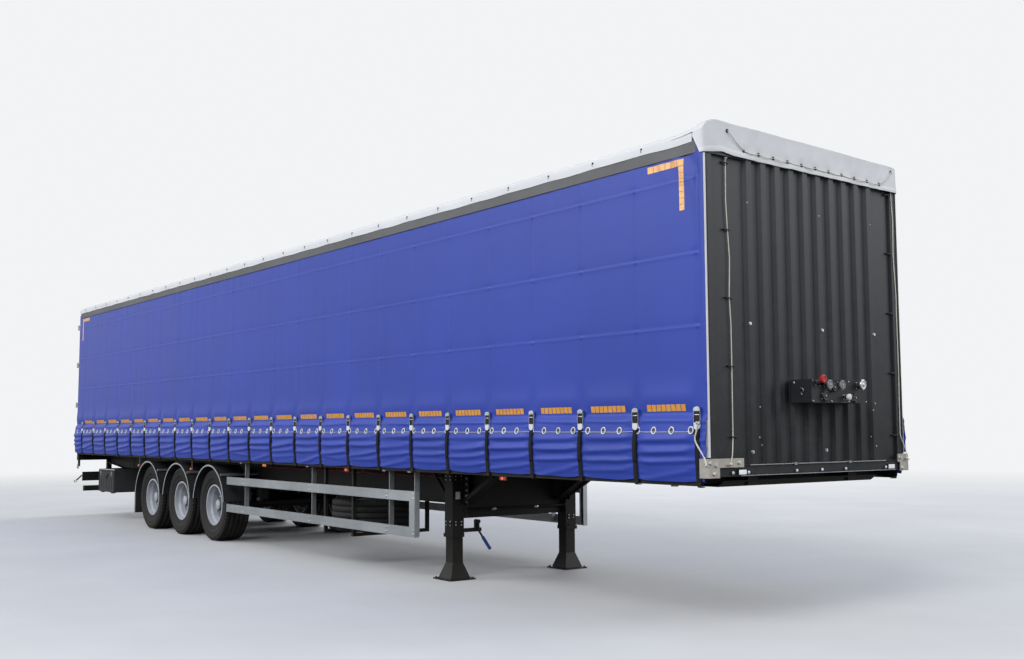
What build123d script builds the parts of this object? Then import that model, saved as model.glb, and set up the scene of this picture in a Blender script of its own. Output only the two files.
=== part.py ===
from build123d import *

import os
from math import cos, radians, sin, tan

# A three-axle curtain-sided semi-trailer, in millimetres.
# X runs forward, Y to the trailer's left and Z up. The origin is on the ground,
# under the middle of the trailer's overall box. A size whose name ends in BACK
# is measured rearwards from the front wall's face.

# Overall sizes
BODY_LENGTH = 16750.0
BODY_WIDTH = 2550.0
BODY_HEIGHT = 4000.0
HALF_WIDTH = BODY_WIDTH / 2

# Clearances
SOFT_GAP = 0.5
SEAT_GAP = 0.3
RUNNING_FIT = 0.05
MOVING_GAP = 6.0

# Socket console on the front wall, and what stands out of it
CONSOLE_DEPTH = 208.0
CONSOLE_WIDTH = 747.0
CONSOLE_OFFSET = 89.0
CONSOLE_BOTTOM = 1825.0
CONSOLE_TOP = 2015.0
CONSOLE_WALL = 5.0
NECK_REACH_SHARE = 0.6
NECK_RADIUS_SHARE = 0.7
# Couplings on the console: y, z, radius, reach out of the panel, rise of the head over its neck
COUPLING_TABLE = (
    (-200.0, 1984.0, 34.0, 70.0, 32.0),
    (-92.0, 1972.0, 36.0, 48.0, 0.0),
    (-8.0, 1950.0, 34.0, 30.0, 0.0),
    (83.0, 1972.0, 36.0, 42.0, 0.0),
    (337.0, 1972.0, 40.0, 58.0, 6.0),
    (-122.0, 1878.0, 40.0, 26.0, 0.0),
    (151.0, 1873.0, 26.0, 60.0, 0.0),
    (277.0, 1869.0, 36.0, 24.0, 0.0),
)

# Rear doors and their hinge line
DOOR_THICKNESS = 40.0
DOOR_BOTTOM = 1185.0
DOOR_TOP = 3850.0
DOOR_SPLIT_GAP = 20.0
HINGE_STANDOFF = 75.0
HINGE_INSET = 17.0
KNUCKLE_RADIUS = 11.0
HINGE_PIN_RADIUS = 6.0
DOOR_EDGE_GAP = 14.0
HINGE_HEIGHTS = (1380.0, 2120.0, 2900.0, 3640.0)

# The trailer's box is centred on the origin, so the front wall's place follows
REAR_REACH = HINGE_STANDOFF + KNUCKLE_RADIUS
FRONT_REACH = CONSOLE_DEPTH + max(reach for y, z, radius, reach, rise in COUPLING_TABLE)
FRONT_X = (BODY_LENGTH + REAR_REACH - FRONT_REACH) / 2
REAR_X = FRONT_X - BODY_LENGTH

# Heights
COUPLER_HEIGHT = 1150.0
COUPLER_THICKNESS = 10.0
FLOOR_TOP = 1300.0
FLOOR_THICKNESS = 28.0
FLOOR_UNDER = FLOOR_TOP - FLOOR_THICKNESS
MAIN_BEAM_BOTTOM = 800.0
REAR_BEAM_BOTTOM = 1000.0

# Side curtain, its rail lip and the structure behind it
RAIL_LIP = 4.0
CURTAIN_THICKNESS = 10.0
CURTAIN_OUT = HALF_WIDTH - RAIL_LIP - SOFT_GAP
CURTAIN_IN = CURTAIN_OUT - CURTAIN_THICKNESS
STRUCTURE_HALF = CURTAIN_IN - SOFT_GAP
CURTAIN_TOP = 3870.0
CURTAIN_HEM = 1200.0
SKIRT_TOP = 1740.0
SKIRT_BULGE = 18.0
SKIRT_BULGE_HEIGHT = 1420.0
HEM_BULGE = 3.5

# Straps that pull the curtain down
STRAP_FIRST = 108.0
STRAP_PITCH = 703.0
STRAP_END_SPACE = 40.0
STRAP_COUNT = int((BODY_LENGTH - STRAP_END_SPACE - STRAP_FIRST) // STRAP_PITCH) + 1
STRAP_WIDTH = 52.0
STRAP_THICKNESS = 3.5
BUCKLE_WIDTH = 62.0
BUCKLE_THICKNESS = 24.0
LEVER_THICKNESS = 6.0
BUCKLE_BOTTOM = 1606.0
BUCKLE_TOP = 1788.0
STRAP_HOOK_REACH = 48.0
STRAP_HOOK_DROP = 7.0

# Main beams
BEAM_SPACING = 1300.0
BEAM_FLANGE = 120.0
FLANGE_THICKNESS = 12.0
BEAM_WEB = 8.0
NECK_LENGTH = 3550.0
NECK_SLOPE = 620.0
REAR_TAPER = 2100.0

# Cross members
CROSS_FIRST = 216.0
CROSS_PITCH = 703.0
CROSS_END_SPACE = 700.0
CROSS_COUNT = int((BODY_LENGTH - CROSS_END_SPACE - CROSS_FIRST) // CROSS_PITCH) + 1
CROSS_HEIGHT = 92.0
CROSS_WIDTH = 60.0
CROSS_SKIN = 6.0
COPE_GAP = 2.0

# Outer side raves
RAVE_BOTTOM = 1165.0
RAVE_FLANGE = 60.0
RAVE_SKIN = 6.0

# Coupler plate and king pin
COUPLER_FRONT = 110.0
COUPLER_LENGTH = 2500.0
COUPLER_WIDTH = 2000.0
COUPLER_LIP = 60.0
COUPLER_LIP_RISE = 40.0
KING_PIN_BACK = 1650.0
KING_PIN_RADIUS = 25.4
KING_PIN_COLLAR = 36.5
KING_PIN_COLLAR_HEIGHT = 35.0
KING_PIN_WAIST_HEIGHT = 84.0
KING_PIN_FOOT = 35.7
KING_PIN_FOOT_HEIGHT = 13.0
KING_PIN_FLANGE = 75.0
KING_PIN_FLANGE_THICKNESS = 12.0

# Front wall
WALL_DEPTH = 45.0
RIB_DEPTH = 30.0
RIB_PITCH = 178.0
RIB_COUNT = 10
RIB_FIRST_Y = -800.0
RIB_CREST = 62.0
RIB_SLOPE = 24.0
FRONT_POST_WIDTH = 80.0
FRONT_POST_DEPTH = 80.0
FRONT_POST_SETBACK = 5.0
WALL_BOTTOM = 1330.0
WALL_TOP = 3800.0
FRONT_SILL_BOTTOM = 1240.0
FRONT_SILL_REACH = 12.0
HEADER_TOP = 3985.0
TRIM_WIDTH = 40.0
TRIM_BOTTOM = 1390.0

# Corner plates at the foot of the front wall
CORNER_PLATE_OUT = 1300.0
RIGHT_CORNER_PLATE_IN = 900.0
LEFT_CORNER_PLATE_IN = 1143.0
CORNER_PLATE_TOP = 1382.0
CORNER_PLATE_STEP = 1311.0
CORNER_PLATE_LOBE = 1232.0
CORNER_PLATE_LOBE_IN = 1178.0
CORNER_PLATE_THICKNESS = 8.0

# Roof
RAIL_INNER = 1195.0
RAIL_BOTTOM = 3812.0
RAIL_BODY_BOTTOM = 3830.0
RAIL_SLOT_TOP = 3880.0
RAIL_SHOULDER = 3912.0
RAIL_TOP = 3985.0
RAIL_UPPER_HALF = HALF_WIDTH - 9.0
ROOF_SHEET = 6.0
ROOF_EDGE_TOP = 3992.0
BOW_BOTTOM = 3930.0
BOW_HEIGHT = 45.0
BOW_WIDTH = 40.0
BOW_EVERY = 2
CAP_BOTTOM = 3795.0
CAP_RETURN = 105.0
CAP_SHEET = 6.0

# Side pillars between the curtain and the load
PILLAR_BACKS = (4300.0, 8450.0, 12600.0)
PILLAR_LENGTH = 120.0
PILLAR_DEPTH = 55.0
PILLAR_SKIN = 5.0

# Rear frame
REAR_POST_OUT = 1252.0
REAR_POST_WIDTH = 102.0
REAR_POST_DEPTH = 100.0
REAR_POST_BOTTOM = 1050.0
REAR_HEADER_BOTTOM = 3850.0
DOOR_SEAL_GAP = 6.0
REAR_FRAME_BACK = REAR_X + DOOR_THICKNESS + DOOR_SEAL_GAP
REAR_FRAME_FRONT = REAR_FRAME_BACK + REAR_POST_DEPTH

# Door gear
HINGE_X = REAR_X - HINGE_STANDOFF
HINGE_Y = HALF_WIDTH - HINGE_INSET
HINGE_STRAP_LENGTH = 260.0
HINGE_STRAP_THICKNESS = 8.0
HINGE_STRAP_HEIGHT = 60.0
EAR_HEIGHT = 20.0
EAR_GAP = 0.5
LUG_THICKNESS = 8.0
ROD_RADIUS = 13.5
ROD_SETS = (330.0, 960.0)
ROD_CHANNEL_WIDTH = 60.0
ROD_CHANNEL_DEPTH = 30.0
ROD_INSET = 14.0
ROD_OVERRUN = 38.0
CAM_HEIGHT = 26.0
CAM_WIDTH = 44.0
CAM_DEPTH = 30.0
KEEPER_CLEARANCE = 16.0
KEEPER_WALL = 10.0
HANDLE_LENGTH = 400.0
HANDLE_HEIGHT = 34.0
HANDLE_THICKNESS = 9.0
HANDLE_STANDOFF = 5.0
HANDLE_HEIGHTS = (1590.0, 1690.0)
GUIDE_HEIGHTS = (1450.0, 2500.0, 3500.0)
GUIDE_HEIGHT = 50.0
GUIDE_THICKNESS = 7.0

# Axles and wheels
AXLE_BACKS = (9990.0, 11300.0, 12610.0)
TRACK = 2040.0
TYRE_RADIUS = 520.0
TYRE_WIDTH = 385.0
TYRE_LIP_RISE = 4.0
TYRE_WIDEST_SHARE = 0.64
TYRE_SHOULDER_DROP = 22.0
TYRE_WALL_DRAFT = 12.0
TYRE_CROWN_DROP = 4.0
TYRE_CROWN_IN = 34.0
TYRE_CORNER = (9.0, 18.0)
HUB_HEIGHT = TYRE_RADIUS
RIM_SEAT_RADIUS = 285.75
RIM_FLANGE_RADIUS = 298.5
RIM_WIDTH = 298.0
RIM_FLANGE = 12.0
RIM_WELL_RADIUS = 262.0
RIM_SKIN = 9.0
RIM_SEAT_SLOPE = 6.0
RIM_SEAT_LENGTH = 40.0
RIM_WELL_IN = 70.0
DISC_THICKNESS = 14.0
DISC_EDGE_SPAN = (-6.0, 16.0)
DISC_CROWN_OUTER = ((238.0, 26.0), (190.0, 34.0))
DISC_CROWN_INNER = ((194.0, 18.0), (232.0, 10.0))
DISC_BORE_IN = 10.0
HUB_FLANGE_RADIUS = 168.0
HUB_RADIUS = 88.0
HUB_REACH = 105.0
HAND_HOLES = 10
HAND_HOLE_RADIUS = 29.0
HAND_HOLE_CIRCLE = 212.0
DRUM_RADIUS = 205.0
DRUM_INNER_RADIUS = 95.0
DRUM_END = 188.0
DRUM_WALL = 16.0
DRUM_FACE = (20.0, 30.0)
DRUM_FLOOR = 44.0
HUB_BARREL_IN = 40.0
HUB_CHAMFER = 14.0
SPINDLE_RADIUS = 45.0
SPINDLE_REACH = 60.0
AXLE_TUBE_RADIUS = 63.5
BACKING_RADIUS = 190.0
BACKING_THICKNESS = 10.0

# Trailing arms, hangers and air springs
ARM_FORWARD = 500.0
ARM_REARWARD = 330.0
ARM_WIDTH = 80.0
ARM_HEIGHT = 70.0
ARM_Y = BEAM_SPACING / 2
ARM_EYE_OUTLINE = ((-45.0, 20.0), (-20.0, 0.0), (25.0, 4.0), (38.0, 38.0))
ARM_EYE_TOP = 15.0
ARM_SEAT_HALF = 70.0
ARM_SEAT_RAMP = (-110.0, 8.0)
ARM_BACK_TOP = (60.0, -90.0)
ARM_TAIL_DROP = 15.0
ARM_TAIL_THICKNESS = 30.0
ARM_TAIL_SHARE = 0.6
HANGER_LENGTH = 180.0
HANGER_WIDTH = 120.0
HANGER_SKIN = 10.0
HANGER_LOW_CUT = 20.0
HANGER_NOSE = 60.0
HANGER_FOOT_SHARES = (-0.5, 0.6)
AIR_SPRING_RADIUS = 140.0
AIR_SPRING_Y = 620.0
AIR_SPRING_PLATE = 12.0
AIR_SPRING_NECK_SHARE = 0.72
AIR_SPRING_SHOULDER_SHARE = 0.94
AIR_SPRING_SHOULDER_IN = 12.0
CHAMBER_RADIUS = 85.0
CHAMBER_LENGTH = 170.0
CHAMBER_Y = 430.0
CHAMBER_RISE = 40.0
CHAMBER_STANDOFF = 60.0
CHAMBER_FOOT_WIDTH = 80.0
CHAMBER_FOOT_SPAN = (-25.0, 60.0)

# Mudguards and flaps
GUARD_INNER_RADIUS = 578.0
GUARD_SKIN = 5.0
GUARD_BEAD = 22.0
GUARD_OUT = 1262.0
GUARD_IN = 826.0
GUARD_OFFSET = -50.0
GUARD_FOOT_ANGLE = 7.0
STAY_RADIUS = 20.0
STAY_ANGLES = (48.0, 132.0)
FLAP_BOTTOM = 230.0
FLAP_TOP = 620.0
FLAP_THICKNESS = 8.0

# Side guards
SIDE_GUARD_FRONT = 4358.0
SIDE_GUARD_BACK = 9438.0
SIDE_GUARD_OUT = 1225.0
SIDE_RAIL_THICKNESS = 25.0
SIDE_RAIL_HEIGHT = 108.0
SIDE_RAIL_BOTTOMS = (456.0, 842.0)
SIDE_END_WIDTH = 110.0
SIDE_END_RETURN = 60.0
SIDE_END_SKIN = 8.0
GUARD_POST_BACKS = (4390.0, 4925.0, 6813.0, 8846.0)
GUARD_POST_WIDTH = 60.0
GUARD_POST_THICKNESS = 12.0
GUARD_POST_BOTTOM = 470.0

# Landing legs
LEG_BACK = 4228.0
LEG_Y = 795.0
LEG_OUTER = 150.0
LEG_WALL = 8.0
LEG_INNER = 133.4
LEG_OVERLAP = 250.0
LEG_OUTER_BOTTOM = 452.0
LEG_OUTER_TOP = 1165.0
LEG_PLATE = 10.0
LEG_PLATE_LENGTH = 320.0
LEG_COLLAR = 10.0
LEG_COLLAR_HEIGHT = 40.0
FOOT_CONE_TOP = 180.0
FOOT_CONE_LENGTH = 250.0
FOOT_PLATE = 14.0
FOOT_LENGTH = 340.0
FOOT_WIDTH = 330.0
CROSS_PLATE_BOTTOM = 646.0
CROSS_PLATE_TOP = 1100.0
CROSS_PLATE_THICKNESS = 8.0
BRACE_WIDTH = 45.0
BRACE_THICKNESS = 30.0
BRACE_ENDS = (
    ((40.0, 810.0), (640.0, 1120.0)),
    ((-40.0, 650.0), (-530.0, 1130.0)),
)

# Crank, stowed between the legs
CRANK_BAR_Z = 520.0
CRANK_BAR_END_Y = -485.0
CRANK_BAR = 40.0
CRANK_AHEAD = 90.0
CRANK_BAR_SETBACK = 15.0
CRANK_SHAFT_END = 14.0
CRANK_RADIUS = 11.0
CRANK_GRIP_RADIUS = 17.0
CRANK_TOP = (-540.0, 610.0)
CRANK_BEND = (-530.0, 505.0)
CRANK_END = (-382.0, 305.0)

# Spare wheel and its carrier, under the right side
SPARE_BAY = 8.5
SPARE_Y = -660.0
SPARE_BOTTOM = 400.0
CARRIER_BAR = 40.0
CARRIER_OUT = -1165.0
CARRIER_IN = -95.0

# Tool box, under the right side behind the wheels
BOX_LEAD = 192.0
BOX_FRONT = (AXLE_BACKS[-1] + BODY_LENGTH) / 2 - BOX_LEAD
BOX_LENGTH = 900.0
BOX_OUT = -1222.0
BOX_DEPTH = 504.0
BOX_BOTTOM = 510.0
BOX_HEIGHT = 408.0
BOX_WALL = 8.0
LID_THICKNESS = 22.0
LID_HINGE_RADIUS = 7.0
LID_HINGE_DROP = 13.0
LID_PIN_RADIUS = 4.0
LID_KNUCKLE = 160.0
LID_HINGE_SHARES = (0.18, 0.82)
BOX_STRAP_SHARES = (0.2, 0.8)
BOX_STRAP_SETBACK = 60.0
LID_GRIP_LENGTH = 150.0
LID_GRIP_HEIGHT = 55.0
LID_GRIP_DEPTH = 16.0
BOX_STRAP_WIDTH = 50.0
BOX_STRAP_THICKNESS = 8.0
BOX_STRAP_TOP = 1120.0

# Air tanks between the beams
TANK_RADIUS = 125.0
TANK_LENGTH = 850.0
TANK_BACK = 7170.0
TANK_MEMBERS = (10, 11)
TANK_Y = 330.0
TANK_Z = 960.0
TANK_STRAP_WIDTH = 40.0
TANK_STRAP_THICKNESS = 5.0

# Rear underrun bar, lamp board and marker arms
UNDERRUN_BOTTOM = 455.0
UNDERRUN_HEIGHT = 100.0
UNDERRUN_DEPTH = 80.0
UNDERRUN_HALF = 1125.0
UNDERRUN_SETBACK = 60.0
UNDERRUN_POST = 90.0
UNDERRUN_POST_DEPTH = 65.0
LAMP_BOARD_BOTTOM = 650.0
LAMP_BOARD_TOP = 822.0
LAMP_BOARD_HALF = 1162.0
LAMP_BOARD_THICKNESS = 30.0
REAR_LAMP_LENGTH = 400.0
REAR_LAMP_HEIGHT = 130.0
REAR_LAMP_DEPTH = 45.0
REAR_LAMP_OUT = 1120.0
MARKER_ARM_RADIUS = 13.0
MARKER_ARM_TIP = (1290.0, 645.0)
MARKER_LAMP_RADIUS = 24.0
MARKER_LAMP_DEPTH = 44.0
MARKER_ARM_RISE = 20.0

# Side marker lamps: distance behind the front wall and height of the centre
SIDE_LAMPS = (
    (2717.0, 1144.0),
    (5835.0, 1144.0),
    (8117.0, 1144.0),
    (10744.0, 1029.0),
    (13110.0, 1029.0),
)
SIDE_LAMP_BRACKET = 6.0
SIDE_LAMP_LENGTH = 110.0
SIDE_LAMP_HEIGHT = 42.0
SIDE_LAMP_DEPTH = 26.0
FRONT_LAMP_YS = (-913.0, 1051.0)
FRONT_LAMP_Z = 1271.0
FRONT_LAMP_WIDTH = 92.0
FRONT_LAMP_HEIGHT = 44.0
FRONT_LAMP_DEPTH = 24.0

# Curtain tensioners at the rear corners
TENSIONER_BACK = BODY_LENGTH - 110.0
TENSIONER_BOTTOM = 880.0
TENSIONER_TOP = 1160.0
TENSIONER_WIDTH = 60.0
TENSIONER_DEPTH = 30.0
RATCHET_RADIUS = 48.0
RATCHET_THICKNESS = 14.0
RATCHET_Z = 930.0

# Tie rope's points: distance behind the front wall, distance out of the curtain's face, height
TIE_POINTS = (
    (92.0, 35.0, 1660.0),
    (96.0, 37.0, 1600.0),
    (134.0, 33.0, 1530.0),
    (60.0, 34.0, 1435.0),
    (20.0, 36.8, 1392.0),
    (-2.0, 36.8, 1330.0),
)
TIE_RADIUS = 7.0
TIE_BEND_RADIUS = 60.0

# Hooks of the cords down the front wall: height, right cord's place, left cord's place
CORD_HOOK_TABLE = (
    (1550.0, -973.0, 1158.0),
    (2110.0, -989.0, 1158.0),
    (2655.0, -1000.0, 1158.0),
    (3205.0, -1011.0, 1158.0),
    (3750.0, -1014.0, 1152.0),
)
# Each cord's points up the wall: height, sideways place
RIGHT_CORD_POINTS = (
    (1550.0, -982.0),
    (1814.0, -981.0),
    (2114.0, -978.0),
    (2453.0, -979.0),
    (2666.0, -992.0),
    (2975.0, -979.0),
    (3237.0, -999.0),
    (3445.0, -1011.0),
    (3790.0, -1004.0),
)
LEFT_CORD_POINTS = (
    (1550.0, 1222.0),
    (1867.0, 1226.0),
    (2112.0, 1231.0),
    (2653.0, 1228.0),
    (2828.0, 1230.0),
    (3187.0, 1206.0),
    (3504.0, 1218.0),
    (3790.0, 1195.0),
)
# Each cord's end and bend over its corner plate: height, sideways place
RIGHT_CORD_FOOT = ((1337.0, -1063.0), (1406.0, -1037.0))
LEFT_CORD_FOOT = ((1345.0, 1264.0), (1406.0, 1271.0))
CORD_RADIUS = 4.0
CORD_BEND_RADIUS = 120.0
HOOK_WIDTH = 44.0
HOOK_HEIGHT = 16.0
HOOK_DEPTH = 10.0


def back(distance):
    """X of a place that is this far behind the front wall."""
    return FRONT_X - distance


def block(xs, ys, zs):
    """A block between two X, two Y and two Z values."""
    spans = (xs, ys, zs)
    sizes = [abs(b - a) for a, b in spans]
    middle = [(a + b) / 2 for a, b in spans]
    return Pos(*middle) * Box(*sizes)


def drawn_y(points, y0, y1):
    """An outline of (x, z) points, drawn out from y0 to y1."""
    face = make_face(Polyline(*[(x, 0, z) for x, z in points], close=True))
    return Pos(0, y0, 0) * extrude(face, amount=y1 - y0, dir=(0, 1, 0))


def drawn_x(points, x0, x1):
    """An outline of (y, z) points, drawn out from x0 to x1."""
    face = make_face(Polyline(*[(0, y, z) for y, z in points], close=True))
    return Pos(x0, 0, 0) * extrude(face, amount=x1 - x0, dir=(1, 0, 0))


def drawn_z(points, z0, z1):
    """An outline of (x, y) points, drawn out from z0 to z1."""
    face = make_face(Polyline(*points, close=True))
    return Pos(0, 0, z0) * extrude(face, amount=z1 - z0, dir=(0, 0, 1))


def turned(points):
    """A ring or disc turned round the Y axis from (radius, y) points."""
    return revolve(make_face(Polyline(*points, close=True)), axis=Axis.Y)


def rod(start, end, radius):
    """A round bar from one point to another."""
    line = Vector(*end) - Vector(*start)
    place = Plane(origin=start, z_dir=line)
    return place * Cylinder(radius, line.length, align=(Align.CENTER, Align.CENTER, Align.MIN))


def flat_bar(start, end, width, thickness):
    """A bar in the X-Z plane from one (x, y, z) point to another, thick along Y."""
    line = Vector(*end) - Vector(*start)
    place = Plane(origin=start, x_dir=(0, 1, 0), z_dir=line)
    return place * Box(thickness, width, line.length, align=(Align.CENTER, Align.CENTER, Align.MIN))


def mirrored(part):
    """The same piece on the other side of the trailer."""
    return mirror(part, about=Plane.XZ)


def both(part):
    """The piece and its mirror image."""
    return [part, mirrored(part)]


def main_beam():
    """One I-section beam with its low neck, sloped throat and tapered tail."""
    rear = REAR_FRAME_FRONT
    outline = [
        (back(COUPLER_FRONT), FLOOR_UNDER),
        (back(COUPLER_FRONT), COUPLER_HEIGHT + COUPLER_THICKNESS),
        (back(NECK_LENGTH), COUPLER_HEIGHT + COUPLER_THICKNESS),
        (back(NECK_LENGTH + NECK_SLOPE), MAIN_BEAM_BOTTOM),
        (rear + REAR_TAPER, MAIN_BEAM_BOTTOM),
        (rear, REAR_BEAM_BOTTOM),
        (rear, FLOOR_UNDER),
    ]
    face = make_face(Polyline(*[(x, 0, z) for x, z in outline], close=True))
    pocket = offset(face, amount=-FLANGE_THICKNESS)
    beam = Pos(0, -BEAM_FLANGE / 2, 0) * extrude(face, amount=BEAM_FLANGE, dir=(0, 1, 0))
    depth = (BEAM_FLANGE - BEAM_WEB) / 2
    hollow = extrude(pocket, amount=depth, dir=(0, 1, 0))
    beam -= Pos(0, BEAM_WEB / 2, 0) * hollow
    beam -= Pos(0, -BEAM_FLANGE / 2, 0) * hollow
    return Pos(0, BEAM_SPACING / 2, 0) * beam


def member_section():
    """The (x, z) outline of a channel-section cross member."""
    top = FLOOR_UNDER
    bottom = top - CROSS_HEIGHT
    half = CROSS_WIDTH / 2
    return [
        (-half, bottom),
        (half, bottom),
        (half, bottom + CROSS_SKIN),
        (-half + CROSS_SKIN, bottom + CROSS_SKIN),
        (-half + CROSS_SKIN, top - CROSS_SKIN),
        (half, top - CROSS_SKIN),
        (half, top),
        (-half, top),
    ]


def cross_members():
    """Channels between the beams, and shorter ones out to each rave."""
    web_in = BEAM_SPACING / 2 - BEAM_WEB / 2
    web_out = BEAM_SPACING / 2 + BEAM_WEB / 2
    flange_in = BEAM_SPACING / 2 - BEAM_FLANGE / 2 - COPE_GAP
    flange_out = BEAM_SPACING / 2 + BEAM_FLANGE / 2 + COPE_GAP
    outer_end = STRUCTURE_HALF - RAVE_SKIN
    cope_z = (FLOOR_UNDER - FLANGE_THICKNESS - SEAT_GAP, FLOOR_UNDER)
    cope_x = (-CROSS_WIDTH, CROSS_WIDTH)
    inner = drawn_y(member_section(), -web_in, web_in)
    inner -= block(cope_x, (flange_in, web_in), cope_z)
    inner -= block(cope_x, (-web_in, -flange_in), cope_z)
    outer = drawn_y(member_section(), web_out, outer_end)
    outer -= block(cope_x, (web_out, flange_out), cope_z)
    rave_in = STRUCTURE_HALF - RAVE_FLANGE
    cope_top = RAVE_BOTTOM + RAVE_SKIN + COPE_GAP
    outer -= block(cope_x, (rave_in - COPE_GAP, outer_end), (RAVE_BOTTOM, cope_top))
    members = []
    for number in range(CROSS_COUNT):
        place = Pos(back(CROSS_FIRST + number * CROSS_PITCH), 0, 0)
        members += [place * inner, place * outer, place * mirrored(outer)]
    return members


def side_rave():
    """The channel along the outer edge of the floor."""
    out = STRUCTURE_HALF
    inner = out - RAVE_FLANGE
    outline = [
        (inner, RAVE_BOTTOM),
        (out, RAVE_BOTTOM),
        (out, FLOOR_TOP),
        (inner, FLOOR_TOP),
        (inner, FLOOR_TOP - RAVE_SKIN),
        (out - RAVE_SKIN, FLOOR_TOP - RAVE_SKIN),
        (out - RAVE_SKIN, RAVE_BOTTOM + RAVE_SKIN),
        (inner, RAVE_BOTTOM + RAVE_SKIN),
    ]
    return drawn_x(outline, REAR_FRAME_FRONT, back(FRONT_POST_DEPTH))


def floor_boards():
    """The load floor between the raves."""
    half = STRUCTURE_HALF - RAVE_FLANGE
    return block((REAR_FRAME_FRONT, back(FRONT_POST_DEPTH)), (-half, half), (FLOOR_UNDER, FLOOR_TOP))


def coupler_plate():
    """The plate that rests on the tractor, with its turned-up front lip."""
    front = back(COUPLER_FRONT)
    low = COUPLER_HEIGHT
    outline = [
        (front - COUPLER_LENGTH, low),
        (front - COUPLER_LIP, low),
        (front, low + COUPLER_LIP_RISE),
        (front, low + COUPLER_LIP_RISE + COUPLER_THICKNESS),
        (front - COUPLER_LIP, low + COUPLER_THICKNESS),
        (front - COUPLER_LENGTH, low + COUPLER_THICKNESS),
    ]
    plate = drawn_y(outline, -COUPLER_WIDTH / 2, COUPLER_WIDTH / 2)
    for beam in (-1, 1):
        middle = beam * BEAM_SPACING / 2
        ys = (middle - BEAM_FLANGE / 2 - COPE_GAP, middle + BEAM_FLANGE / 2 + COPE_GAP)
        plate -= block((front - COUPLER_LIP, front + 1), ys, (low + COUPLER_THICKNESS, FLOOR_UNDER))
    hole = rod((0, 0, low - 1), (0, 0, low + COUPLER_THICKNESS + 1), KING_PIN_COLLAR + SEAT_GAP)
    plate -= Pos(back(KING_PIN_BACK), 0, 0) * hole
    return plate


def king_pin():
    """The pin that the tractor's jaws close on, its flange seated on the plate."""
    top = COUPLER_HEIGHT
    seat = COUPLER_HEIGHT + COUPLER_THICKNESS
    collar = top - KING_PIN_COLLAR_HEIGHT
    foot = top - KING_PIN_WAIST_HEIGHT + KING_PIN_FOOT_HEIGHT
    outline = [
        (0, seat + KING_PIN_FLANGE_THICKNESS),
        (KING_PIN_FLANGE, seat + KING_PIN_FLANGE_THICKNESS),
        (KING_PIN_FLANGE, seat),
        (KING_PIN_COLLAR, seat),
        (KING_PIN_COLLAR, collar),
        (KING_PIN_RADIUS, collar),
        (KING_PIN_RADIUS, foot),
        (KING_PIN_FOOT, foot),
        (KING_PIN_FOOT, top - KING_PIN_WAIST_HEIGHT),
        (0, top - KING_PIN_WAIST_HEIGHT),
    ]
    face = make_face(Polyline(*[(r, 0, z) for r, z in outline], close=True))
    return Pos(back(KING_PIN_BACK), 0, 0) * revolve(face, axis=Axis.Z)


def front_wall():
    """The ribbed steel wall with the small hooks that hold the two front cords."""
    half = STRUCTURE_HALF - FRONT_POST_WIDTH
    valley = FRONT_X - RIB_DEPTH
    outline = [(FRONT_X - WALL_DEPTH, -half), (valley, -half)]
    for number in range(RIB_COUNT):
        start = RIB_FIRST_Y + number * RIB_PITCH
        crest = start + RIB_SLOPE
        outline += [
            (valley, start),
            (FRONT_X, crest),
            (FRONT_X, crest + RIB_CREST),
            (valley, crest + RIB_CREST + RIB_SLOPE),
        ]
    outline += [(valley, half), (FRONT_X - WALL_DEPTH, half)]
    wall = drawn_z(outline, WALL_BOTTOM, WALL_TOP)
    for z, right_y, left_y in CORD_HOOK_TABLE:
        zs = (z - HOOK_HEIGHT / 2, z + HOOK_HEIGHT / 2)
        for y in (right_y, left_y):
            ys = (y - HOOK_WIDTH / 2, y + HOOK_WIDTH / 2)
            wall += block((valley, valley + HOOK_DEPTH), ys, zs)
    return wall


def front_frame():
    """Corner posts, header and sill channel round the front wall, in one welded frame."""
    outer = STRUCTURE_HALF
    inner = outer - FRONT_POST_WIDTH
    xs = (back(FRONT_POST_DEPTH), FRONT_X - FRONT_POST_SETBACK)
    frame = block((xs[0], FRONT_X), (-outer, outer), (WALL_TOP, HEADER_TOP))
    frame += block((xs[0], FRONT_X), (-outer, outer), (FRONT_SILL_BOTTOM, WALL_BOTTOM))
    frame += block(xs, (inner, outer), (WALL_BOTTOM, WALL_TOP))
    frame += block(xs, (-outer, -inner), (WALL_BOTTOM, WALL_TOP))
    ledge_xs = (FRONT_X, FRONT_X + FRONT_SILL_REACH)
    ledge = block(ledge_xs, (-outer, outer), (WALL_BOTTOM - RAVE_SKIN, WALL_BOTTOM))
    ledge += block(ledge_xs, (-outer, outer), (FRONT_SILL_BOTTOM, FRONT_SILL_BOTTOM + RAVE_SKIN))
    return frame + ledge


def corner_trim():
    """The pale strip between the curtain and the front wall."""
    ys = (STRUCTURE_HALF + SEAT_GAP, HALF_WIDTH)
    return block((back(TRIM_WIDTH), FRONT_X), ys, (TRIM_BOTTOM, RAIL_BOTTOM - SEAT_GAP))


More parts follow.
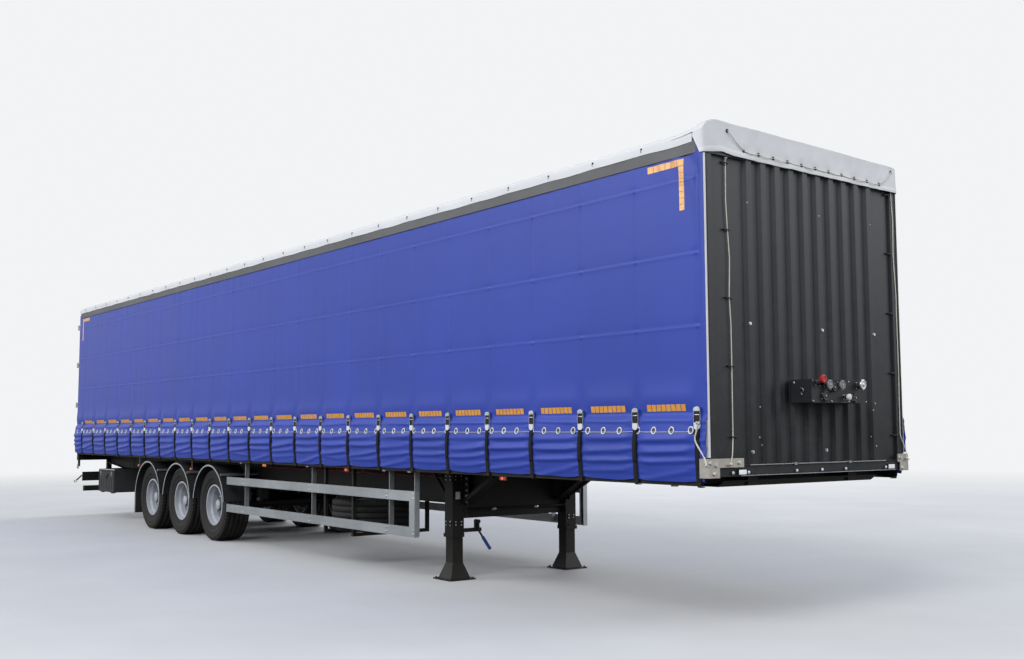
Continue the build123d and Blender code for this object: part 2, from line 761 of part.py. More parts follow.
def corner_plate(inner_edge):
    """The galvanised plate over the front lower corner, with its hanging lobe."""
    front = FRONT_X + FRONT_SILL_REACH + SEAT_GAP
    face = [
        (inner_edge, CORNER_PLATE_STEP),
        (CORNER_PLATE_LOBE_IN, CORNER_PLATE_STEP),
        (CORNER_PLATE_LOBE_IN, CORNER_PLATE_LOBE),
        (CORNER_PLATE_OUT, CORNER_PLATE_LOBE),
        (CORNER_PLATE_OUT, CORNER_PLATE_TOP),
        (inner_edge, CORNER_PLATE_TOP),
    ]
    plate = drawn_x(face, front, front + CORNER_PLATE_THICKNESS)
    side_ys = (CORNER_PLATE_OUT - CORNER_PLATE_THICKNESS, CORNER_PLATE_OUT)
    plate += block((back(TRIM_WIDTH * 2), front), side_ys, (CORNER_PLATE_LOBE, CORNER_PLATE_TOP))
    shelf_ys = (STRUCTURE_HALF + SEAT_GAP, CORNER_PLATE_OUT)
    shelf_zs = (CORNER_PLATE_LOBE, CORNER_PLATE_LOBE + CORNER_PLATE_THICKNESS)
    plate += block((back(TRIM_WIDTH), front), shelf_ys, shelf_zs)
    return plate


def socket_console():
    """The sheet housing that carries the couplings, open underneath."""
    low_y = CONSOLE_OFFSET - CONSOLE_WIDTH / 2
    high_y = CONSOLE_OFFSET + CONSOLE_WIDTH / 2
    xs = (FRONT_X, FRONT_X + CONSOLE_DEPTH)
    case = block(xs, (low_y, high_y), (CONSOLE_BOTTOM, CONSOLE_TOP))
    inside_x = (FRONT_X + CONSOLE_WALL, FRONT_X + CONSOLE_DEPTH - CONSOLE_WALL)
    inside_y = (low_y + CONSOLE_WALL, high_y - CONSOLE_WALL)
    case -= block(inside_x, inside_y, (CONSOLE_BOTTOM, CONSOLE_TOP - CONSOLE_WALL))
    return case


def couplings():
    """Air and electric sockets on the console's front panel."""
    panel = FRONT_X + CONSOLE_DEPTH
    pieces = []
    for y, z, radius, reach, rise in COUPLING_TABLE:
        shoulder = panel + reach * NECK_REACH_SHARE
        neck = rod((panel, y, z), (shoulder, y, z), radius * NECK_RADIUS_SHARE)
        head = rod((shoulder, y, z + rise), (panel + reach, y, z + rise), radius)
        pieces.append(neck + head)
    return pieces


def roof_rail():
    """The side rail that the curtain runs in."""
    slot_in = STRUCTURE_HALF - SOFT_GAP
    slot_out = HALF_WIDTH - RAIL_LIP
    outline = [
        (RAIL_INNER, RAIL_BODY_BOTTOM),
        (slot_in, RAIL_BODY_BOTTOM),
        (slot_in, RAIL_SLOT_TOP),
        (slot_out, RAIL_SLOT_TOP),
        (slot_out, RAIL_BOTTOM),
        (HALF_WIDTH, RAIL_BOTTOM),
        (HALF_WIDTH, RAIL_SHOULDER),
        (RAIL_UPPER_HALF, RAIL_SHOULDER),
        (RAIL_UPPER_HALF, RAIL_TOP),
        (RAIL_INNER, RAIL_TOP),
    ]
    return drawn_x(outline, REAR_FRAME_FRONT, back(FRONT_POST_DEPTH))


def roof_bows():
    """The light tubes that cross between the roof rails."""
    bows = []
    for number in range(1, CROSS_COUNT, BOW_EVERY):
        x = back(CROSS_FIRST + number * CROSS_PITCH)
        xs = (x - BOW_WIDTH / 2, x + BOW_WIDTH / 2)
        bows.append(block(xs, (-RAIL_INNER, RAIL_INNER), (BOW_BOTTOM, BOW_BOTTOM + BOW_HEIGHT)))
    return bows


def roof_tarp():
    """The crowned roof sheet with its side skirts, as one closed shell."""
    out = HALF_WIDTH - SOFT_GAP
    inside = RAIL_UPPER_HALF + SOFT_GAP
    low = RAIL_SHOULDER + SOFT_GAP
    under = RAIL_TOP + SOFT_GAP
    edge = RAIL_INNER
    curve = [
        Line((out, low), (out, under)),
        Line((out, under), (edge, ROOF_EDGE_TOP)),
        ThreePointArc((edge, ROOF_EDGE_TOP), (0, BODY_HEIGHT), (-edge, ROOF_EDGE_TOP)),
        Line((-edge, ROOF_EDGE_TOP), (-out, under)),
        Line((-out, under), (-out, low)),
        Line((-out, low), (-inside, low)),
        Line((-inside, low), (-inside, under)),
        Line((-inside, under), (-edge, under)),
        ThreePointArc((-edge, under), (0, BODY_HEIGHT - ROOF_SHEET), (edge, under)),
        Line((edge, under), (inside, under)),
        Line((inside, under), (inside, low)),
        Line((inside, low), (out, low)),
    ]
    face = Plane.YZ * make_face(curve)
    return Pos(REAR_FRAME_BACK, 0, 0) * extrude(face, amount=FRONT_X - REAR_FRAME_BACK, dir=(1, 0, 0))


def front_cap():
    """The pale sheet that wraps the top of the front wall and both corners."""
    inner_x = FRONT_X + SOFT_GAP
    outer_x = inner_x + CAP_SHEET
    inner_y = HALF_WIDTH + SOFT_GAP
    outer_y = inner_y + CAP_SHEET
    rear = back(CAP_RETURN)
    outline = [
        (rear, -outer_y),
        (outer_x, -outer_y),
        (outer_x, outer_y),
        (rear, outer_y),
        (rear, inner_y),
        (inner_x, inner_y),
        (inner_x, -inner_y),
        (rear, -inner_y),
    ]
    cap = drawn_z(outline, CAP_BOTTOM, ROOF_EDGE_TOP)
    low = CAP_BOTTOM - 1
    slant = [(rear - 1, low), (back(TRIM_WIDTH), low), (rear - 1, ROOF_EDGE_TOP - ROOF_SHEET)]
    return cap - drawn_y(slant, -outer_y - 1, outer_y + 1)


def curtain():
    """One side curtain: flat above, with its gathered skirt bulging out below."""
    top = CURTAIN_OUT
    curve = [
        Line((CURTAIN_IN, CURTAIN_HEM), (CURTAIN_IN, CURTAIN_TOP)),
        Line((CURTAIN_IN, CURTAIN_TOP), (top, CURTAIN_TOP)),
        Line((top, CURTAIN_TOP), (top, SKIRT_TOP)),
        ThreePointArc(
            (top, SKIRT_TOP), (top + SKIRT_BULGE, SKIRT_BULGE_HEIGHT), (top + HEM_BULGE, CURTAIN_HEM)
        ),
        Line((top + HEM_BULGE, CURTAIN_HEM), (CURTAIN_IN, CURTAIN_HEM)),
    ]
    face = Plane.YZ * make_face(curve)
    rear = REAR_FRAME_BACK
    return Pos(rear, 0, 0) * extrude(face, amount=back(TRIM_WIDTH) - SOFT_GAP - rear, dir=(1, 0, 0))


def strap():
    """One strap with its buckle, hooked under the rave."""
    near = CURTAIN_OUT + SOFT_GAP
    far = near + STRAP_THICKNESS
    hook_top = RAVE_BOTTOM - SEAT_GAP
    hook_low = hook_top - STRAP_HOOK_DROP
    hook_in = STRUCTURE_HALF - STRAP_HOOK_REACH
    hem_z = CURTAIN_HEM - SOFT_GAP
    curve = [
        Line((near, BUCKLE_TOP), (far, BUCKLE_TOP)),
        Line((far, BUCKLE_TOP), (far, SKIRT_TOP)),
        ThreePointArc((far, SKIRT_TOP), (far + SKIRT_BULGE, SKIRT_BULGE_HEIGHT), (far + HEM_BULGE, hem_z)),
        Line((far + HEM_BULGE, hem_z), (far + HEM_BULGE, hook_low)),
        Line((far + HEM_BULGE, hook_low), (hook_in, hook_low)),
        Line((hook_in, hook_low), (hook_in, hook_top)),
        Line((hook_in, hook_top), (near + HEM_BULGE, hook_top)),
        Line((near + HEM_BULGE, hook_top), (near + HEM_BULGE, hem_z)),
        ThreePointArc((near + HEM_BULGE, hem_z), (near + SKIRT_BULGE, SKIRT_BULGE_HEIGHT), (near, SKIRT_TOP)),
        Line((near, SKIRT_TOP), (near, BUCKLE_TOP)),
    ]
    face = Plane.YZ * make_face(curve)
    webbing = Pos(-STRAP_WIDTH / 2, 0, 0) * extrude(face, amount=STRAP_WIDTH, dir=(1, 0, 0))
    xs = (-BUCKLE_WIDTH / 2, BUCKLE_WIDTH / 2)
    bottom = max(BUCKLE_BOTTOM, SKIRT_TOP)
    buckle = block(xs, (near, near + BUCKLE_THICKNESS), (bottom, BUCKLE_TOP))
    lever_y = (near + BUCKLE_THICKNESS - LEVER_THICKNESS, near + BUCKLE_THICKNESS)
    buckle += block(xs, lever_y, (BUCKLE_BOTTOM, BUCKLE_TOP))
    return webbing + buckle


def straps():
    """The row of straps on the left side."""
    one = strap()
    return [Pos(back(STRAP_FIRST + n * STRAP_PITCH), 0, 0) * one for n in range(STRAP_COUNT)]


def side_pillars():
    """The posts behind each curtain that carry the roof rail."""
    out = STRUCTURE_HALF
    inner = out - PILLAR_DEPTH
    half = PILLAR_LENGTH / 2
    outline = [
        (-half, inner),
        (half, inner),
        (half, out),
        (half - PILLAR_SKIN, out),
        (half - PILLAR_SKIN, inner + PILLAR_SKIN),
        (-half + PILLAR_SKIN, inner + PILLAR_SKIN),
        (-half + PILLAR_SKIN, out),
        (-half, out),
    ]
    one = drawn_z(outline, FLOOR_TOP, RAIL_BODY_BOTTOM)
    pieces = []
    for distance in PILLAR_BACKS:
        pieces += both(Pos(back(distance), 0, 0) * one)
    return pieces


def rear_posts():
    """The two posts of the rear portal."""
    ys = (REAR_POST_OUT - REAR_POST_WIDTH, REAR_POST_OUT)
    return both(block((REAR_FRAME_BACK, REAR_FRAME_FRONT), ys, (REAR_POST_BOTTOM, RAIL_TOP)))


def rear_frame():
    """The header and the sill between the rear posts."""
    xs = (REAR_FRAME_BACK, REAR_FRAME_FRONT)
    inner = REAR_POST_OUT - REAR_POST_WIDTH - SEAT_GAP
    spans = ((REAR_POST_BOTTOM, FLOOR_TOP), (REAR_HEADER_BOTTOM, RAIL_TOP))
    return [block(xs, (-inner, inner), zs) for zs in spans]


def door():
    """The left rear door with the channels that its lock rods lie in."""
    xs = (REAR_X, REAR_X + DOOR_THICKNESS)
    ys = (DOOR_SPLIT_GAP / 2, HINGE_Y - DOOR_EDGE_GAP)
    leaf = block(xs, ys, (DOOR_BOTTOM, DOOR_TOP))
    for distance in ROD_SETS:
        y = HINGE_Y - distance
        channel = (y - ROD_CHANNEL_WIDTH / 2, y + ROD_CHANNEL_WIDTH / 2)
        leaf -= block((REAR_X, REAR_X + ROD_CHANNEL_DEPTH), channel, (DOOR_BOTTOM, DOOR_TOP))
    return leaf


def lock_rods():
    """The left door's two lock rods with cams, guides and handles."""
    pieces = []
    rod_x = REAR_X + ROD_INSET
    for number, distance in enumerate(ROD_SETS):
        y = HINGE_Y - distance
        low = DOOR_BOTTOM - ROD_OVERRUN
        high = DOOR_TOP + ROD_OVERRUN
        bar = rod((rod_x, y, low), (rod_x, y, high), ROD_RADIUS)
        cam_xs = (rod_x - CAM_DEPTH / 2, rod_x + CAM_DEPTH / 2)
        cam_ys = (y - CAM_WIDTH / 2, y + CAM_WIDTH / 2)
        bar += block(cam_xs, cam_ys, (low, low + CAM_HEIGHT))
        bar += block(cam_xs, cam_ys, (high - CAM_HEIGHT, high))
        for z in GUIDE_HEIGHTS:
            guide_ys = (y - ROD_CHANNEL_WIDTH, y + ROD_CHANNEL_WIDTH)
            bar += block((REAR_X - GUIDE_THICKNESS, REAR_X), guide_ys, (z, z + GUIDE_HEIGHT))
        z = HANDLE_HEIGHTS[number]
        hub_xs = (REAR_X - HANDLE_STANDOFF - HANDLE_THICKNESS, rod_x)
        bar += block(hub_xs, (y - ROD_RADIUS, y + ROD_RADIUS), (z, z + HANDLE_HEIGHT))
        lever_xs = (REAR_X - HANDLE_STANDOFF - HANDLE_THICKNESS, REAR_X - HANDLE_STANDOFF)
        toward = 1 if number else -1
        lever_ys = sorted((y, y + toward * HANDLE_LENGTH))
        bar += block(lever_xs, lever_ys, (z, z + HANDLE_HEIGHT))
        pieces.append(bar)
    return pieces


def hinge_straps():
    """The left door's hinge straps, each with a bored knuckle."""
    pieces = []
    bore = HINGE_PIN_RADIUS + RUNNING_FIT
    edge = HINGE_Y - DOOR_EDGE_GAP
    face = REAR_X - SEAT_GAP
    for z in HINGE_HEIGHTS:
        outline = [
            (HINGE_X, HINGE_Y + KNUCKLE_RADIUS * 0.6),
            (face - HINGE_STRAP_THICKNESS, edge),
            (face, edge),
            (face, edge - HINGE_STRAP_LENGTH),
            (face - HINGE_STRAP_THICKNESS, edge - HINGE_STRAP_LENGTH),
            (face - HINGE_STRAP_THICKNESS, edge - HINGE_STANDOFF),
            (HINGE_X, HINGE_Y - KNUCKLE_RADIUS * 0.9),
        ]
        low = z - HINGE_STRAP_HEIGHT / 2
        high = z + HINGE_STRAP_HEIGHT / 2
        leaf = drawn_z(outline, low, high)
        leaf += rod((HINGE_X, HINGE_Y, low), (HINGE_X, HINGE_Y, high), KNUCKLE_RADIUS)
        leaf -= rod((HINGE_X, HINGE_Y, low), (HINGE_X, HINGE_Y, high), bore)
        pieces.append(leaf)
    return pieces


def hinge_lugs():
    """The left post's hinge lugs, each with two ears and the pin."""
    pieces = []
    plate_ys = (REAR_POST_OUT, REAR_POST_OUT + LUG_THICKNESS)
    for z in HINGE_HEIGHTS:
        low = z - HINGE_STRAP_HEIGHT / 2
        high = z + HINGE_STRAP_HEIGHT / 2
        plate_xs = (REAR_X, REAR_FRAME_FRONT)
        lug = block(plate_xs, plate_ys, (low - EAR_HEIGHT, high + EAR_HEIGHT))
        ear_xs = (HINGE_X, REAR_X)
        for ear_zs in ((low - EAR_HEIGHT, low - EAR_GAP), (high + EAR_GAP, high + EAR_HEIGHT)):
            lug += block(ear_xs, plate_ys, ear_zs)
            lug += rod((HINGE_X, HINGE_Y, ear_zs[0]), (HINGE_X, HINGE_Y, ear_zs[1]), KNUCKLE_RADIUS)
        pin_ends = (low - EAR_HEIGHT, high + EAR_HEIGHT)
        lug += rod((HINGE_X, HINGE_Y, pin_ends[0]), (HINGE_X, HINGE_Y, pin_ends[1]), HINGE_PIN_RADIUS)
        pieces.append(lug)
    return pieces


def keepers():
    """The keepers on the rear frame that each cam sits between."""
    pieces = []
    rod_x = REAR_X + ROD_INSET
    for distance in ROD_SETS:
        y = HINGE_Y - distance
        inner = CAM_WIDTH / 2 + KEEPER_CLEARANCE
        outer = inner + KEEPER_WALL
        for low in (DOOR_BOTTOM - ROD_OVERRUN, DOOR_TOP + ROD_OVERRUN - CAM_HEIGHT):
            for side in (-1, 1):
                ys = sorted((y + side * inner, y + side * outer))
                pieces.append(block((rod_x - CAM_DEPTH / 2, REAR_FRAME_BACK), ys, (low, low + CAM_HEIGHT)))
    return pieces


def tyre():
    """A single wide tyre round the Y axis, its outer side towards +Y."""
    bore = RIM_SEAT_RADIUS + SEAT_GAP
    bead = RIM_WIDTH / 2 - SEAT_GAP
    lip = RIM_FLANGE_RADIUS + SEAT_GAP
    half = TYRE_WIDTH / 2
    lip_y = bead + RIM_FLANGE
    shoulder_r = TYRE_RADIUS - TYRE_SHOULDER_DROP
    wall_y = half - TYRE_WALL_DRAFT
    crown_r = TYRE_RADIUS - TYRE_CROWN_DROP
    crown_y = half - TYRE_CROWN_IN
    corner = (TYRE_RADIUS - TYRE_CORNER[0], half - TYRE_CORNER[1])
    widest_r = lip + TYRE_WIDEST_SHARE * (shoulder_r - lip)
    foot_r = lip + TYRE_LIP_RISE
    curve = [Line((bore, -bead), (bore, bead))]
    for side in (1, -1):
        edges = [
            Line((bore, side * bead), (lip, side * bead)),
            Line((lip, side * bead), (foot_r, side * lip_y)),
            ThreePointArc((foot_r, side * lip_y), (widest_r, side * half), (shoulder_r, side * wall_y)),
            ThreePointArc(
                (shoulder_r, side * wall_y), (corner[0], side * corner[1]), (crown_r, side * crown_y)
            ),
        ]
        curve += edges
    curve.append(ThreePointArc((crown_r, crown_y), (TYRE_RADIUS, 0), (crown_r, -crown_y)))
    return revolve(make_face(curve), axis=Axis.Y)


def rim():
    """The drop-centre rim as a ring of constant skin."""
    half = RIM_WIDTH / 2
    edge = half + RIM_FLANGE
    seat = RIM_SEAT_RADIUS
    well = RIM_WELL_RADIUS
    skin = RIM_SKIN
    heel = seat - RIM_SEAT_SLOPE
    heel_y = half - RIM_SEAT_LENGTH
    well_y = half - RIM_WELL_IN
    outline = [
        (RIM_FLANGE_RADIUS, edge),
        (RIM_FLANGE_RADIUS, half),
        (seat, half),
        (heel, heel_y),
        (well, well_y),
        (well, -well_y),
        (heel, -heel_y),
        (seat, -half),
        (RIM_FLANGE_RADIUS, -half),
        (RIM_FLANGE_RADIUS, -edge),
        (seat - skin, -edge),
        (heel - skin, -heel_y),
        (well - skin, -well_y),
        (well - skin, well_y),
        (heel - skin, heel_y),
        (seat - skin, edge),
    ]
    return turned(outline)


def disc_wheel():
    """A steel rim with its disc and the hand holes through the disc."""
    edge_r = RIM_WELL_RADIUS - RIM_SKIN + 1
    bore = HUB_RADIUS - DISC_BORE_IN
    disc = [
        (edge_r, DISC_EDGE_SPAN[0]),
        (edge_r, DISC_EDGE_SPAN[1]),
        *DISC_CROWN_OUTER,
        (HUB_FLANGE_RADIUS, DISC_THICKNESS),
        (bore, DISC_THICKNESS),
        (bore, 0),
        (HUB_FLANGE_RADIUS + RIM_SEAT_SLOPE, 0),
        *DISC_CROWN_INNER,
    ]
    piece = rim() + turned(disc)
    hole = Pos(HAND_HOLE_CIRCLE, 0, 0) * Rot(90, 0, 0) * Cylinder(HAND_HOLE_RADIUS, HAND_HOLE_CIRCLE)
    for number in range(HAND_HOLES):
        piece -= Rot(0, number * 360 / HAND_HOLES, 0) * hole
    return piece


def wheel():
    """A disc wheel on its hub, with the brake drum on the inner side."""
    bore = SPINDLE_RADIUS + RUNNING_FIT
    bore_end = SPINDLE_REACH + MOVING_GAP
    barrel_end = -DRUM_END + HUB_BARREL_IN
    hub = [
        (0, HUB_REACH),
        (HUB_RADIUS - HUB_CHAMFER, HUB_REACH),
        (HUB_RADIUS, HUB_REACH - HUB_CHAMFER),
        (HUB_RADIUS, -DRUM_FACE[0]),
        (HUB_FLANGE_RADIUS, -DRUM_FACE[0]),
        (DRUM_RADIUS, -DRUM_FACE[1]),
        (DRUM_RADIUS, -DRUM_END),
        (DRUM_RADIUS - DRUM_WALL, -DRUM_END),
        (DRUM_RADIUS - DRUM_WALL, -DRUM_FLOOR),
        (DRUM_INNER_RADIUS, -DRUM_FLOOR),
        (DRUM_INNER_RADIUS, barrel_end),
        (bore, barrel_end),
        (bore, bore_end),
        (0, bore_end),
    ]
    flange_rs = (HUB_RADIUS - DISC_BORE_IN, HUB_FLANGE_RADIUS)
    flange_low = -DRUM_FACE[0] - 1
    flange = [(flange_rs[0], flange_low), (flange_rs[1], flange_low), (flange_rs[1], 0), (flange_rs[0], 0)]
    return disc_wheel() + turned(hub) + turned(flange)


def axle():
    """An axle beam with its spindles and brake backing plates."""
    half = TRACK / 2
    tube_end = half - DRUM_END - MOVING_GAP
    beam = rod((0, -tube_end, 0), (0, tube_end, 0), AXLE_TUBE_RADIUS)
    tip = half + SPINDLE_REACH
    beam += rod((0, -tip, 0), (0, tip, 0), SPINDLE_RADIUS)
    for side in (-1, 1):
        outer = side * tube_end
        inner = side * (tube_end - BACKING_THICKNESS)
        beam += rod((0, inner, 0), (0, outer, 0), BACKING_RADIUS)
    return beam


def axles():
    """The three axle beams."""
    one = axle()
    return [Pos(back(distance), 0, HUB_HEIGHT) * one for distance in AXLE_BACKS]


def trailing_arm():
    """The left arm of one axle, clamped on top of the axle tube."""
    low = AXLE_TUBE_RADIUS + SEAT_GAP
    high = low + ARM_HEIGHT
    front = ARM_FORWARD
    rear = -ARM_REARWARD - AIR_SPRING_RADIUS * ARM_TAIL_SHARE
    tail = high - ARM_TAIL_DROP
    outline = [(front + x, low + z) for x, z in ARM_EYE_OUTLINE]
    outline += [
        (front + ARM_EYE_TOP, high),
        (ARM_BACK_TOP[0], high),
        (ARM_BACK_TOP[1], tail),
        (rear, tail),
        (rear, tail - ARM_TAIL_THICKNESS),
        (ARM_SEAT_RAMP[0], low + ARM_SEAT_RAMP[1]),
        (-ARM_SEAT_HALF, low),
        (ARM_SEAT_HALF, low),
    ]
    return drawn_y(outline, ARM_Y - ARM_WIDTH / 2, ARM_Y + ARM_WIDTH / 2)


def trailing_arms():
    """All six trailing arms."""
    pieces = []
    for distance in AXLE_BACKS:
        pieces += both(Pos(back(distance), 0, HUB_HEIGHT) * trailing_arm())
    return pieces


def hanger():
    """The forked bracket under a beam that one arm pivots in, from the axle's centre."""
    top = MAIN_BEAM_BOTTOM - HUB_HEIGHT
    low = AXLE_TUBE_RADIUS - HANGER_LOW_CUT
    half = HANGER_LENGTH / 2
    outline = [
        (ARM_FORWARD - half, top),
        (ARM_FORWARD + half * HANGER_FOOT_SHARES[0], low),
        (ARM_FORWARD + half * HANGER_FOOT_SHARES[1], low),
        (ARM_FORWARD + half, low + HANGER_NOSE),
        (ARM_FORWARD + half, top),
    ]
    body = drawn_y(outline, ARM_Y - HANGER_WIDTH / 2, ARM_Y + HANGER_WIDTH / 2)
    fork = (ARM_Y - ARM_WIDTH / 2 - SEAT_GAP, ARM_Y + ARM_WIDTH / 2 + SEAT_GAP)
    slot_xs = (ARM_FORWARD - HANGER_LENGTH, ARM_FORWARD + half - HANGER_SKIN)
    body -= block(slot_xs, fork, (low - 1, top - HANGER_SKIN))
    return body


def hangers():
    """All six hangers."""
    pieces = []
    for distance in AXLE_BACKS:
        pieces += both(Pos(back(distance), 0, HUB_HEIGHT) * hanger())
    return pieces


def air_springs():
    """All six air springs, each between an arm's tail and the beam."""
    low = HUB_HEIGHT + AXLE_TUBE_RADIUS + SEAT_GAP + ARM_HEIGHT - ARM_TAIL_DROP
    high = MAIN_BEAM_BOTTOM
    plate = AIR_SPRING_PLATE
    belly = AIR_SPRING_RADIUS
    neck = belly * AIR_SPRING_NECK_SHARE
    shoulder = belly * AIR_SPRING_SHOULDER_SHARE
    outline = [
        (0, low),
        (neck, low),
        (neck, low + plate),
        (shoulder, low + plate + AIR_SPRING_SHOULDER_IN),
        (belly, (low + high) / 2),
        (shoulder, high - plate - AIR_SPRING_SHOULDER_IN),
        (neck, high - plate),
        (neck, high),
        (0, high),
    ]
    face = make_face(Polyline(*[(r, 0, z) for r, z in outline], close=True))
    one = revolve(face, axis=Axis.Z)
    pieces = []
    for distance in AXLE_BACKS:
        pieces += both(Pos(back(distance) - ARM_REARWARD, AIR_SPRING_Y, 0) * one)
    return pieces


def brake_chambers():
    """The brake chambers, each bracketed to its axle tube."""
    pieces = []
    for distance in AXLE_BACKS:
        x = back(distance)
        z = HUB_HEIGHT + CHAMBER_RISE
        start = x - AXLE_TUBE_RADIUS - CHAMBER_STANDOFF
        can = rod((start, CHAMBER_Y, z), (start - CHAMBER_LENGTH, CHAMBER_Y, z), CHAMBER_RADIUS)
        foot_xs = (start, x - AXLE_TUBE_RADIUS - SEAT_GAP)
        foot_ys = (CHAMBER_Y - CHAMBER_FOOT_WIDTH / 2, CHAMBER_Y + CHAMBER_FOOT_WIDTH / 2)
        foot_zs = (HUB_HEIGHT + CHAMBER_FOOT_SPAN[0], HUB_HEIGHT + CHAMBER_FOOT_SPAN[1])
        can += block(foot_xs, foot_ys, foot_zs)
        pieces += both(can)
    return pieces


def mudguard():
    """The arched guard over one left wheel, with its rolled outer edge."""
    inner = GUARD_INNER_RADIUS
    outer = inner + GUARD_SKIN
    foot = GUARD_FOOT_ANGLE

    def arc_band(r0, r1, y0, y1):
        start = (r1 * cos(radians(foot)), r1 * sin(radians(foot)))
        end = (-start[0], start[1])
        start_in = (r0 * cos(radians(foot)), r0 * sin(radians(foot)))
        end_in = (-start_in[0], start_in[1])
        curve = [
            ThreePointArc(start, (0, r1), end),
            Line(end, end_in),
            ThreePointArc(end_in, (0, r0), start_in),
            Line(start_in, start),
        ]
        face = Plane.XZ * make_face(curve)
        return Pos(0, y0, 0) * extrude(face, amount=y1 - y0, dir=(0, 1, 0))

    guard = arc_band(inner, outer, GUARD_IN, GUARD_OUT)
    bead = arc_band(inner - GUARD_BEAD / 3, outer + GUARD_BEAD / 3, GUARD_OUT - GUARD_BEAD, GUARD_OUT)
    return guard + bead


def mudguards():
    """All six mudguards."""
    one = mudguard()
    pieces = []
    for distance in AXLE_BACKS:
        pieces += both(Pos(back(distance) + GUARD_OFFSET, 0, HUB_HEIGHT) * one)
    return pieces


def mudguard_stays():
    """The tubes that carry each mudguard from the beam's web."""
    pieces = []
    reach = GUARD_INNER_RADIUS + GUARD_SKIN + STAY_RADIUS + SEAT_GAP
    start_y = BEAM_SPACING / 2 + BEAM_WEB / 2
    for distance in AXLE_BACKS:
        for angle in STAY_ANGLES:
            x = back(distance) + GUARD_OFFSET + reach * cos(radians(angle))
            z = HUB_HEIGHT + reach * sin(radians(angle))
            end_y = GUARD_OUT - GUARD_BEAD - SEAT_GAP
            pieces += both(rod((x, start_y, z), (x, end_y, z), STAY_RADIUS))
    return pieces


def mudflaps():
    """The rubber flap behind each last wheel."""
    outer = GUARD_INNER_RADIUS + GUARD_SKIN + GUARD_BEAD / 3
    front = back(AXLE_BACKS[-1]) + GUARD_OFFSET - outer * cos(radians(GUARD_FOOT_ANGLE)) - SEAT_GAP
    return both(block((front - FLAP_THICKNESS, front), (GUARD_IN, GUARD_OUT), (FLAP_BOTTOM, FLAP_TOP)))


def side_guard():
    """The left guard: an upright whose front edge turns in, and the rails behind it."""
    ys = (SIDE_GUARD_OUT - SIDE_RAIL_THICKNESS, SIDE_GUARD_OUT)
    zs = (SIDE_RAIL_BOTTOMS[0], SIDE_RAIL_BOTTOMS[-1] + SIDE_RAIL_HEIGHT)
    xs = (back(SIDE_GUARD_FRONT + SIDE_END_WIDTH), back(SIDE_GUARD_FRONT))
    upright_end = block(xs, ys, zs)
    turn_xs = (back(SIDE_GUARD_FRONT) - SIDE_END_SKIN, back(SIDE_GUARD_FRONT))
    upright_end += block(turn_xs, (SIDE_GUARD_OUT - SIDE_END_RETURN, SIDE_GUARD_OUT), zs)
    rail_xs = (back(SIDE_GUARD_BACK), xs[0] - SEAT_GAP)
    rails = [block(rail_xs, ys, (low, low + SIDE_RAIL_HEIGHT)) for low in SIDE_RAIL_BOTTOMS]
    return [upright_end] + rails


def side_guard_posts():
    """The flat posts that hang the rails from the rave."""
    out = SIDE_GUARD_OUT - SIDE_RAIL_THICKNESS
    pieces = []
    for distance in GUARD_POST_BACKS:
        x = back(distance)
        xs = (x - GUARD_POST_THICKNESS, x)
        post = block(xs, (out - GUARD_POST_WIDTH, out), (GUARD_POST_BOTTOM, RAVE_BOTTOM))
        foot_zs = (RAVE_BOTTOM - GUARD_POST_THICKNESS, RAVE_BOTTOM)
        post += block((x - GUARD_POST_WIDTH, x), (out - GUARD_POST_WIDTH, STRUCTURE_HALF), foot_zs)
        pieces += both(post)
    return pieces


def leg_outer():
    """The left leg's square outer tube with its collar and mounting plate."""
    x = back(LEG_BACK)
    half = LEG_OUTER / 2
    bore = half - LEG_WALL
    tube = block((x - half, x + half), (LEG_Y - half, LEG_Y + half), (LEG_OUTER_BOTTOM, LEG_OUTER_TOP))
    rim_half = half + LEG_COLLAR
    collar_z = (LEG_OUTER_BOTTOM, LEG_OUTER_BOTTOM + LEG_COLLAR_HEIGHT)
    tube += block((x - rim_half, x + rim_half), (LEG_Y - half, LEG_Y + rim_half), collar_z)
    cavity_z = (LEG_OUTER_BOTTOM, LEG_OUTER_TOP - LEG_WALL)
    tube -= block((x - bore, x + bore), (LEG_Y - bore, LEG_Y + bore), cavity_z)
    beam_out = BEAM_SPACING / 2 + BEAM_FLANGE / 2
    plate_xs = (x - LEG_PLATE_LENGTH / 2, x + LEG_PLATE_LENGTH / 2)
    tube += block(plate_xs, (beam_out, LEG_Y - half), (MAIN_BEAM_BOTTOM, LEG_OUTER_TOP))
    return tube


def leg_inner():
    """The left leg's sliding tube with its flared foot."""
    x = back(LEG_BACK)
    half = LEG_INNER / 2
    tube_zs = (FOOT_CONE_TOP, LEG_OUTER_BOTTOM + LEG_OVERLAP)
    tube = block((x - half, x + half), (LEG_Y - half, LEG_Y + half), tube_zs)
    base = Pos(x, LEG_Y, FOOT_PLATE) * Rectangle(FOOT_CONE_LENGTH, FOOT_CONE_LENGTH)
    top = Pos(x, LEG_Y, FOOT_CONE_TOP) * Rectangle(LEG_INNER, LEG_INNER)
    tube += loft([base, top])
    plate = Pos(x, LEG_Y, FOOT_PLATE / 2) * Box(FOOT_LENGTH, FOOT_WIDTH, FOOT_PLATE)
    return tube + plate


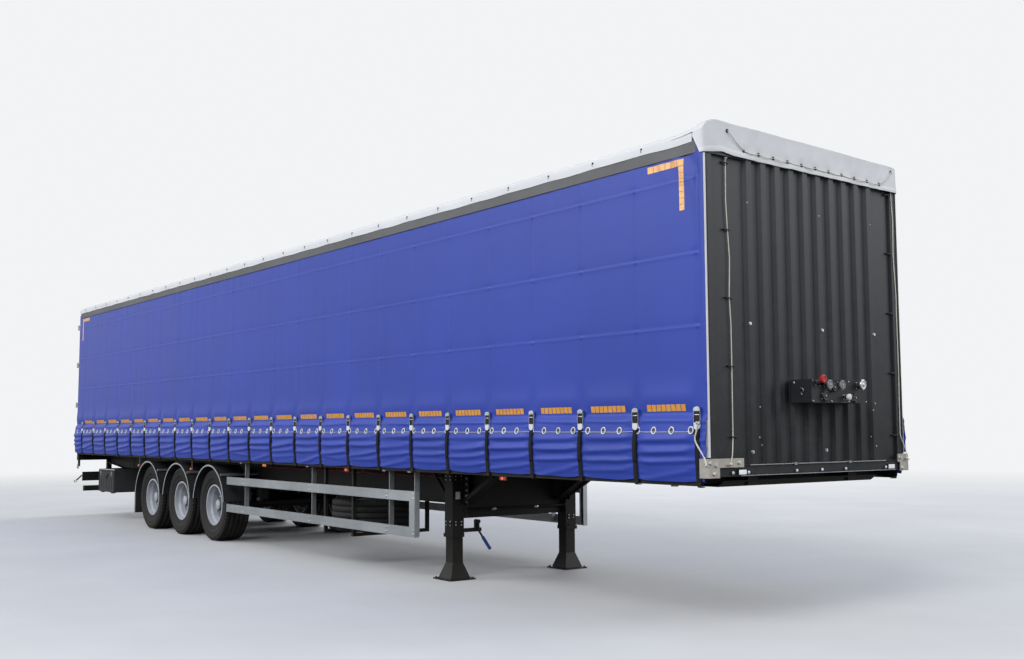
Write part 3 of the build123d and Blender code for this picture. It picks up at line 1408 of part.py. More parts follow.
def leg_bracing():
    """The plate between the legs and the braces fore and aft of each."""
    x = back(LEG_BACK)
    inner = LEG_Y - LEG_OUTER / 2
    half_plate = CROSS_PLATE_THICKNESS / 2
    beam_in = BEAM_SPACING / 2 - BEAM_FLANGE / 2
    outline = [
        (-inner, CROSS_PLATE_BOTTOM),
        (inner, CROSS_PLATE_BOTTOM),
        (inner, MAIN_BEAM_BOTTOM - SEAT_GAP),
        (beam_in - COPE_GAP, MAIN_BEAM_BOTTOM - SEAT_GAP),
        (beam_in - COPE_GAP, CROSS_PLATE_TOP),
        (-beam_in + COPE_GAP, CROSS_PLATE_TOP),
        (-beam_in + COPE_GAP, MAIN_BEAM_BOTTOM - SEAT_GAP),
        (-inner, MAIN_BEAM_BOTTOM - SEAT_GAP),
    ]
    pieces = [drawn_x(outline, x - half_plate, x + half_plate)]
    front = x + LEG_OUTER / 2
    rear = x - LEG_OUTER / 2
    brace_y = BEAM_SPACING / 2 + BEAM_FLANGE / 2 + BRACE_THICKNESS / 2
    leg = block((rear, front), (inner, inner + LEG_OUTER), (LEG_OUTER_BOTTOM, LEG_OUTER_TOP))
    plate_xs = (x - LEG_PLATE_LENGTH / 2, x + LEG_PLATE_LENGTH / 2)
    leg += block(plate_xs, (inner - LEG_PLATE, inner), (MAIN_BEAM_BOTTOM, LEG_OUTER_TOP))
    for lower, upper in BRACE_ENDS:
        start = (x + lower[0], brace_y, lower[1])
        end = (x + upper[0], brace_y, upper[1])
        pieces += both(flat_bar(start, end, BRACE_WIDTH, BRACE_THICKNESS) - leg)
    return pieces


def crank():
    """The stowed crank on its bar from the right leg."""
    x = back(LEG_BACK) + CRANK_AHEAD
    inner = -(LEG_Y - LEG_OUTER / 2)
    half = CRANK_BAR / 2
    bar_xs = (x - CRANK_BAR_SETBACK - CRANK_BAR, x - CRANK_BAR_SETBACK)
    bar = block(bar_xs, (inner, CRANK_BAR_END_Y), (CRANK_BAR_Z - half, CRANK_BAR_Z + half))
    top = (x, *CRANK_TOP)
    bend = (x, *CRANK_BEND)
    end = (x, *CRANK_END)
    grip_start = (x, (2 * CRANK_BEND[0] + CRANK_END[0]) / 3, (2 * CRANK_BEND[1] + CRANK_END[1]) / 3)
    handle = rod(top, bend, CRANK_RADIUS) + Pos(*bend) * Sphere(CRANK_RADIUS)
    handle += rod(bend, end, CRANK_RADIUS) + rod(grip_start, end, CRANK_GRIP_RADIUS)
    handle += rod((bar_xs[0], *CRANK_TOP), (x + CRANK_SHAFT_END, *CRANK_TOP), CRANK_RADIUS * 2)
    handle += block(bar_xs, (CRANK_TOP[0] - half, CRANK_TOP[0] + half), (CRANK_BAR_Z, CRANK_TOP[1]))
    return bar + handle


def spare_place():
    """Where the spare wheel's axis stands, halfway between two cross members."""
    return back(CROSS_FIRST + SPARE_BAY * CROSS_PITCH)


def spare_carrier():
    """Two hanging frames under neighbouring cross members, with the wheel on them."""
    pieces = []
    bar = CARRIER_BAR
    low = SPARE_BOTTOM - SEAT_GAP - bar
    top = FLOOR_UNDER - CROSS_HEIGHT
    for side in (-1, 1):
        x = spare_place() + side * CROSS_PITCH / 2
        xs = (x - bar / 2, x + bar / 2)
        frame = block(xs, (CARRIER_OUT, CARRIER_IN), (low, low + bar))
        frame += block(xs, (CARRIER_OUT, CARRIER_OUT + bar), (low, top))
        frame += block(xs, (CARRIER_IN - bar, CARRIER_IN), (low, top))
        pieces.append(frame)
    return pieces


def upright(part):
    """A wheel piece laid flat, its outer side down."""
    return Rot(-90, 0, 0) * part


LID_HINGE_Y = BOX_OUT + LID_THICKNESS + SEAT_GAP / 2
LID_HINGE_Z = BOX_BOTTOM - LID_HINGE_DROP


def lid_hinge_spans(on_lid):
    """The X spans of the lid's own knuckles, or of the case's knuckles either side."""
    spans = []
    for share in LID_HINGE_SHARES:
        middle = back(BOX_FRONT + share * BOX_LENGTH)
        half = LID_KNUCKLE / 6
        if on_lid:
            spans.append((middle - half, middle + half))
        else:
            spans.append((middle - 3 * half, middle - half - EAR_GAP))
            spans.append((middle + half + EAR_GAP, middle + 3 * half))
    return spans


def tool_box():
    """The open-fronted plastic case of the tool box."""
    xs = (back(BOX_FRONT + BOX_LENGTH), back(BOX_FRONT))
    ys = (BOX_OUT + LID_THICKNESS + SEAT_GAP, BOX_OUT + BOX_DEPTH)
    zs = (BOX_BOTTOM, BOX_BOTTOM + BOX_HEIGHT)
    case = block(xs, ys, zs)
    wall = BOX_WALL
    case -= block((xs[0] + wall, xs[1] - wall), (ys[0], ys[1] - wall), (zs[0] + wall, zs[1] - wall))
    for low, high in lid_hinge_spans(False):
        case += block((low, high), (ys[0], ys[0] + LID_KNUCKLE / 4), (LID_HINGE_Z, BOX_BOTTOM))
        case += rod((low, LID_HINGE_Y, LID_HINGE_Z), (high, LID_HINGE_Y, LID_HINGE_Z), LID_HINGE_RADIUS)
    for low, high in lid_hinge_spans(True):
        ends = (low - EAR_GAP * 2, high + EAR_GAP * 2)
        case += rod((ends[0], LID_HINGE_Y, LID_HINGE_Z), (ends[1], LID_HINGE_Y, LID_HINGE_Z), LID_PIN_RADIUS)
    return case


def tool_box_straps():
    """The steel straps that hang the tool box under the outriggers."""
    pieces = []
    for share in BOX_STRAP_SHARES:
        x = back(BOX_FRONT + share * BOX_LENGTH)
        xs = (x - BOX_STRAP_WIDTH / 2, x + BOX_STRAP_WIDTH / 2)
        ys = (BOX_OUT + LID_THICKNESS + BOX_STRAP_SETBACK, BOX_OUT + BOX_DEPTH + BOX_STRAP_THICKNESS)
        top = BOX_BOTTOM + BOX_HEIGHT
        band = block(xs, ys, (top, top + BOX_STRAP_THICKNESS))
        rear_ys = (BOX_OUT + BOX_DEPTH, BOX_OUT + BOX_DEPTH + BOX_STRAP_THICKNESS)
        band += block(xs, rear_ys, (BOX_BOTTOM, BOX_STRAP_TOP))
        pieces.append(band)
    return pieces


def tool_box_lid():
    """The drop-down front of the tool box with its hinge barrel and grip."""
    xs = (back(BOX_FRONT + BOX_LENGTH), back(BOX_FRONT))
    zs = (BOX_BOTTOM, BOX_BOTTOM + BOX_HEIGHT)
    lid = block(xs, (BOX_OUT, BOX_OUT + LID_THICKNESS), zs)
    middle = back(BOX_FRONT + BOX_LENGTH / 2)
    grip_xs = (middle - LID_GRIP_LENGTH / 2, middle + LID_GRIP_LENGTH / 2)
    grip_top = BOX_BOTTOM + BOX_HEIGHT * 0.8
    grip_ys = (BOX_OUT - LID_GRIP_DEPTH, BOX_OUT)
    lid += block(grip_xs, grip_ys, (grip_top - LID_GRIP_HEIGHT, grip_top))
    for low, high in lid_hinge_spans(True):
        lid += block((low, high), (BOX_OUT, LID_HINGE_Y), (LID_HINGE_Z, BOX_BOTTOM))
        lid += rod((low, LID_HINGE_Y, LID_HINGE_Z), (high, LID_HINGE_Y, LID_HINGE_Z), LID_HINGE_RADIUS)
    for low, high in lid_hinge_spans(True):
        bore = LID_PIN_RADIUS + RUNNING_FIT
        lid -= rod((low, LID_HINGE_Y, LID_HINGE_Z), (high, LID_HINGE_Y, LID_HINGE_Z), bore)
    return lid


def air_tanks():
    """Two air tanks slung from the cross members."""
    x0 = back(TANK_BACK)
    tank = rod((x0 - TANK_LENGTH, TANK_Y, TANK_Z), (x0, TANK_Y, TANK_Z), TANK_RADIUS)
    half = TANK_STRAP_WIDTH / 2
    for number in TANK_MEMBERS:
        x = back(CROSS_FIRST + number * CROSS_PITCH)
        ends = (x - half, x + half)
        band_radius = TANK_RADIUS + TANK_STRAP_THICKNESS
        tank += rod((ends[0], TANK_Y, TANK_Z), (ends[1], TANK_Y, TANK_Z), band_radius)
        tank += block(ends, (TANK_Y - half, TANK_Y + half), (TANK_Z, FLOOR_UNDER - CROSS_HEIGHT))
    return both(tank)


def underrun():
    """The rear underrun bar, the lamp board over it and the posts that hang both."""
    x0 = REAR_X + UNDERRUN_SETBACK
    x1 = x0 + UNDERRUN_DEPTH
    top = UNDERRUN_BOTTOM + UNDERRUN_HEIGHT
    bar = block((x0, x1), (-UNDERRUN_HALF, UNDERRUN_HALF), (UNDERRUN_BOTTOM, top))
    board_ys = (-LAMP_BOARD_HALF, LAMP_BOARD_HALF)
    bar += block((x1 - LAMP_BOARD_THICKNESS, x1), board_ys, (LAMP_BOARD_BOTTOM, LAMP_BOARD_TOP))
    for side in (-1, 1):
        middle = side * BEAM_SPACING / 2
        ys = (middle - UNDERRUN_POST / 2, middle + UNDERRUN_POST / 2)
        bar += block((x1 - UNDERRUN_POST_DEPTH, x1), ys, (UNDERRUN_BOTTOM, REAR_POST_BOTTOM))
    return bar


def rear_lamps():
    """The lamp cluster on each end of the lamp board."""
    x1 = REAR_X + UNDERRUN_SETBACK + UNDERRUN_DEPTH - LAMP_BOARD_THICKNESS
    middle = (LAMP_BOARD_BOTTOM + LAMP_BOARD_TOP) / 2
    zs = (middle - REAR_LAMP_HEIGHT / 2, middle + REAR_LAMP_HEIGHT / 2)
    return both(block((x1 - REAR_LAMP_DEPTH, x1), (REAR_LAMP_OUT - REAR_LAMP_LENGTH, REAR_LAMP_OUT), zs))


def marker_arm():
    """The left rubber arm with a marker lamp at its tip."""
    x = REAR_X + UNDERRUN_SETBACK + UNDERRUN_DEPTH - LAMP_BOARD_THICKNESS / 2
    root_y = LAMP_BOARD_HALF + 0.7 * MARKER_ARM_RADIUS
    start = (x, root_y, (LAMP_BOARD_BOTTOM + LAMP_BOARD_TOP) / 2 + MARKER_ARM_RISE)
    tip = (x, *MARKER_ARM_TIP)
    arm = rod(start, tip, MARKER_ARM_RADIUS)
    half = MARKER_LAMP_DEPTH / 2
    return arm + rod((x - half, *MARKER_ARM_TIP), (x + half, *MARKER_ARM_TIP), MARKER_LAMP_RADIUS)


def side_lamps():
    """The marker lamps under each rave."""
    out = STRUCTURE_HALF
    inner = out - SIDE_LAMP_DEPTH
    pieces = []
    for distance, height in SIDE_LAMPS:
        x = back(distance)
        xs = (x - SIDE_LAMP_LENGTH / 2, x + SIDE_LAMP_LENGTH / 2)
        lamp = block(xs, (inner, out), (height - SIDE_LAMP_HEIGHT / 2, height + SIDE_LAMP_HEIGHT / 2))
        bracket_xs = (x - SIDE_LAMP_HEIGHT / 2, x + SIDE_LAMP_HEIGHT / 2)
        lamp += block(bracket_xs, (inner, inner + SIDE_LAMP_BRACKET), (height, RAVE_BOTTOM))
        pieces += both(lamp)
    return pieces


def front_lamps():
    """The two position lamps on the front sill."""
    x = FRONT_X
    tip = x + FRONT_LAMP_DEPTH
    zs = (FRONT_LAMP_Z - FRONT_LAMP_HEIGHT / 2, FRONT_LAMP_Z + FRONT_LAMP_HEIGHT / 2)
    half = FRONT_LAMP_WIDTH / 2
    return [block((x, tip), (y - half, y + half), zs) for y in FRONT_LAMP_YS]


def tensioner():
    """The left curtain tensioner with its ratchet wheel, on the rear post's side."""
    x = back(TENSIONER_BACK)
    xs = (x - TENSIONER_WIDTH / 2, x + TENSIONER_WIDTH / 2)
    ys = (REAR_POST_OUT, REAR_POST_OUT + TENSIONER_DEPTH)
    body = block(xs, ys, (TENSIONER_BOTTOM, TENSIONER_TOP))
    y = ys[1]
    return body + rod((x, y, RATCHET_Z), (x, y + RATCHET_THICKNESS, RATCHET_Z), RATCHET_RADIUS)


def front_cord(wall_x, foot, rise):
    """A cord that comes down the wall and bends out over its corner plate."""
    plate_x = FRONT_X + FRONT_SILL_REACH + SEAT_GAP + CORNER_PLATE_THICKNESS
    foot_x = plate_x + SEAT_GAP + CORD_RADIUS
    points = [(foot_x, y, z) for z, y in foot]
    points += [(wall_x, y, z) for z, y in rise]
    path = FilletPolyline(*points, radius=CORD_BEND_RADIUS)
    start = Plane(origin=path @ 0, z_dir=path % 0)
    return sweep(start * Circle(CORD_RADIUS), path=path)


def front_cords():
    """The cords that hang from the roof cap to the corner plates, one each side."""
    right_x = FRONT_X - RIB_DEPTH + HOOK_DEPTH + SEAT_GAP + CORD_RADIUS
    left_x = FRONT_X - FRONT_POST_SETBACK + SEAT_GAP + CORD_RADIUS
    right = front_cord(right_x, RIGHT_CORD_FOOT, RIGHT_CORD_POINTS)
    left = front_cord(left_x, LEFT_CORD_FOOT, LEFT_CORD_POINTS)
    return [right, left]


def tie_rope():
    """The rope that ties the right curtain's front edge down to the corner plate."""
    points = [(back(behind), -(CURTAIN_OUT + out), z) for behind, out, z in TIE_POINTS]
    path = FilletPolyline(*points, radius=TIE_BEND_RADIUS)
    start = Plane(origin=path @ 0, z_dir=path % 0)
    return sweep(start * Circle(TIE_RADIUS), path=path)


def save(name, pieces):
    """Write one node: each piece is a solid of its own."""
    solids = [solid for piece in pieces for solid in piece.solids()]
    shape = solids[0] if len(solids) == 1 else Compound(solids)
    export_step(shape, f"parts/{name}.step")


def wheel_nodes():
    """Each tyre and wheel at its place, by side and axle."""
    ring = tyre()
    disc = wheel()
    for number, distance in enumerate(AXLE_BACKS, start=1):
        place = Pos(back(distance), TRACK / 2, HUB_HEIGHT)
        save(f"tyre_left_{number}", [place * ring])
        save(f"wheel_left_{number}", [place * disc])
        save(f"tyre_right_{number}", [mirrored(place * ring)])
        save(f"wheel_right_{number}", [mirrored(place * disc)])
    spare = Pos(spare_place(), SPARE_Y, SPARE_BOTTOM + TYRE_WIDTH / 2)
    save("spare_tyre", [spare * upright(ring)])
    save("spare_rim", [spare * upright(disc_wheel())])


def main():
    """Build every node of the trailer."""
    os.makedirs("parts", exist_ok=True)
    save("main_beams", both(main_beam()))
    save("cross_members", cross_members())
    save("side_raves", both(side_rave()))
    save("floor", [floor_boards()])
    save("coupler_plate", [coupler_plate()])
    save("king_pin", [king_pin()])
    save("front_wall", [front_wall()])
    save("front_frame", [front_frame()])
    save("corner_trims", both(corner_trim()))
    right_plate = mirrored(corner_plate(RIGHT_CORNER_PLATE_IN))
    save("corner_plates", [corner_plate(LEFT_CORNER_PLATE_IN), right_plate])
    save("socket_console", [socket_console()])
    save("couplings", couplings())
    save("roof_rails", both(roof_rail()))
    save("roof_bows", roof_bows())
    save("roof_tarp", [roof_tarp()])
    save("front_cap", [front_cap()])
    save("curtain_left", [curtain()])
    save("curtain_right", [mirrored(curtain())])
    fasteners = straps() + [tensioner()]
    save("straps_left", fasteners)
    save("straps_right", [mirrored(piece) for piece in fasteners])
    save("side_pillars", side_pillars())
    save("rear_posts", rear_posts())
    save("rear_frame", rear_frame())
    save("door_left", [door()])
    save("door_right", [mirrored(door())])
    gear = lock_rods() + hinge_straps()
    save("door_gear_left", gear)
    save("door_gear_right", [mirrored(piece) for piece in gear])
    lugs = hinge_lugs() + keepers()
    save("hinge_lugs", lugs + [mirrored(piece) for piece in lugs])
    wheel_nodes()
    save("axles", axles() + brake_chambers())
    save("suspension_arms", trailing_arms() + hangers())
    save("air_springs", air_springs())
    save("mudguards", mudguards() + mudflaps())
    save("mudguard_stays", mudguard_stays())
    save("side_guards", [solid for piece in side_guard() for solid in both(piece)])
    save("side_guard_posts", side_guard_posts())
    save("landing_legs", both(leg_outer()) + both(leg_inner()))
    save("leg_bracing", leg_bracing() + [crank()])
    save("hanging_frames", spare_carrier() + tool_box_straps())
    save("tool_box", [tool_box()])
    save("tool_box_lid", [tool_box_lid()])
    save("air_tanks", air_tanks())
    save("underrun", [underrun()])
    save("rear_lamps", rear_lamps() + both(marker_arm()))
    save("marker_lamps", side_lamps() + front_lamps())
    save("front_cords", front_cords())
    save("tie_rope", [tie_rope()])


main()
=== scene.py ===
from math import cos, exp, floor, pi, radians, sin

import bmesh
import bpy
from bpy.props import FloatProperty, FloatVectorProperty, PointerProperty
from mathutils import Matrix, Vector, noise


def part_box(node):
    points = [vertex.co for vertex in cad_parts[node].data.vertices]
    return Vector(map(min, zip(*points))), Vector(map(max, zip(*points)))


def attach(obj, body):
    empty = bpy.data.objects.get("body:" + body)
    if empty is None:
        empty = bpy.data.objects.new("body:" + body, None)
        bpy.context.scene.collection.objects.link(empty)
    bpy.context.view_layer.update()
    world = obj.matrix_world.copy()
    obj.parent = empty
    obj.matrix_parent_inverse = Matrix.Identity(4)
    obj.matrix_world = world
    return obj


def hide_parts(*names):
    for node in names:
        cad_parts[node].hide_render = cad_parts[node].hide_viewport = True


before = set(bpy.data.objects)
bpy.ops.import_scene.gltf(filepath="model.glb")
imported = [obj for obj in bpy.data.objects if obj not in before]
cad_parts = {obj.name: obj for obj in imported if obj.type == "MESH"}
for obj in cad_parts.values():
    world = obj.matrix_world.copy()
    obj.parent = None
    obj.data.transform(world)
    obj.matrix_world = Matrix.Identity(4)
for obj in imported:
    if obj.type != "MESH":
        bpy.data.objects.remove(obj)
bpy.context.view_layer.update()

bl_info = {
    "name": "Curtain-sided semi-trailer",
    "version": (1, 0, 0),
    "blender": (4, 5, 0),
    "location": "3D View > Sidebar > Trailer",
    "description": "Dresses the CAD frame of a curtain-sided semi-trailer",
    "category": "Object",
}

# Places read from the CAD frame, in metres
FRONT_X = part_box("front_wall")[1][0]
REAR_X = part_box("door_left")[0][0]
SIDE_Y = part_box("roof_rails")[1][1]
SHEET_Y = SIDE_Y - 0.0085
RAVE_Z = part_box("side_raves")[0][2]
HUB_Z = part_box("tyre_left_1")[1][2] / 2
TYRE_RADIUS = HUB_Z
TRACK_HALF = 1.02
SIDES = (("left", 1), ("right", -1))
AXLE_XS = [(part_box(f"tyre_left_{n}")[0][0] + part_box(f"tyre_left_{n}")[1][0]) / 2 for n in (1, 2, 3)]
WHEEL_Y = (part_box("tyre_left_1")[0][1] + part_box("tyre_left_1")[1][1]) / 2

BACKDROP = "#F2F3F5"

# The curtain and what holds it down; distances run back from the front wall
STRAP_FIRST = 0.108
STRAP_PITCH = 0.703
STRAP_COUNT = 24
CURTAIN_FRONT = 0.004
TRIM_BACK = 0.0405
TRIM_LOW = 1.392
TRIM_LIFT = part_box("corner_trims")[1][1] + 0.0015 - SHEET_Y
CURTAIN_REAR = FRONT_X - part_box("curtain_left")[0][0]
CURTAIN_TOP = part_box("curtain_left")[1][2]
CURTAIN_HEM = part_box("curtain_left")[0][2]
SKIRT_TOP = 1.74
BUCKLE_LOW = 1.606
BUCKLE_TOP = 1.788
SEAM_HEIGHTS = (3.612, 3.005, 2.42)
# Folds of the skirt: height of the crest, how far it runs out above, how far it stands out
FOLDS = (
    (1.682, 0.030, 0.013), (1.532, 0.042, 0.020), (1.432, 0.036, 0.019), (1.345, 0.027, 0.016),
    (1.262, 0.027, 0.010)
)
EYELET_Z = 1.602
EYELET_FIRST = 0.171
EYELET_PITCH = 0.2045
HOOK_PITCH = 0.624

# Cord hooks of the front wall: height, right cord's place, left cord's place
CORD_HOOKS = (
    (1.55, -0.973, 1.158), (2.11, -0.989, 1.158), (2.655, -1.0, 1.158), (3.205, -1.011, 1.158),
    (3.75, -1.014, 1.152),
)
# Ends of each cord: sideways place and height of its foot on the corner plate, then of its top
CORD_ENDS = ((-1.063, 1.337, -1.004, 3.79), (1.264, 1.345, 1.195, 3.79))
WALL_VALLEY = FRONT_X - 0.03


def linear(hexed):
    """A linear colour from an sRGB hex value."""
    parts = [int(hexed[i:i + 2], 16) / 255 for i in (1, 3, 5)]
    return tuple(p / 12.92 if p <= 0.04045 else ((p + 0.055) / 1.055) ** 2.4 for p in parts)


def rgba(colour):
    """A hex value or a linear colour with full alpha, as a socket takes it."""
    return (*(linear(colour) if isinstance(colour, str) else colour), 1.0)


def back(distance):
    """X of a place this far behind the front wall."""
    return FRONT_X - distance


# Shader building

def add_node(tree, kind, settings=None, links=None):
    """Adds one node, sets its sockets or attributes, and links its inputs."""
    made = tree.nodes.new(kind)
    for name, value in (settings or {}).items():
        if isinstance(name, int) or name in made.inputs:
            made.inputs[name].default_value = value
        else:
            setattr(made, name, value)
    for name, source in (links or {}).items():
        tree.links.new(source, made.inputs[name])
    return made


def start_material(name, settings):
    """A material with its shader and the object coordinates its patterns use."""
    material = bpy.data.materials.new(name)
    material.use_nodes = True
    tree = material.node_tree
    shader = tree.nodes["Principled BSDF"]
    for socket, value in settings.items():
        shader.inputs[socket].default_value = value
    place = add_node(tree, "ShaderNodeTexCoord").outputs["Object"]
    return material, tree, shader, place


def mottled(tree, shader, place, colours, size, roughness, detail=6.0):
    """Clouds of two colours, and of two roughnesses, about size metres across."""
    cloud = add_node(
        tree, "ShaderNodeTexNoise", {"Scale": 1 / size, "Detail": detail, "Roughness": 0.6},
        {"Vector": place}
    )
    ramp = add_node(tree, "ShaderNodeValToRGB", None, {"Fac": cloud.outputs["Fac"]})
    ramp.color_ramp.elements[0].position = 0.35
    ramp.color_ramp.elements[0].color = rgba(colours[0])
    ramp.color_ramp.elements[1].position = 0.68
    ramp.color_ramp.elements[1].color = rgba(colours[1])
    spread = add_node(
        tree, "ShaderNodeMapRange", {"To Min": roughness[0], "To Max": roughness[1]},
        {"Value": cloud.outputs["Fac"]}
    )
    tree.links.new(ramp.outputs["Color"], shader.inputs["Base Color"])
    tree.links.new(spread.outputs["Result"], shader.inputs["Roughness"])
    return cloud, ramp


def bumped(tree, shader, height, depth, strength=1.0):
    """A bump depth metres deep from a 0 to 1 height."""
    bump = add_node(tree, "ShaderNodeBump", {"Strength": strength, "Distance": depth}, {"Height": height})
    tree.links.new(bump.outputs["Normal"], shader.inputs["Normal"])
    return bump


def combined(tree, operation, first, second):
    """The product, maximum or other sum of two values."""
    made = add_node(tree, "ShaderNodeMath", {"operation": operation}, {0: first, 1: second})
    return made.outputs[0]


def tinted(tree, shader, share, colour):
    """Mixes the base colour towards another one by a share."""
    before = shader.inputs["Base Color"].links[0].from_socket
    mix = add_node(tree, "ShaderNodeMix", {"data_type": "RGBA"}, {0: share, 6: before})
    mix.inputs[7].default_value = rgba(colour)
    tree.links.new(mix.outputs[2], shader.inputs["Base Color"])


def low_dust_and_shade(tree, shader, place, top, colour, amount):
    """A colour that fades out from the ground up to a height: pale dust on most finishes, painted shade on
    the front wall.
    """
    split = add_node(tree, "ShaderNodeSeparateXYZ", None, {"Vector": place})
    height = add_node(
        tree, "ShaderNodeMapRange", {"From Min": top, "From Max": 0.0, "To Min": 0.0, "To Max": amount},
        {"Value": split.outputs["Z"]},
    )
    speck = add_node(
        tree, "ShaderNodeTexNoise", {"Scale": 9.0, "Detail": 8.0, "Roughness": 0.7}, {"Vector": place}
    )
    share = combined(tree, "MULTIPLY", height.outputs["Result"], speck.outputs["Fac"])
    tinted(tree, shader, share, colour)


def tarpaulin(name, colours, roughness, warp):
    """PVC-coated polyester tarpaulin: lacquered, with the base cloth's weave faintly through it.

    The real threads lie about 1 mm apart, too fine for the picture, so the
    weave is drawn warp metres apart.
    """
    material, tree, shader, place = start_material(name, {"IOR": 1.5, "Specular IOR Level": 0.25})
    mottled(tree, shader, place, colours, 1.3, roughness)
    weave = []
    for direction in ("X", "Z"):
        wave = add_node(
            tree, "ShaderNodeTexWave",
            {
                "wave_type": "BANDS", "bands_direction": direction, "Scale": 1 / (warp * 20) * 6.283,
                "Distortion": 0.2
            },
            {"Vector": place},
        )
        weave.append(wave.outputs["Fac"])
    bumped(tree, shader, combined(tree, "MULTIPLY", *weave), 0.0004, 0.25)
    return material


def enamel(name, colours, roughness, size=0.6, dust=None):
    """Sprayed enamel over steel: an even satin film with a slight orange peel."""
    material, tree, shader, place = start_material(name, {"IOR": 1.5, "Specular IOR Level": 0.28})
    mottled(tree, shader, place, colours, size, roughness)
    # Orange peel is 2 to 4 mm across on sprayed chassis parts
    peel = add_node(tree, "ShaderNodeTexNoise", {"Scale": 320.0, "Detail": 2.0}, {"Vector": place})
    bumped(tree, shader, peel.outputs["Fac"], 0.0003, 0.3)
    # The dust argument gives pale dust on most parts; on the front wall it gives near-black painted shade
    if dust:
        low_dust_and_shade(tree, shader, place, *dust)
    return material


def painted_hub_shade(material):
    """Painted shade over the middle of a wheel, where the deep dish lies in shadow, thinning out towards
    its rim.
    """
    tree = material.node_tree
    shader = tree.nodes["Principled BSDF"]
    place = add_node(tree, "ShaderNodeTexCoord").outputs["Generated"]
    centred = add_node(
        tree, "ShaderNodeVectorMath", {
            "operation": "MULTIPLY_ADD", 1: (1.0, 0.0, 1.0), 2: (-0.5, 0.0, -0.5)
        }, {0: place}
    )
    radius = add_node(tree, "ShaderNodeVectorMath", {"operation": "LENGTH"}, {0: centred.outputs["Vector"]})
    share = add_node(
        tree, "ShaderNodeMapRange", {
            "interpolation_type": "SMOOTHSTEP", "From Min": 0.42, "From Max": 0.31, "To Max": 0.82
        },
        {"Value": radius.outputs["Value"]}
    )
    # Near-black #262627 is painted shade for the dish's shadowed hollow
    tinted(tree, shader, share.outputs["Result"], "#262627")


def roof_soot(material):
    """Soot that settles on the cloth's upward faces and washes off its sides."""
    tree = material.node_tree
    shader = tree.nodes["Principled BSDF"]
    normal = add_node(tree, "ShaderNodeNewGeometry").outputs["Normal"]
    split = add_node(tree, "ShaderNodeSeparateXYZ", None, {"Vector": normal})
    share = add_node(
        tree, "ShaderNodeMapRange", {"From Min": 0.55, "From Max": 0.95, "To Max": 0.7},
        {"Value": split.outputs["Z"]}
    )
    tinted(tree, shader, share.outputs["Result"], "#8E9194")


def galvanised_steel(name, colours):
    """Hot-dip galvanised steel: flat grey crystals about 12 mm across with dull and bright faces."""
    material, tree, shader, place = start_material(name, {"Metallic": 0.85})
    mottled(tree, shader, place, colours, 0.25, (0.42, 0.6))
    flake = add_node(tree, "ShaderNodeTexVoronoi", {"Scale": 80.0, "feature": "F1"}, {"Vector": place})
    split = add_node(tree, "ShaderNodeSeparateColor", None, {"Color": flake.outputs["Color"]})
    spread = add_node(
        tree, "ShaderNodeMapRange", {"To Min": 0.38, "To Max": 0.62}, {"Value": split.outputs["Red"]}
    )
    tree.links.new(spread.outputs["Result"], shader.inputs["Roughness"])
    bumped(tree, shader, flake.outputs["Distance"], 0.0002, 0.3)
    return material


def extruded_aluminium(name, colours, roughness):
    """Mill-finish extruded aluminium: fine die lines along the length, slightly oxidised."""
    material, tree, shader, place = start_material(name, {"Metallic": 0.9})
    mottled(tree, shader, place, colours, 0.5, roughness)
    long = add_node(tree, "ShaderNodeMapping", {"Scale": (0.6, 60.0, 60.0)}, {"Vector": place})
    lines = add_node(
        tree, "ShaderNodeTexNoise", {"Scale": 5.0, "Detail": 4.0}, {"Vector": long.outputs["Vector"]}
    )
    bumped(tree, shader, lines.outputs["Fac"], 0.0004, 0.4)
    return material


def moulded_plastic(name, colours, roughness, grain=0.004, depth=0.0004):
    """Rotation-moulded polyethylene or ABS: matt, with a leathery grain from the mould."""
    material, tree, shader, place = start_material(name, {"IOR": 1.5, "Specular IOR Level": 0.4})
    mottled(tree, shader, place, colours, 0.35, roughness)
    leather = add_node(
        tree, "ShaderNodeTexVoronoi", {"Scale": 1 / grain, "feature": "SMOOTH_F1"}, {"Vector": place}
    )
    bumped(tree, shader, leather.outputs["Distance"], depth, 0.5)
    return material


def tyre_rubber(name):
    """Vulcanised tyre rubber: matt carbon black with a bloom of road dust."""
    material, tree, shader, place = start_material(name, {"IOR": 1.52, "Specular IOR Level": 0.3})
    mottled(tree, shader, place, ("#121314", "#1E1F20"), 0.16, (0.72, 0.9))
    grit = add_node(tree, "ShaderNodeTexNoise", {"Scale": 420.0, "Detail": 3.0}, {"Vector": place})
    bumped(tree, shader, grit.outputs["Fac"], 0.0006, 0.5)
    low_dust_and_shade(tree, shader, place, 0.9, "#5A5650", 0.25)
    return material


def webbing(name, colours):
    """Woven polyester webbing: ribs 2 mm apart across the width, matt, soiled."""
    material, tree, shader, place = start_material(name, {"IOR": 1.5, "Specular IOR Level": 0.25})
    mottled(tree, shader, place, colours, 0.08, (0.75, 0.92))
    ribs = add_node(
        tree, "ShaderNodeTexWave", {
            "wave_type": "BANDS", "bands_direction": "Z", "Scale": 80.0, "Distortion": 0.4
        },
        {"Vector": place},
    )
    bumped(tree, shader, ribs.outputs["Fac"], 0.0006, 0.6)
    return material


def braid(name, colours):
    """Braided polyester cord: strands cross every 6 mm."""
    material, tree, shader, place = start_material(name, {"IOR": 1.5, "Specular IOR Level": 0.25})
    mottled(tree, shader, place, colours, 0.05, (0.7, 0.88))
    cross = add_node(
        tree, "ShaderNodeTexWave",
        {"wave_type": "BANDS", "bands_direction": "DIAGONAL", "Scale": 50.0, "Distortion": 1.0},
        {"Vector": place},
    )
    bumped(tree, shader, cross.outputs["Fac"], 0.0012, 0.8)
    return material


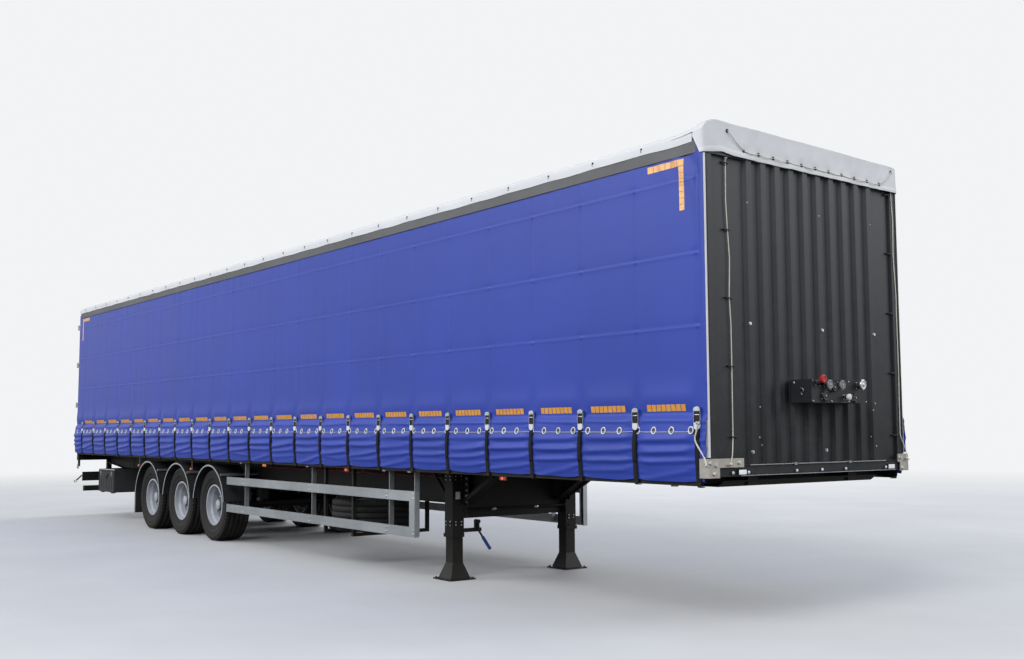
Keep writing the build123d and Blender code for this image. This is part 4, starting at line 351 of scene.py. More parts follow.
def retroreflective_tape(name, colours):
    """Retroreflective vinyl: honeycomb cells 3 mm across under a clear film."""
    material, tree, shader, place = start_material(
        name, {"IOR": 1.5, "Coat Weight": 0.5, "Coat Roughness": 0.15}
    )
    mottled(tree, shader, place, colours, 0.03, (0.3, 0.5))
    cell = add_node(
        tree, "ShaderNodeTexVoronoi", {"Scale": 330.0, "feature": "DISTANCE_TO_EDGE"}, {"Vector": place}
    )
    bumped(tree, shader, cell.outputs["Distance"], 0.0005, 0.5)
    return material


def coated_plywood(name):
    """Phenolic-coated birch plywood: dark brown film pressed with a wire mesh 4 mm apart."""
    material, tree, shader, place = start_material(name, {"IOR": 1.5})
    mottled(tree, shader, place, ("#3A2418", "#4B3121"), 0.8, (0.45, 0.65))
    cell = add_node(
        tree, "ShaderNodeTexVoronoi", {"Scale": 120.0, "feature": "DISTANCE_TO_EDGE"}, {"Vector": place}
    )
    bumped(tree, shader, cell.outputs["Distance"], 0.0008, 0.6)
    return material


def lamp_lens(name, colours, glow=0.0):
    """Moulded acrylic lamp lens: clear coloured gloss over small prisms."""
    material, tree, shader, place = start_material(
        name, {"IOR": 1.49, "Coat Weight": 0.6, "Coat Roughness": 0.05}
    )
    mottled(tree, shader, place, colours, 0.05, (0.12, 0.25))
    prism = add_node(
        tree, "ShaderNodeTexVoronoi", {"Scale": 160.0, "feature": "DISTANCE_TO_EDGE"}, {"Vector": place}
    )
    bumped(tree, shader, prism.outputs["Distance"], 0.0008, 0.5)
    if glow:
        shader.inputs["Emission Color"].default_value = rgba(colours[1])
        shader.inputs["Emission Strength"].default_value = glow
    return material


def machined_steel(name, colours, roughness):
    """Turned or plated steel: bright with fine turning marks and a film of grease."""
    material, tree, shader, place = start_material(name, {"Metallic": 1.0})
    mottled(tree, shader, place, colours, 0.08, roughness)
    marks = add_node(tree, "ShaderNodeTexNoise", {"Scale": 500.0, "Detail": 2.0}, {"Vector": place})
    bumped(tree, shader, marks.outputs["Fac"], 0.0002, 0.3)
    return material


FINISHES = {}


def finish(name):
    """A finish by name, made once."""
    return FINISHES[name]


def make_finishes(settings):
    """Every material of the trailer."""
    base = tuple(settings.curtain_colour)
    FINISHES["curtain"] = tarpaulin(
        "tarpaulin_royal_blue", (tuple(0.9 * part for part in base), tuple(1.06 * part for part in base)),
        (0.36, 0.46), 0.006
    )
    FINISHES["roof"] = tarpaulin("tarpaulin_white", ("#CDCFD3", "#D8DADE"), (0.42, 0.56), 0.006)
    roof_soot(FINISHES["roof"])
    FINISHES["hem"] = tarpaulin("tarpaulin_white_hem", ("#D4D6D9", "#DFE1E4"), (0.42, 0.56), 0.006)
    # Near-black #0C0D0E fading in towards the bottom is painted shade: a painted reflection of the dark
    # surroundings in the lower wall
    FINISHES["wall"] = enamel(
        "charcoal_enamel", ("#303337", "#393C41"), (0.42, 0.54), 0.6, (4.0, "#0C0D0E", 1.7)
    )
    FINISHES["rail"] = enamel("rail_grey_enamel", ("#525355", "#606163"), (0.42, 0.55))
    FINISHES["chassis"] = enamel(
        "chassis_black_enamel", ("#0F0F0F", "#171717"), (0.45, 0.62), 0.5, (1.1, "#4A463F", 0.3)
    )
    FINISHES["trim"] = enamel("white_enamel", ("#D8DADC", "#E4E6E8"), (0.3, 0.42))
    FINISHES["door"] = enamel("door_grey_enamel", ("#4A4D51", "#55585C"), (0.35, 0.48))
    FINISHES["wheel"] = enamel(
        "silver_wheel_enamel", ("#9FA4AC", "#B4B9C1"), (0.3, 0.42), 0.2, (0.9, "#7A756E", 0.25)
    )
    # Wheel discs and hubs: real dust low down, and painted shade in the deep dish
    FINISHES["wheel_disc"] = enamel(
        "dusty_shaded_wheel_enamel", ("#9FA4AC", "#B4B9C1"), (0.3, 0.42), 0.2, (0.9, "#7A756E", 0.15)
    )
    painted_hub_shade(FINISHES["wheel_disc"])
    FINISHES["console"] = enamel("console_black_enamel", ("#1F2124", "#292B2E"), (0.42, 0.55))
    FINISHES["plate"] = enamel("blank_plate_enamel", ("#C9CCD0", "#D6D9DC"), (0.3, 0.4))
    FINISHES["galvanised"] = galvanised_steel("galvanised_steel", ("#8A8F94", "#A6ABB0"))
    FINISHES["warm_galvanised"] = galvanised_steel("weathered_galvanised_steel", ("#A09C95", "#BAB6AE"))
    FINISHES["aluminium"] = extruded_aluminium("extruded_aluminium", ("#A3A9AE", "#B6BCC1"), (0.38, 0.5))
    FINISHES["bare"] = machined_steel("greased_steel", ("#7C7C7C", "#959595"), (0.3, 0.45))
    FINISHES["zinc"] = machined_steel("zinc_plated_steel", ("#B8BBBE", "#D0D3D6"), (0.28, 0.4))
    FINISHES["guard"] = moulded_plastic("black_polyethylene", ("#1C1D1F", "#26272A"), (0.5, 0.68))
    FINISHES["box"] = moulded_plastic(
        "grey_polyethylene", ("#27282A", "#333436"), (0.58, 0.72), 0.006, 0.0007
    )
    FINISHES["socket"] = moulded_plastic("black_nylon", ("#17181A", "#222326"), (0.35, 0.5), 0.002, 0.0002)
    FINISHES["grey_cap"] = moulded_plastic("grey_nylon", ("#6E7175", "#85888C"), (0.35, 0.5), 0.002, 0.0002)
    # Pale strips on the mudguards' lips and flap edges are painted highlights along the glossy black edges
    FINISHES["pale_edge"] = moulded_plastic(
        "pale_grey_painted_highlight_edge", ("#8E9296", "#A0A4A8"), (0.5, 0.65), 0.002, 0.0002
    )
    FINISHES["seal"] = moulded_plastic(
        "black_seal_rubber", ("#121213", "#1C1C1D"), (0.6, 0.8), 0.002, 0.0002
    )
    FINISHES["red_cap"] = moulded_plastic("red_nylon", ("#A81C22", "#C0262C"), (0.3, 0.45), 0.002, 0.0002)
    FINISHES["white_cap"] = moulded_plastic(
        "white_nylon", ("#CFD1D3", "#E0E2E4"), (0.35, 0.5), 0.002, 0.0002
    )
    FINISHES["blue_grip"] = moulded_plastic(
        "blue_grip_plastic", ("#244E9C", "#2E5CB0"), (0.4, 0.55), 0.002, 0.0002
    )
    FINISHES["bellows"] = moulded_plastic(
        "bellows_rubber", ("#161616", "#222222"), (0.55, 0.75), 0.005, 0.0003
    )
    FINISHES["tyre"] = tyre_rubber("tyre_rubber")
    FINISHES["strap"] = webbing("black_webbing", ("#121315", "#1E1F22"))
    FINISHES["cord"] = braid("off_white_braid", ("#C9C6BA", "#DFDCD2"))
    FINISHES["cable"] = moulded_plastic(
        "white_cable_sheath", ("#C4C6C8", "#D8DADC"), (0.35, 0.5), 0.002, 0.0001
    )
    FINISHES["tape"] = retroreflective_tape("amber_reflective_tape", ("#D08A22", "#E6A83C"))
    FINISHES["floor_ply"] = coated_plywood("coated_plywood")
    FINISHES["red_lens"] = lamp_lens("red_lens", ("#8E1218", "#B81C22"), 0.15)
    FINISHES["amber_lens"] = lamp_lens("amber_lens", ("#C86A14", "#E08A24"), 0.15)
    FINISHES["clear_lens"] = lamp_lens("clear_lens", ("#D5D9DD", "#EEF1F4"), 0.2)


# Mesh building

def ring_faces(rings, count):
    """The four-cornered faces between each ring of points and the next."""
    faces = []
    for ring in range(rings - 1):
        low, high = ring * count, (ring + 1) * count
        for step in range(count):
            after = (step + 1) % count
            faces.append((low + step, low + after, high + after, high + step))
    return faces


class Form:
    """Points and faces gathered for one piece before its mesh is made."""

    def __init__(self):
        self.points = []
        self.faces = []
        self.slots = []
        self.smooth = []

    def add(self, points, faces, slot=0, smooth=False):
        start = len(self.points)
        self.points += [tuple(point) for point in points]
        self.faces += [[start + index for index in face] for face in faces]
        self.slots += [slot] * len(faces)
        self.smooth += [smooth] * len(faces)

    def put(self, other, matrix, slot=None):
        """Adds another form's faces, moved by a matrix."""
        start = len(self.points)
        self.points += [tuple(matrix @ Vector(point)) for point in other.points]
        self.faces += [[start + index for index in face] for face in other.faces]
        self.slots += other.slots if slot is None else [slot] * len(other.faces)
        self.smooth += other.smooth

    def skin(self, place, columns, rows, slot=0, smooth=True):
        """Faces over place(u, v), open at the edges."""
        wide = len(columns)
        points = [place(u, v) for v in rows for u in columns]
        faces = []
        for row in range(len(rows) - 1):
            for column in range(wide - 1):
                a = row * wide + column
                faces.append((a, a + 1, a + wide + 1, a + wide))
        self.add(points, faces, slot, smooth)

    def block(self, low, high, slot=0):
        """A block between two corners; its edges are rounded by the piece's bevel."""
        (x0, y0, z0), (x1, y1, z1) = low, high
        points = [(x, y, z) for z in (z0, z1) for x, y in ((x0, y0), (x1, y0), (x1, y1), (x0, y1))]
        faces = [(3, 2, 1, 0), (4, 5, 6, 7), (0, 1, 5, 4), (1, 2, 6, 5), (2, 3, 7, 6), (3, 0, 4, 7)]
        self.add(points, faces, slot)

    def prism(self, outline, matrix, length, slot=0, smooth=False):
        """A flat outline of (x, y) points drawn along the matrix's Z by length."""
        count = len(outline)
        points = [matrix @ Vector((x, y, z)) for z in (0, length) for x, y in outline]
        sides = [(i, (i + 1) % count, count + (i + 1) % count, count + i) for i in range(count)]
        self.add(points, sides, slot, smooth)
        self.add(points, [tuple(range(count))[::-1], tuple(range(count, 2 * count))], slot)

    def lathe(self, profile, matrix, count=32, slot=0, smooth=True, closed=False):
        """(radius, height) points turned round the matrix's Z axis."""
        points = []
        for radius, height in profile:
            for step in range(count):
                angle = 2 * pi * step / count
                points.append(matrix @ Vector((radius * cos(angle), radius * sin(angle), height)))
        faces = []
        rings = len(profile)
        for ring in range(rings if closed else rings - 1):
            low, high = ring * count, (ring + 1) % rings * count
            for step in range(count):
                after = (step + 1) % count
                faces.append((low + step, low + after, high + after, high + step))
        self.add(points, faces, slot, smooth)

    def tube(self, route, radius, count=8, slot=0, caps=True):
        """A round tube along a route of points."""
        route = [Vector(point) for point in route]
        side = None
        points = []
        for index, point in enumerate(route):
            ahead = route[min(index + 1, len(route) - 1)] - route[max(index - 1, 0)]
            ahead.normalize()
            if side is None:
                side = ahead.orthogonal().normalized()
            side = (side - ahead * side.dot(ahead)).normalized()
            other = ahead.cross(side)
            for step in range(count):
                angle = 2 * pi * step / count
                points.append(point + (side * cos(angle) + other * sin(angle)) * radius)
        self.add(points, ring_faces(len(route), count), slot, True)
        if caps:
            last = (len(route) - 1) * count
            self.add(points, [tuple(range(count))[::-1], tuple(range(last, last + count))], slot)

    def lens(self, lower, upper, slot):
        """The sides and the top between two four-cornered outlines."""
        self.add(lower + upper, ring_faces(2, 4) + [(4, 5, 6, 7)], slot)

    def make(self, name, finishes, body="trailer", slot=None, bevel=0.0, segments=2):
        """The finished object, riding on its body."""
        mesh = bpy.data.meshes.new(name)
        mesh.from_pydata(self.points, [], self.faces)
        for label in finishes:
            mesh.materials.append(finish(label))
        mesh.polygons.foreach_set("material_index", self.slots)
        mesh.polygons.foreach_set("use_smooth", self.smooth)
        work = bmesh.new()
        work.from_mesh(mesh)
        bmesh.ops.remove_doubles(work, verts=work.verts, dist=0.00002)
        bmesh.ops.recalc_face_normals(work, faces=work.faces)
        work.to_mesh(mesh)
        work.free()
        made = bpy.data.objects.new(name, mesh)
        bpy.context.scene.collection.objects.link(made)
        if bevel:
            rounding = made.modifiers.new("edges", "BEVEL")
            rounding.width = bevel
            rounding.segments = segments
            rounding.limit_method = "ANGLE"
            rounding.angle_limit = radians(40)
        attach(made, body)
        return made


def aimed(point, direction, turn=0.0):
    """A matrix at a point whose Z looks along a direction."""
    spin = Vector(direction).to_track_quat("Z", "Y").to_matrix().to_4x4()
    return Matrix.Translation(point) @ spin @ Matrix.Rotation(turn, 4, "Z")


def hex_bolt(across, height):
    """A hexagon head on its washer, standing on the plane Z = 0."""
    form = Form()
    washer = across * 0.66
    form.lathe([(0.0, 0.0015), (washer, 0.0015), (washer, 0.0)], Matrix(), 16, smooth=False)
    corner = across / 2 / cos(pi / 6)
    hexagon = [(corner * cos(pi / 3 * i), corner * sin(pi / 3 * i)) for i in range(6)]
    form.prism(hexagon, Matrix.Translation((0, 0, 0.001)), height)
    return form


def bolts(form, spots, direction, across=0.024, height=0.012, slot=0):
    """The same bolt at each spot."""
    head = hex_bolt(across, height)
    for number, spot in enumerate(spots):
        form.put(head, aimed(spot, direction, number * 0.7), slot)


def steps(start, end, count):
    """count + 1 even values from start to end."""
    return [start + (end - start) * i / count for i in range(count + 1)]


def bell(distance, reach):
    """A smooth hump that is 1 at 0 and fades over reach."""
    return exp(-(distance / reach) ** 2)


# The curtain's surface

def from_strap(distance):
    """How far a place is from the nearest strap's middle, along the curtain."""
    bay = (distance - STRAP_FIRST) / STRAP_PITCH
    return abs(bay - floor(bay + 0.5)) * STRAP_PITCH


def bay_number(distance):
    return floor((distance - STRAP_FIRST) / STRAP_PITCH)


def skirt_line(height):
    """How far the skirt stands out where a strap crosses it."""
    drop = SKIRT_TOP - height
    if drop <= 0:
        return 0.0
    return 0.12864 * drop - 0.22622 * drop * drop


def hem_height(distance):
    """The hem hangs a little lower between the straps, and unevenly."""
    gap = from_strap(distance)
    loose = 1 - bell(gap, 0.12)
    wander = noise.noise(Vector((distance * 1.7, 3.1, 0.0)))
    return CURTAIN_HEM + 0.004 + loose * (0.014 * wander - 0.012)


def curtain_out(distance, height):
    """How far the curtain's surface stands outside its hanging plane."""
    gap = from_strap(distance)
    bay = bay_number(distance)
    loose = 1 - bell(gap, 0.075)
    out = 0.004 * noise.noise(Vector((distance * 0.55, height * 0.6, 1.0)))
    out += 0.0016 * noise.noise(Vector((distance * 6.0, height * 0.9, 5.0)))
    # Vertical pillar lines at each strap and the welded seams that cross them
    above = 1.0 if height > SKIRT_TOP + 0.02 else 0.0
    out += above * 0.0017 * bell(gap, 0.007)
    for seam in SEAM_HEIGHTS:
        fade = bell(height - seam, 0.012)
        out += fade * (0.0014 + 0.0035 * bell(gap, 0.018))
        out -= 0.0018 * bell(height - seam - 0.022, 0.012) * (0.4 + bell(gap, 0.05))
    # Small gathers where the rollers carry the top edge
    under_rail = exp(-max(0.0, CURTAIN_TOP - 0.06 - height) / 0.16)
    out += under_rail * 0.0032 * noise.noise(Vector((distance * 13.0, height * 1.2, 9.0)))
    # Slack creases that run down from the front top corner
    corner = exp(-(((distance - 0.05) / 0.45) ** 2 + ((CURTAIN_TOP - height) / 0.55) ** 2))
    out += corner * 0.009 * noise.noise(
        Vector((distance * 7.0 + (CURTAIN_TOP - height) * 4.5, height * 1.6, 2.0))
    )
    crease = (distance - 2.1) + (height - 3.2) * 0.42
    out += 0.004 * bell(crease, 0.035) * bell(height - 3.3, 0.4)
    # The pull of each buckle, then the skirt that billows out below the tape
    pull = bell(height - 1.735, 0.05)
    out += 0.0095 * loose * bell(height - 1.86, 0.1) - 0.004 * pull
    drop = SKIRT_TOP - height
    if drop > 0:
        rise = 1 - exp(-(drop / 0.045) ** 1.5)
        seed = noise.noise(Vector((bay * 3.7, 0.0, 7.0)))
        billow = (bpy.context.scene.trailer.billow + 0.008 * seed) * loose * rise
        tail = 0.5 + 0.5 * cos(min(1.0, drop / 0.56) * pi * 0.75)
        out += skirt_line(height) + billow * (0.55 + 0.45 * tail)
        across = (distance - STRAP_FIRST) / STRAP_PITCH - bay
        for number, (crest, reach, size) in enumerate(FOLDS):
            chance = noise.noise(Vector((bay * 2.7, number * 5.3, 4.0)))
            slant = (0.05 * number - 0.03) * chance - 0.012 * number
            middle = crest + 0.014 * number * chance + slant * (across - 0.5)
            middle += 0.006 * noise.noise(Vector((distance * 1.6, number * 3.1, 8.0)))
            above = height - middle
            shape = bell(above, reach) if above > 0 else bell(above, reach * 0.45)
            fade = 0.8 + 0.7 * noise.noise(Vector((distance * 1.3, number * 7.7, 1.0)))
            out += size * min(1.2, max(0.25, fade)) * shape * (0.35 + 0.65 * loose)
        pucker = bell(gap, 0.1) * (1 - bell(gap, 0.03))
        out += 0.0025 * pucker * sin(height * 2 * pi / 0.05 + bay) * min(1.0, drop / 0.1)
    # The front edge laps over the corner's pale strip
    lap = max(0.0, min(1.0, (0.075 - distance) / 0.03))
    return out + max(0.0, TRIM_LIFT - out) * lap * lap * (3 - 2 * lap)


def curtain_point(distance, height, side, lift=0.0):
    """A point on one curtain, lift metres proud of it; its front edge is cut back behind the plate."""
    if height < TRIM_LOW:
        distance = max(distance, TRIM_BACK)
    slack = max(0.0, min(1.0, (SKIRT_TOP - height) / (SKIRT_TOP - CURTAIN_HEM)))
    drop = slack * (hem_height(distance) - CURTAIN_HEM)
    y = SHEET_Y + curtain_out(distance, height) + lift
    return Vector((back(distance), side * y, height + drop))


def curtain_columns():
    """Distances for the curtain's mesh, closest near each strap's line."""
    offsets = (0.0, 0.005, 0.012, 0.022, 0.036, 0.055, 0.08, 0.11, 0.145, 0.185, 0.225, 0.265, 0.31, 0.3515)
    values = {CURTAIN_FRONT, CURTAIN_REAR}
    for number in range(-1, STRAP_COUNT + 1):
        middle = STRAP_FIRST + number * STRAP_PITCH
        for offset in offsets:
            for value in (middle - offset, middle + offset):
                if CURTAIN_FRONT + 0.003 < value < CURTAIN_REAR - 0.003:
                    values.add(round(value, 5))
    return sorted(values)


def curtain_rows():
    """Heights for the curtain's mesh, closest in the skirt and at the seams."""
    values = set(steps(CURTAIN_HEM, SKIRT_TOP, 46)) | set(steps(SKIRT_TOP, 1.95, 15))
    values |= set(steps(1.95, 3.6, 26)) | set(steps(3.6, CURTAIN_TOP, 10))
    for seam in SEAM_HEIGHTS:
        values |= {seam + step for step in (-0.02, -0.008, 0.0, 0.008, 0.022, 0.036)}
    return sorted(values)


def tape_patches():
    """Low and high distance and height of each square of reflective tape."""
    patches = []
    cell = 0.0556
    for number in range(STRAP_COUNT - 1):
        start = STRAP_FIRST + number * STRAP_PITCH + 0.135
        for step in range(8):
            low = start + step * cell
            patches.append((low + 0.0035, low + cell - 0.0035, 1.756, 1.81))
    for end, way in ((0.224, 1), (CURTAIN_REAR - 0.2, -1)):
        for step in range(6):
            low, high = sorted((end + way * step * 0.07, end + way * (step + 1) * 0.07))
            patches.append((low + 0.002, high - 0.002, 3.735, 3.79))
        low, high = sorted((end + way * 0.0, end + way * 0.056))
        for step in range(7):
            top = 3.73 - step * 0.052
            patches.append((low, high, top - 0.049, top))
    return patches


def build_curtain(side_name, side):
    """One side curtain as a single hanging sheet."""
    form = Form()
    form.skin(lambda d, z: curtain_point(d, z, side), curtain_columns(), curtain_rows())
    made = form.make(f"curtain_sheet_{side_name}", ["curtain"], slot="curtain_blue")
    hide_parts(f"curtain_{side_name}")


def build_tapes(side_name, side):
    """The squares of reflective tape, laid on the curtain."""
    form = Form()
    for low, high, bottom, top in tape_patches():
        form.skin(
            lambda d, z: curtain_point(d, z, side, 0.0012), steps(low, high, 3), steps(bottom, top, 3),
            smooth=False
        )
    form.make(f"reflective_tapes_{side_name}", ["tape"], slot="curtain_blue")


def strap_point(distance, height, side, lift, lean=0.0):
    """A point on a strap that lies over the skirt and leans a little."""
    y = SHEET_Y + skirt_line(height) + lift
    return Vector((back(distance + lean * (SKIRT_TOP - height)), side * y, height))


def webbing_strip(form, place, widths, heights, thickness, slot=0):
    """A flat strap: place(across, height, lift) gives its faces."""
    form.skin(lambda u, v: place(u, v, thickness), widths, heights, slot)
    form.skin(lambda u, v: place(u, v, 0.0), widths, heights, slot)
    for edge in (widths[0], widths[-1]):
        form.skin(lambda u, v: place(edge, v, u), [0.0, thickness], heights, slot, smooth=False)
    for end in (heights[0], heights[-1]):
        form.skin(lambda u, v: place(u, end, v), widths, [0.0, thickness], slot, smooth=False)


def build_straps(side_name, side):
    """Buckles, their webbing and their hooks, and the ratchet post at the rear."""
    straps, metal = Form(), Form()
    half = 0.026
    low_end = RAVE_Z + 0.012
    for number in range(STRAP_COUNT):
        middle = STRAP_FIRST + number * STRAP_PITCH
        lean = 0.03 * noise.noise(Vector((number * 3.3, 1.0, 0.0))) + 0.02
        if number == 0:
            lean = 0.0

        def place(across, height, lift, base=0.006):
            return strap_point(middle + across, height, side, base + lift, lean)

        webbing_strip(straps, place, [-half, 0.0, half], steps(low_end, BUCKLE_LOW + 0.03, 22), 0.0022)
        # The loose tail hangs over the fixed part
        tail = 1.34 + 0.05 * noise.noise(Vector((number * 1.9, 7.0, 0.0))) + (0.2 if number == 0 else 0.0)
        sway = 0.012 * noise.noise(Vector((number * 2.7, 4.0, 0.0)))

        def tail_place(across, height, lift):
            drop = (BUCKLE_LOW - height) / (BUCKLE_LOW - tail)
            moved = strap_point(middle + across + sway * max(0.0, drop), height, side, 0.010 + lift, lean)
            moved.y += side * 0.006 * sin(max(0.0, drop) * pi)
            return moved

        webbing_strip(
            straps, tail_place, [-half + 0.002, 0.0, half - 0.002], steps(tail, BUCKLE_LOW + 0.01, 12),
            0.002
        )
        # Over-centre buckle: domed cap, side plates, black lever, pale block with a rounded foot
        face = SHEET_Y + skirt_line(1.69) * 0.4 + 0.004
        front = Matrix(
            ((1, 0, 0, back(middle)), (0, 0, side, side * (face + 0.001)), (0, 1, 0, 0), (0, 0, 0, 1))
        )
        dome = [(-0.035, BUCKLE_TOP - 0.036), (0.035, BUCKLE_TOP - 0.036)]
        dome += [(0.035 * cos(turn), BUCKLE_TOP - 0.022 + 0.022 * sin(turn)) for turn in steps(0.0, pi, 12)]
        metal.prism(dome, front, 0.021, 0)
        for across in (-0.0345, 0.0345):
            low, high = across - 0.0018, across + 0.0018
            bottom, top = BUCKLE_LOW + 0.05, BUCKLE_TOP - 0.034
            metal.prism([(low, bottom), (high, bottom), (high, top), (low, top)], front, 0.018, 0)
        lever = [
            (-0.031, BUCKLE_LOW + 0.056), (0.031, BUCKLE_LOW + 0.056), (0.031, BUCKLE_TOP - 0.038),
            (-0.031, BUCKLE_TOP - 0.038)
        ]
        metal.prism(lever, front, 0.0145, 2)
        metal.lathe(
            [(0.0, 0.0), (0.004, 0.0), (0.0055, 0.0015), (0.0055, 0.0485), (0.004, 0.05), (0.0, 0.05)],
            aimed(Vector((back(middle + 0.025), side * (face + 0.0155), BUCKLE_TOP - 0.064)), (1, 0, 0)),
            12, 0
        )
        foot_block = [(-0.030, BUCKLE_LOW + 0.056), (0.030, BUCKLE_LOW + 0.056)]
        foot_block += [
            (0.030 * cos(turn), BUCKLE_LOW + 0.022 + 0.022 * sin(turn)) for turn in steps(0.0, -pi, 10)
        ]
        metal.prism(foot_block, front, 0.022, 1)
        # Flat hook round the rave's lower edge
        foot = middle + lean * (SKIRT_TOP - low_end)
        hook = [(SHEET_Y + 0.012, low_end + 0.014), (SHEET_Y + 0.011, RAVE_Z - 0.002),
                (SHEET_Y + 0.003, RAVE_Z - 0.009),
                (SHEET_Y - 0.035, RAVE_Z - 0.009), (SHEET_Y - 0.035, RAVE_Z - 0.003),
                (SHEET_Y + 0.001, RAVE_Z - 0.004),
                (SHEET_Y + 0.006, RAVE_Z + 0.002), (SHEET_Y + 0.007, low_end + 0.014)]
        matrix = Matrix(((0, 0, 1, back(foot + 0.020)), (side, 0, 0, 0), (0, 1, 0, 0), (0, 0, 0, 1)))
        metal.prism(hook, matrix, 0.040, 2)
    # Ratchet box and its ribbed wheel at the rear corner
    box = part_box(f"straps_{side_name}")
    x0 = box[0][0]
    ys = sorted((side * (SHEET_Y - 0.052), side * (SHEET_Y - 0.022)))
    metal.block((x0 + 0.022, ys[0], 0.93), (x0 + 0.082, ys[1], 1.16), 2)
    teeth = []
    for step in range(32):
        angle = 2 * pi * step / 32
        radius = 0.048 if step % 2 else 0.043
        teeth.append((radius * cos(angle), radius * sin(angle)))
    hub = Vector((x0 + 0.052, side * (SHEET_Y - 0.024), 0.93))
    metal.prism(teeth, aimed(hub, (0, side, 0)), 0.014, 0)
    metal.lathe(
        [(0.0, 0.026), (0.012, 0.026), (0.014, 0.024), (0.014, 0.0)], aimed(hub, (0, side, 0)), 16, 0
    )
    straps.make(f"strap_webbing_{side_name}", ["strap"], slot="strap_grey")
    made = metal.make(
        f"strap_buckles_{side_name}", ["zinc", "white_cap", "chassis"], slot="strap_grey", bevel=0.0012
    )
    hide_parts(f"straps_{side_name}")


def eyelet_spots():
    """Distances of the skirt's eyelets, evenly spaced whatever strap lies over them."""
    count = int((CURTAIN_REAR - EYELET_FIRST - 0.1) / EYELET_PITCH) + 1
    return [EYELET_FIRST + number * EYELET_PITCH for number in range(count)]


def build_eyelets(side_name, side):
    """White oval eyelets in the skirt and the thin cable that runs tight through them."""
    form = Form()
    for spot in eyelet_spots():
        middle = curtain_point(spot, EYELET_Z, side)
        above = curtain_point(spot, EYELET_Z + 0.03, side)
        below = curtain_point(spot, EYELET_Z - 0.03, side)
        up = (above - below).normalized()
        out = up.cross(Vector((1, 0, 0))) * -side
        if out.y * side < 0:
            out = -out
        along = up.cross(out)
        rings = []
        for step in range(20):
            angle = 2 * pi * step / 20
            ring = []
            for part in range(6):
                turn = 2 * pi * part / 6
                reach = 0.0056 * cos(turn)
                ring.append(
                    middle + along * (0.0250 + reach) * cos(angle) + up * (0.0275 + reach) * sin(angle)
                    + out * (0.003 + 0.0045 * sin(turn))
                )
            rings.append(ring)
        points = [point for ring in rings for point in ring]
        faces = []
        for step in range(20):
            after = (step + 1) % 20
            for part in range(6):
                other = (part + 1) % 6
                faces.append((step * 6 + part, after * 6 + part, after * 6 + other, step * 6 + other))
        form.add(points, faces, 0, True)
        # The opening inside the ring, filled with a black disc as painted shade
        rim = [
            middle + along * 0.0215 * cos(2 * pi * s / 20) + up * 0.024 * sin(2 * pi * s / 20) + out
            * 0.002 for s in range(20)
        ]
        form.add(rim, [tuple(range(20))], 1)
    form.make(f"skirt_eyelets_{side_name}", ["white_cap", "socket"], slot="cord_white")
    cable = Form()
    spots = eyelet_spots()
    route = []
    for start, end in zip(spots, spots[1:]):
        for share in steps(0.0, 0.9, 9):
            lift = 0.0005 + 0.0055 * sin(pi * share) ** 0.7
            route.append(curtain_point(start + (end - start) * share, EYELET_Z - 0.011, side, lift))
    cable.tube(route, 0.0023, 6, 0)
    cable.make(f"skirt_cable_{side_name}", ["cable"], slot="cord_white")


def build_roof():
    """The roof tarpaulin: one sheet over the bows with a skirt down each rail."""
    rear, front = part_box("roof_tarp")[0][0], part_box("roof_tarp")[1][0]
    edge, low, top = SIDE_Y + 0.0015, 3.908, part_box("roof_tarp")[1][2]
    hooks = []
    spot = FRONT_X - 0.079
    while spot > rear + 0.05:
        hooks.append(spot)
        spot -= HOOK_PITCH
    bow_span = 1.406
    shape = [(edge, low), (edge, low + 0.03), (edge + 0.0005, low + 0.055), (edge - 0.002, top - 0.022)]
    shape += [(edge - 0.0075, top - 0.009), (edge - 0.019, top - 0.0015), (edge - 0.05, top)]
    shape += [(y, top) for y in (1.15, 1.0, 0.85, 0.7, 0.55, 0.4, 0.25, 0.12, 0.0)]
    shape += [(-y, z) for y, z in reversed(shape[:-1])]

    def place(index, x):
        y, z = shape[index]
        way = 1 if y > 0 else -1
        near = min(abs(x - hook) for hook in hooks)
        if abs(y) > edge - 0.06:
            fall = 1 - (z - low) / (top - low)
            y += way * (
                0.0035 * (1 - bell(near, 0.12)) * fall + 0.0022 * noise.noise(Vector((x * 3.3, z * 9, way)))
            )
            z -= fall * 0.007 * (1 - bell(near, 0.16)) * (1 + noise.noise(Vector((x * 1.3, way, 4.0))))
        else:
            inward = 1 - abs(y) / edge
            slack = 0.5 - 0.5 * cos(2 * pi * (x - front) / bow_span)
            z -= 0.012 * slack * min(1.0, inward * 4) + 0.004 * inward
            z += 0.003 * noise.noise(Vector((x * 2.1, y * 3.0, 2.0))) - 0.002
        return Vector((x, y, z))

    form = Form()
    count = 300
    columns = steps(rear, front - 0.12, count)
    form.skin(place, list(range(len(shape))), columns)
    sheet = form.make("roof_sheet", ["roof"], slot="roof_tarp")
    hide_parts("roof_tarp")
    # Hooks along both skirts
    metal = Form()
    for hook in hooks[1:]:
        for side in (1, -1):
            base = Vector((hook, side * (edge + 0.001), low + 0.052))
            metal.lathe(
                [(0.0, 0.008), (0.005, 0.007), (0.008, 0.004), (0.009, 0.0)], aimed(base, (0, side, 0)), 14,
                0
            )
            route = [base + Vector((0, side * d, z)) for d, z in
                     ((0.006, 0.0), (0.009, -0.008), (0.008, -0.02), (0.004, -0.03))]
            metal.tube(route, 0.0022, 6, 0)
    metal.make("roof_skirt_hooks", ["socket"], slot="lamp_plastic")


# The camera as fitted to the photograph: turn, tilt and roll in degrees, lens in mm
CAMERA_ANGLES = (36.928, 5.038, -0.233)
CAMERA_PLACE = (FRONT_X + 6.097, -7.758, 1.619)
CAMERA_LENS = 39.65
FLOOR_REACH = 150.0
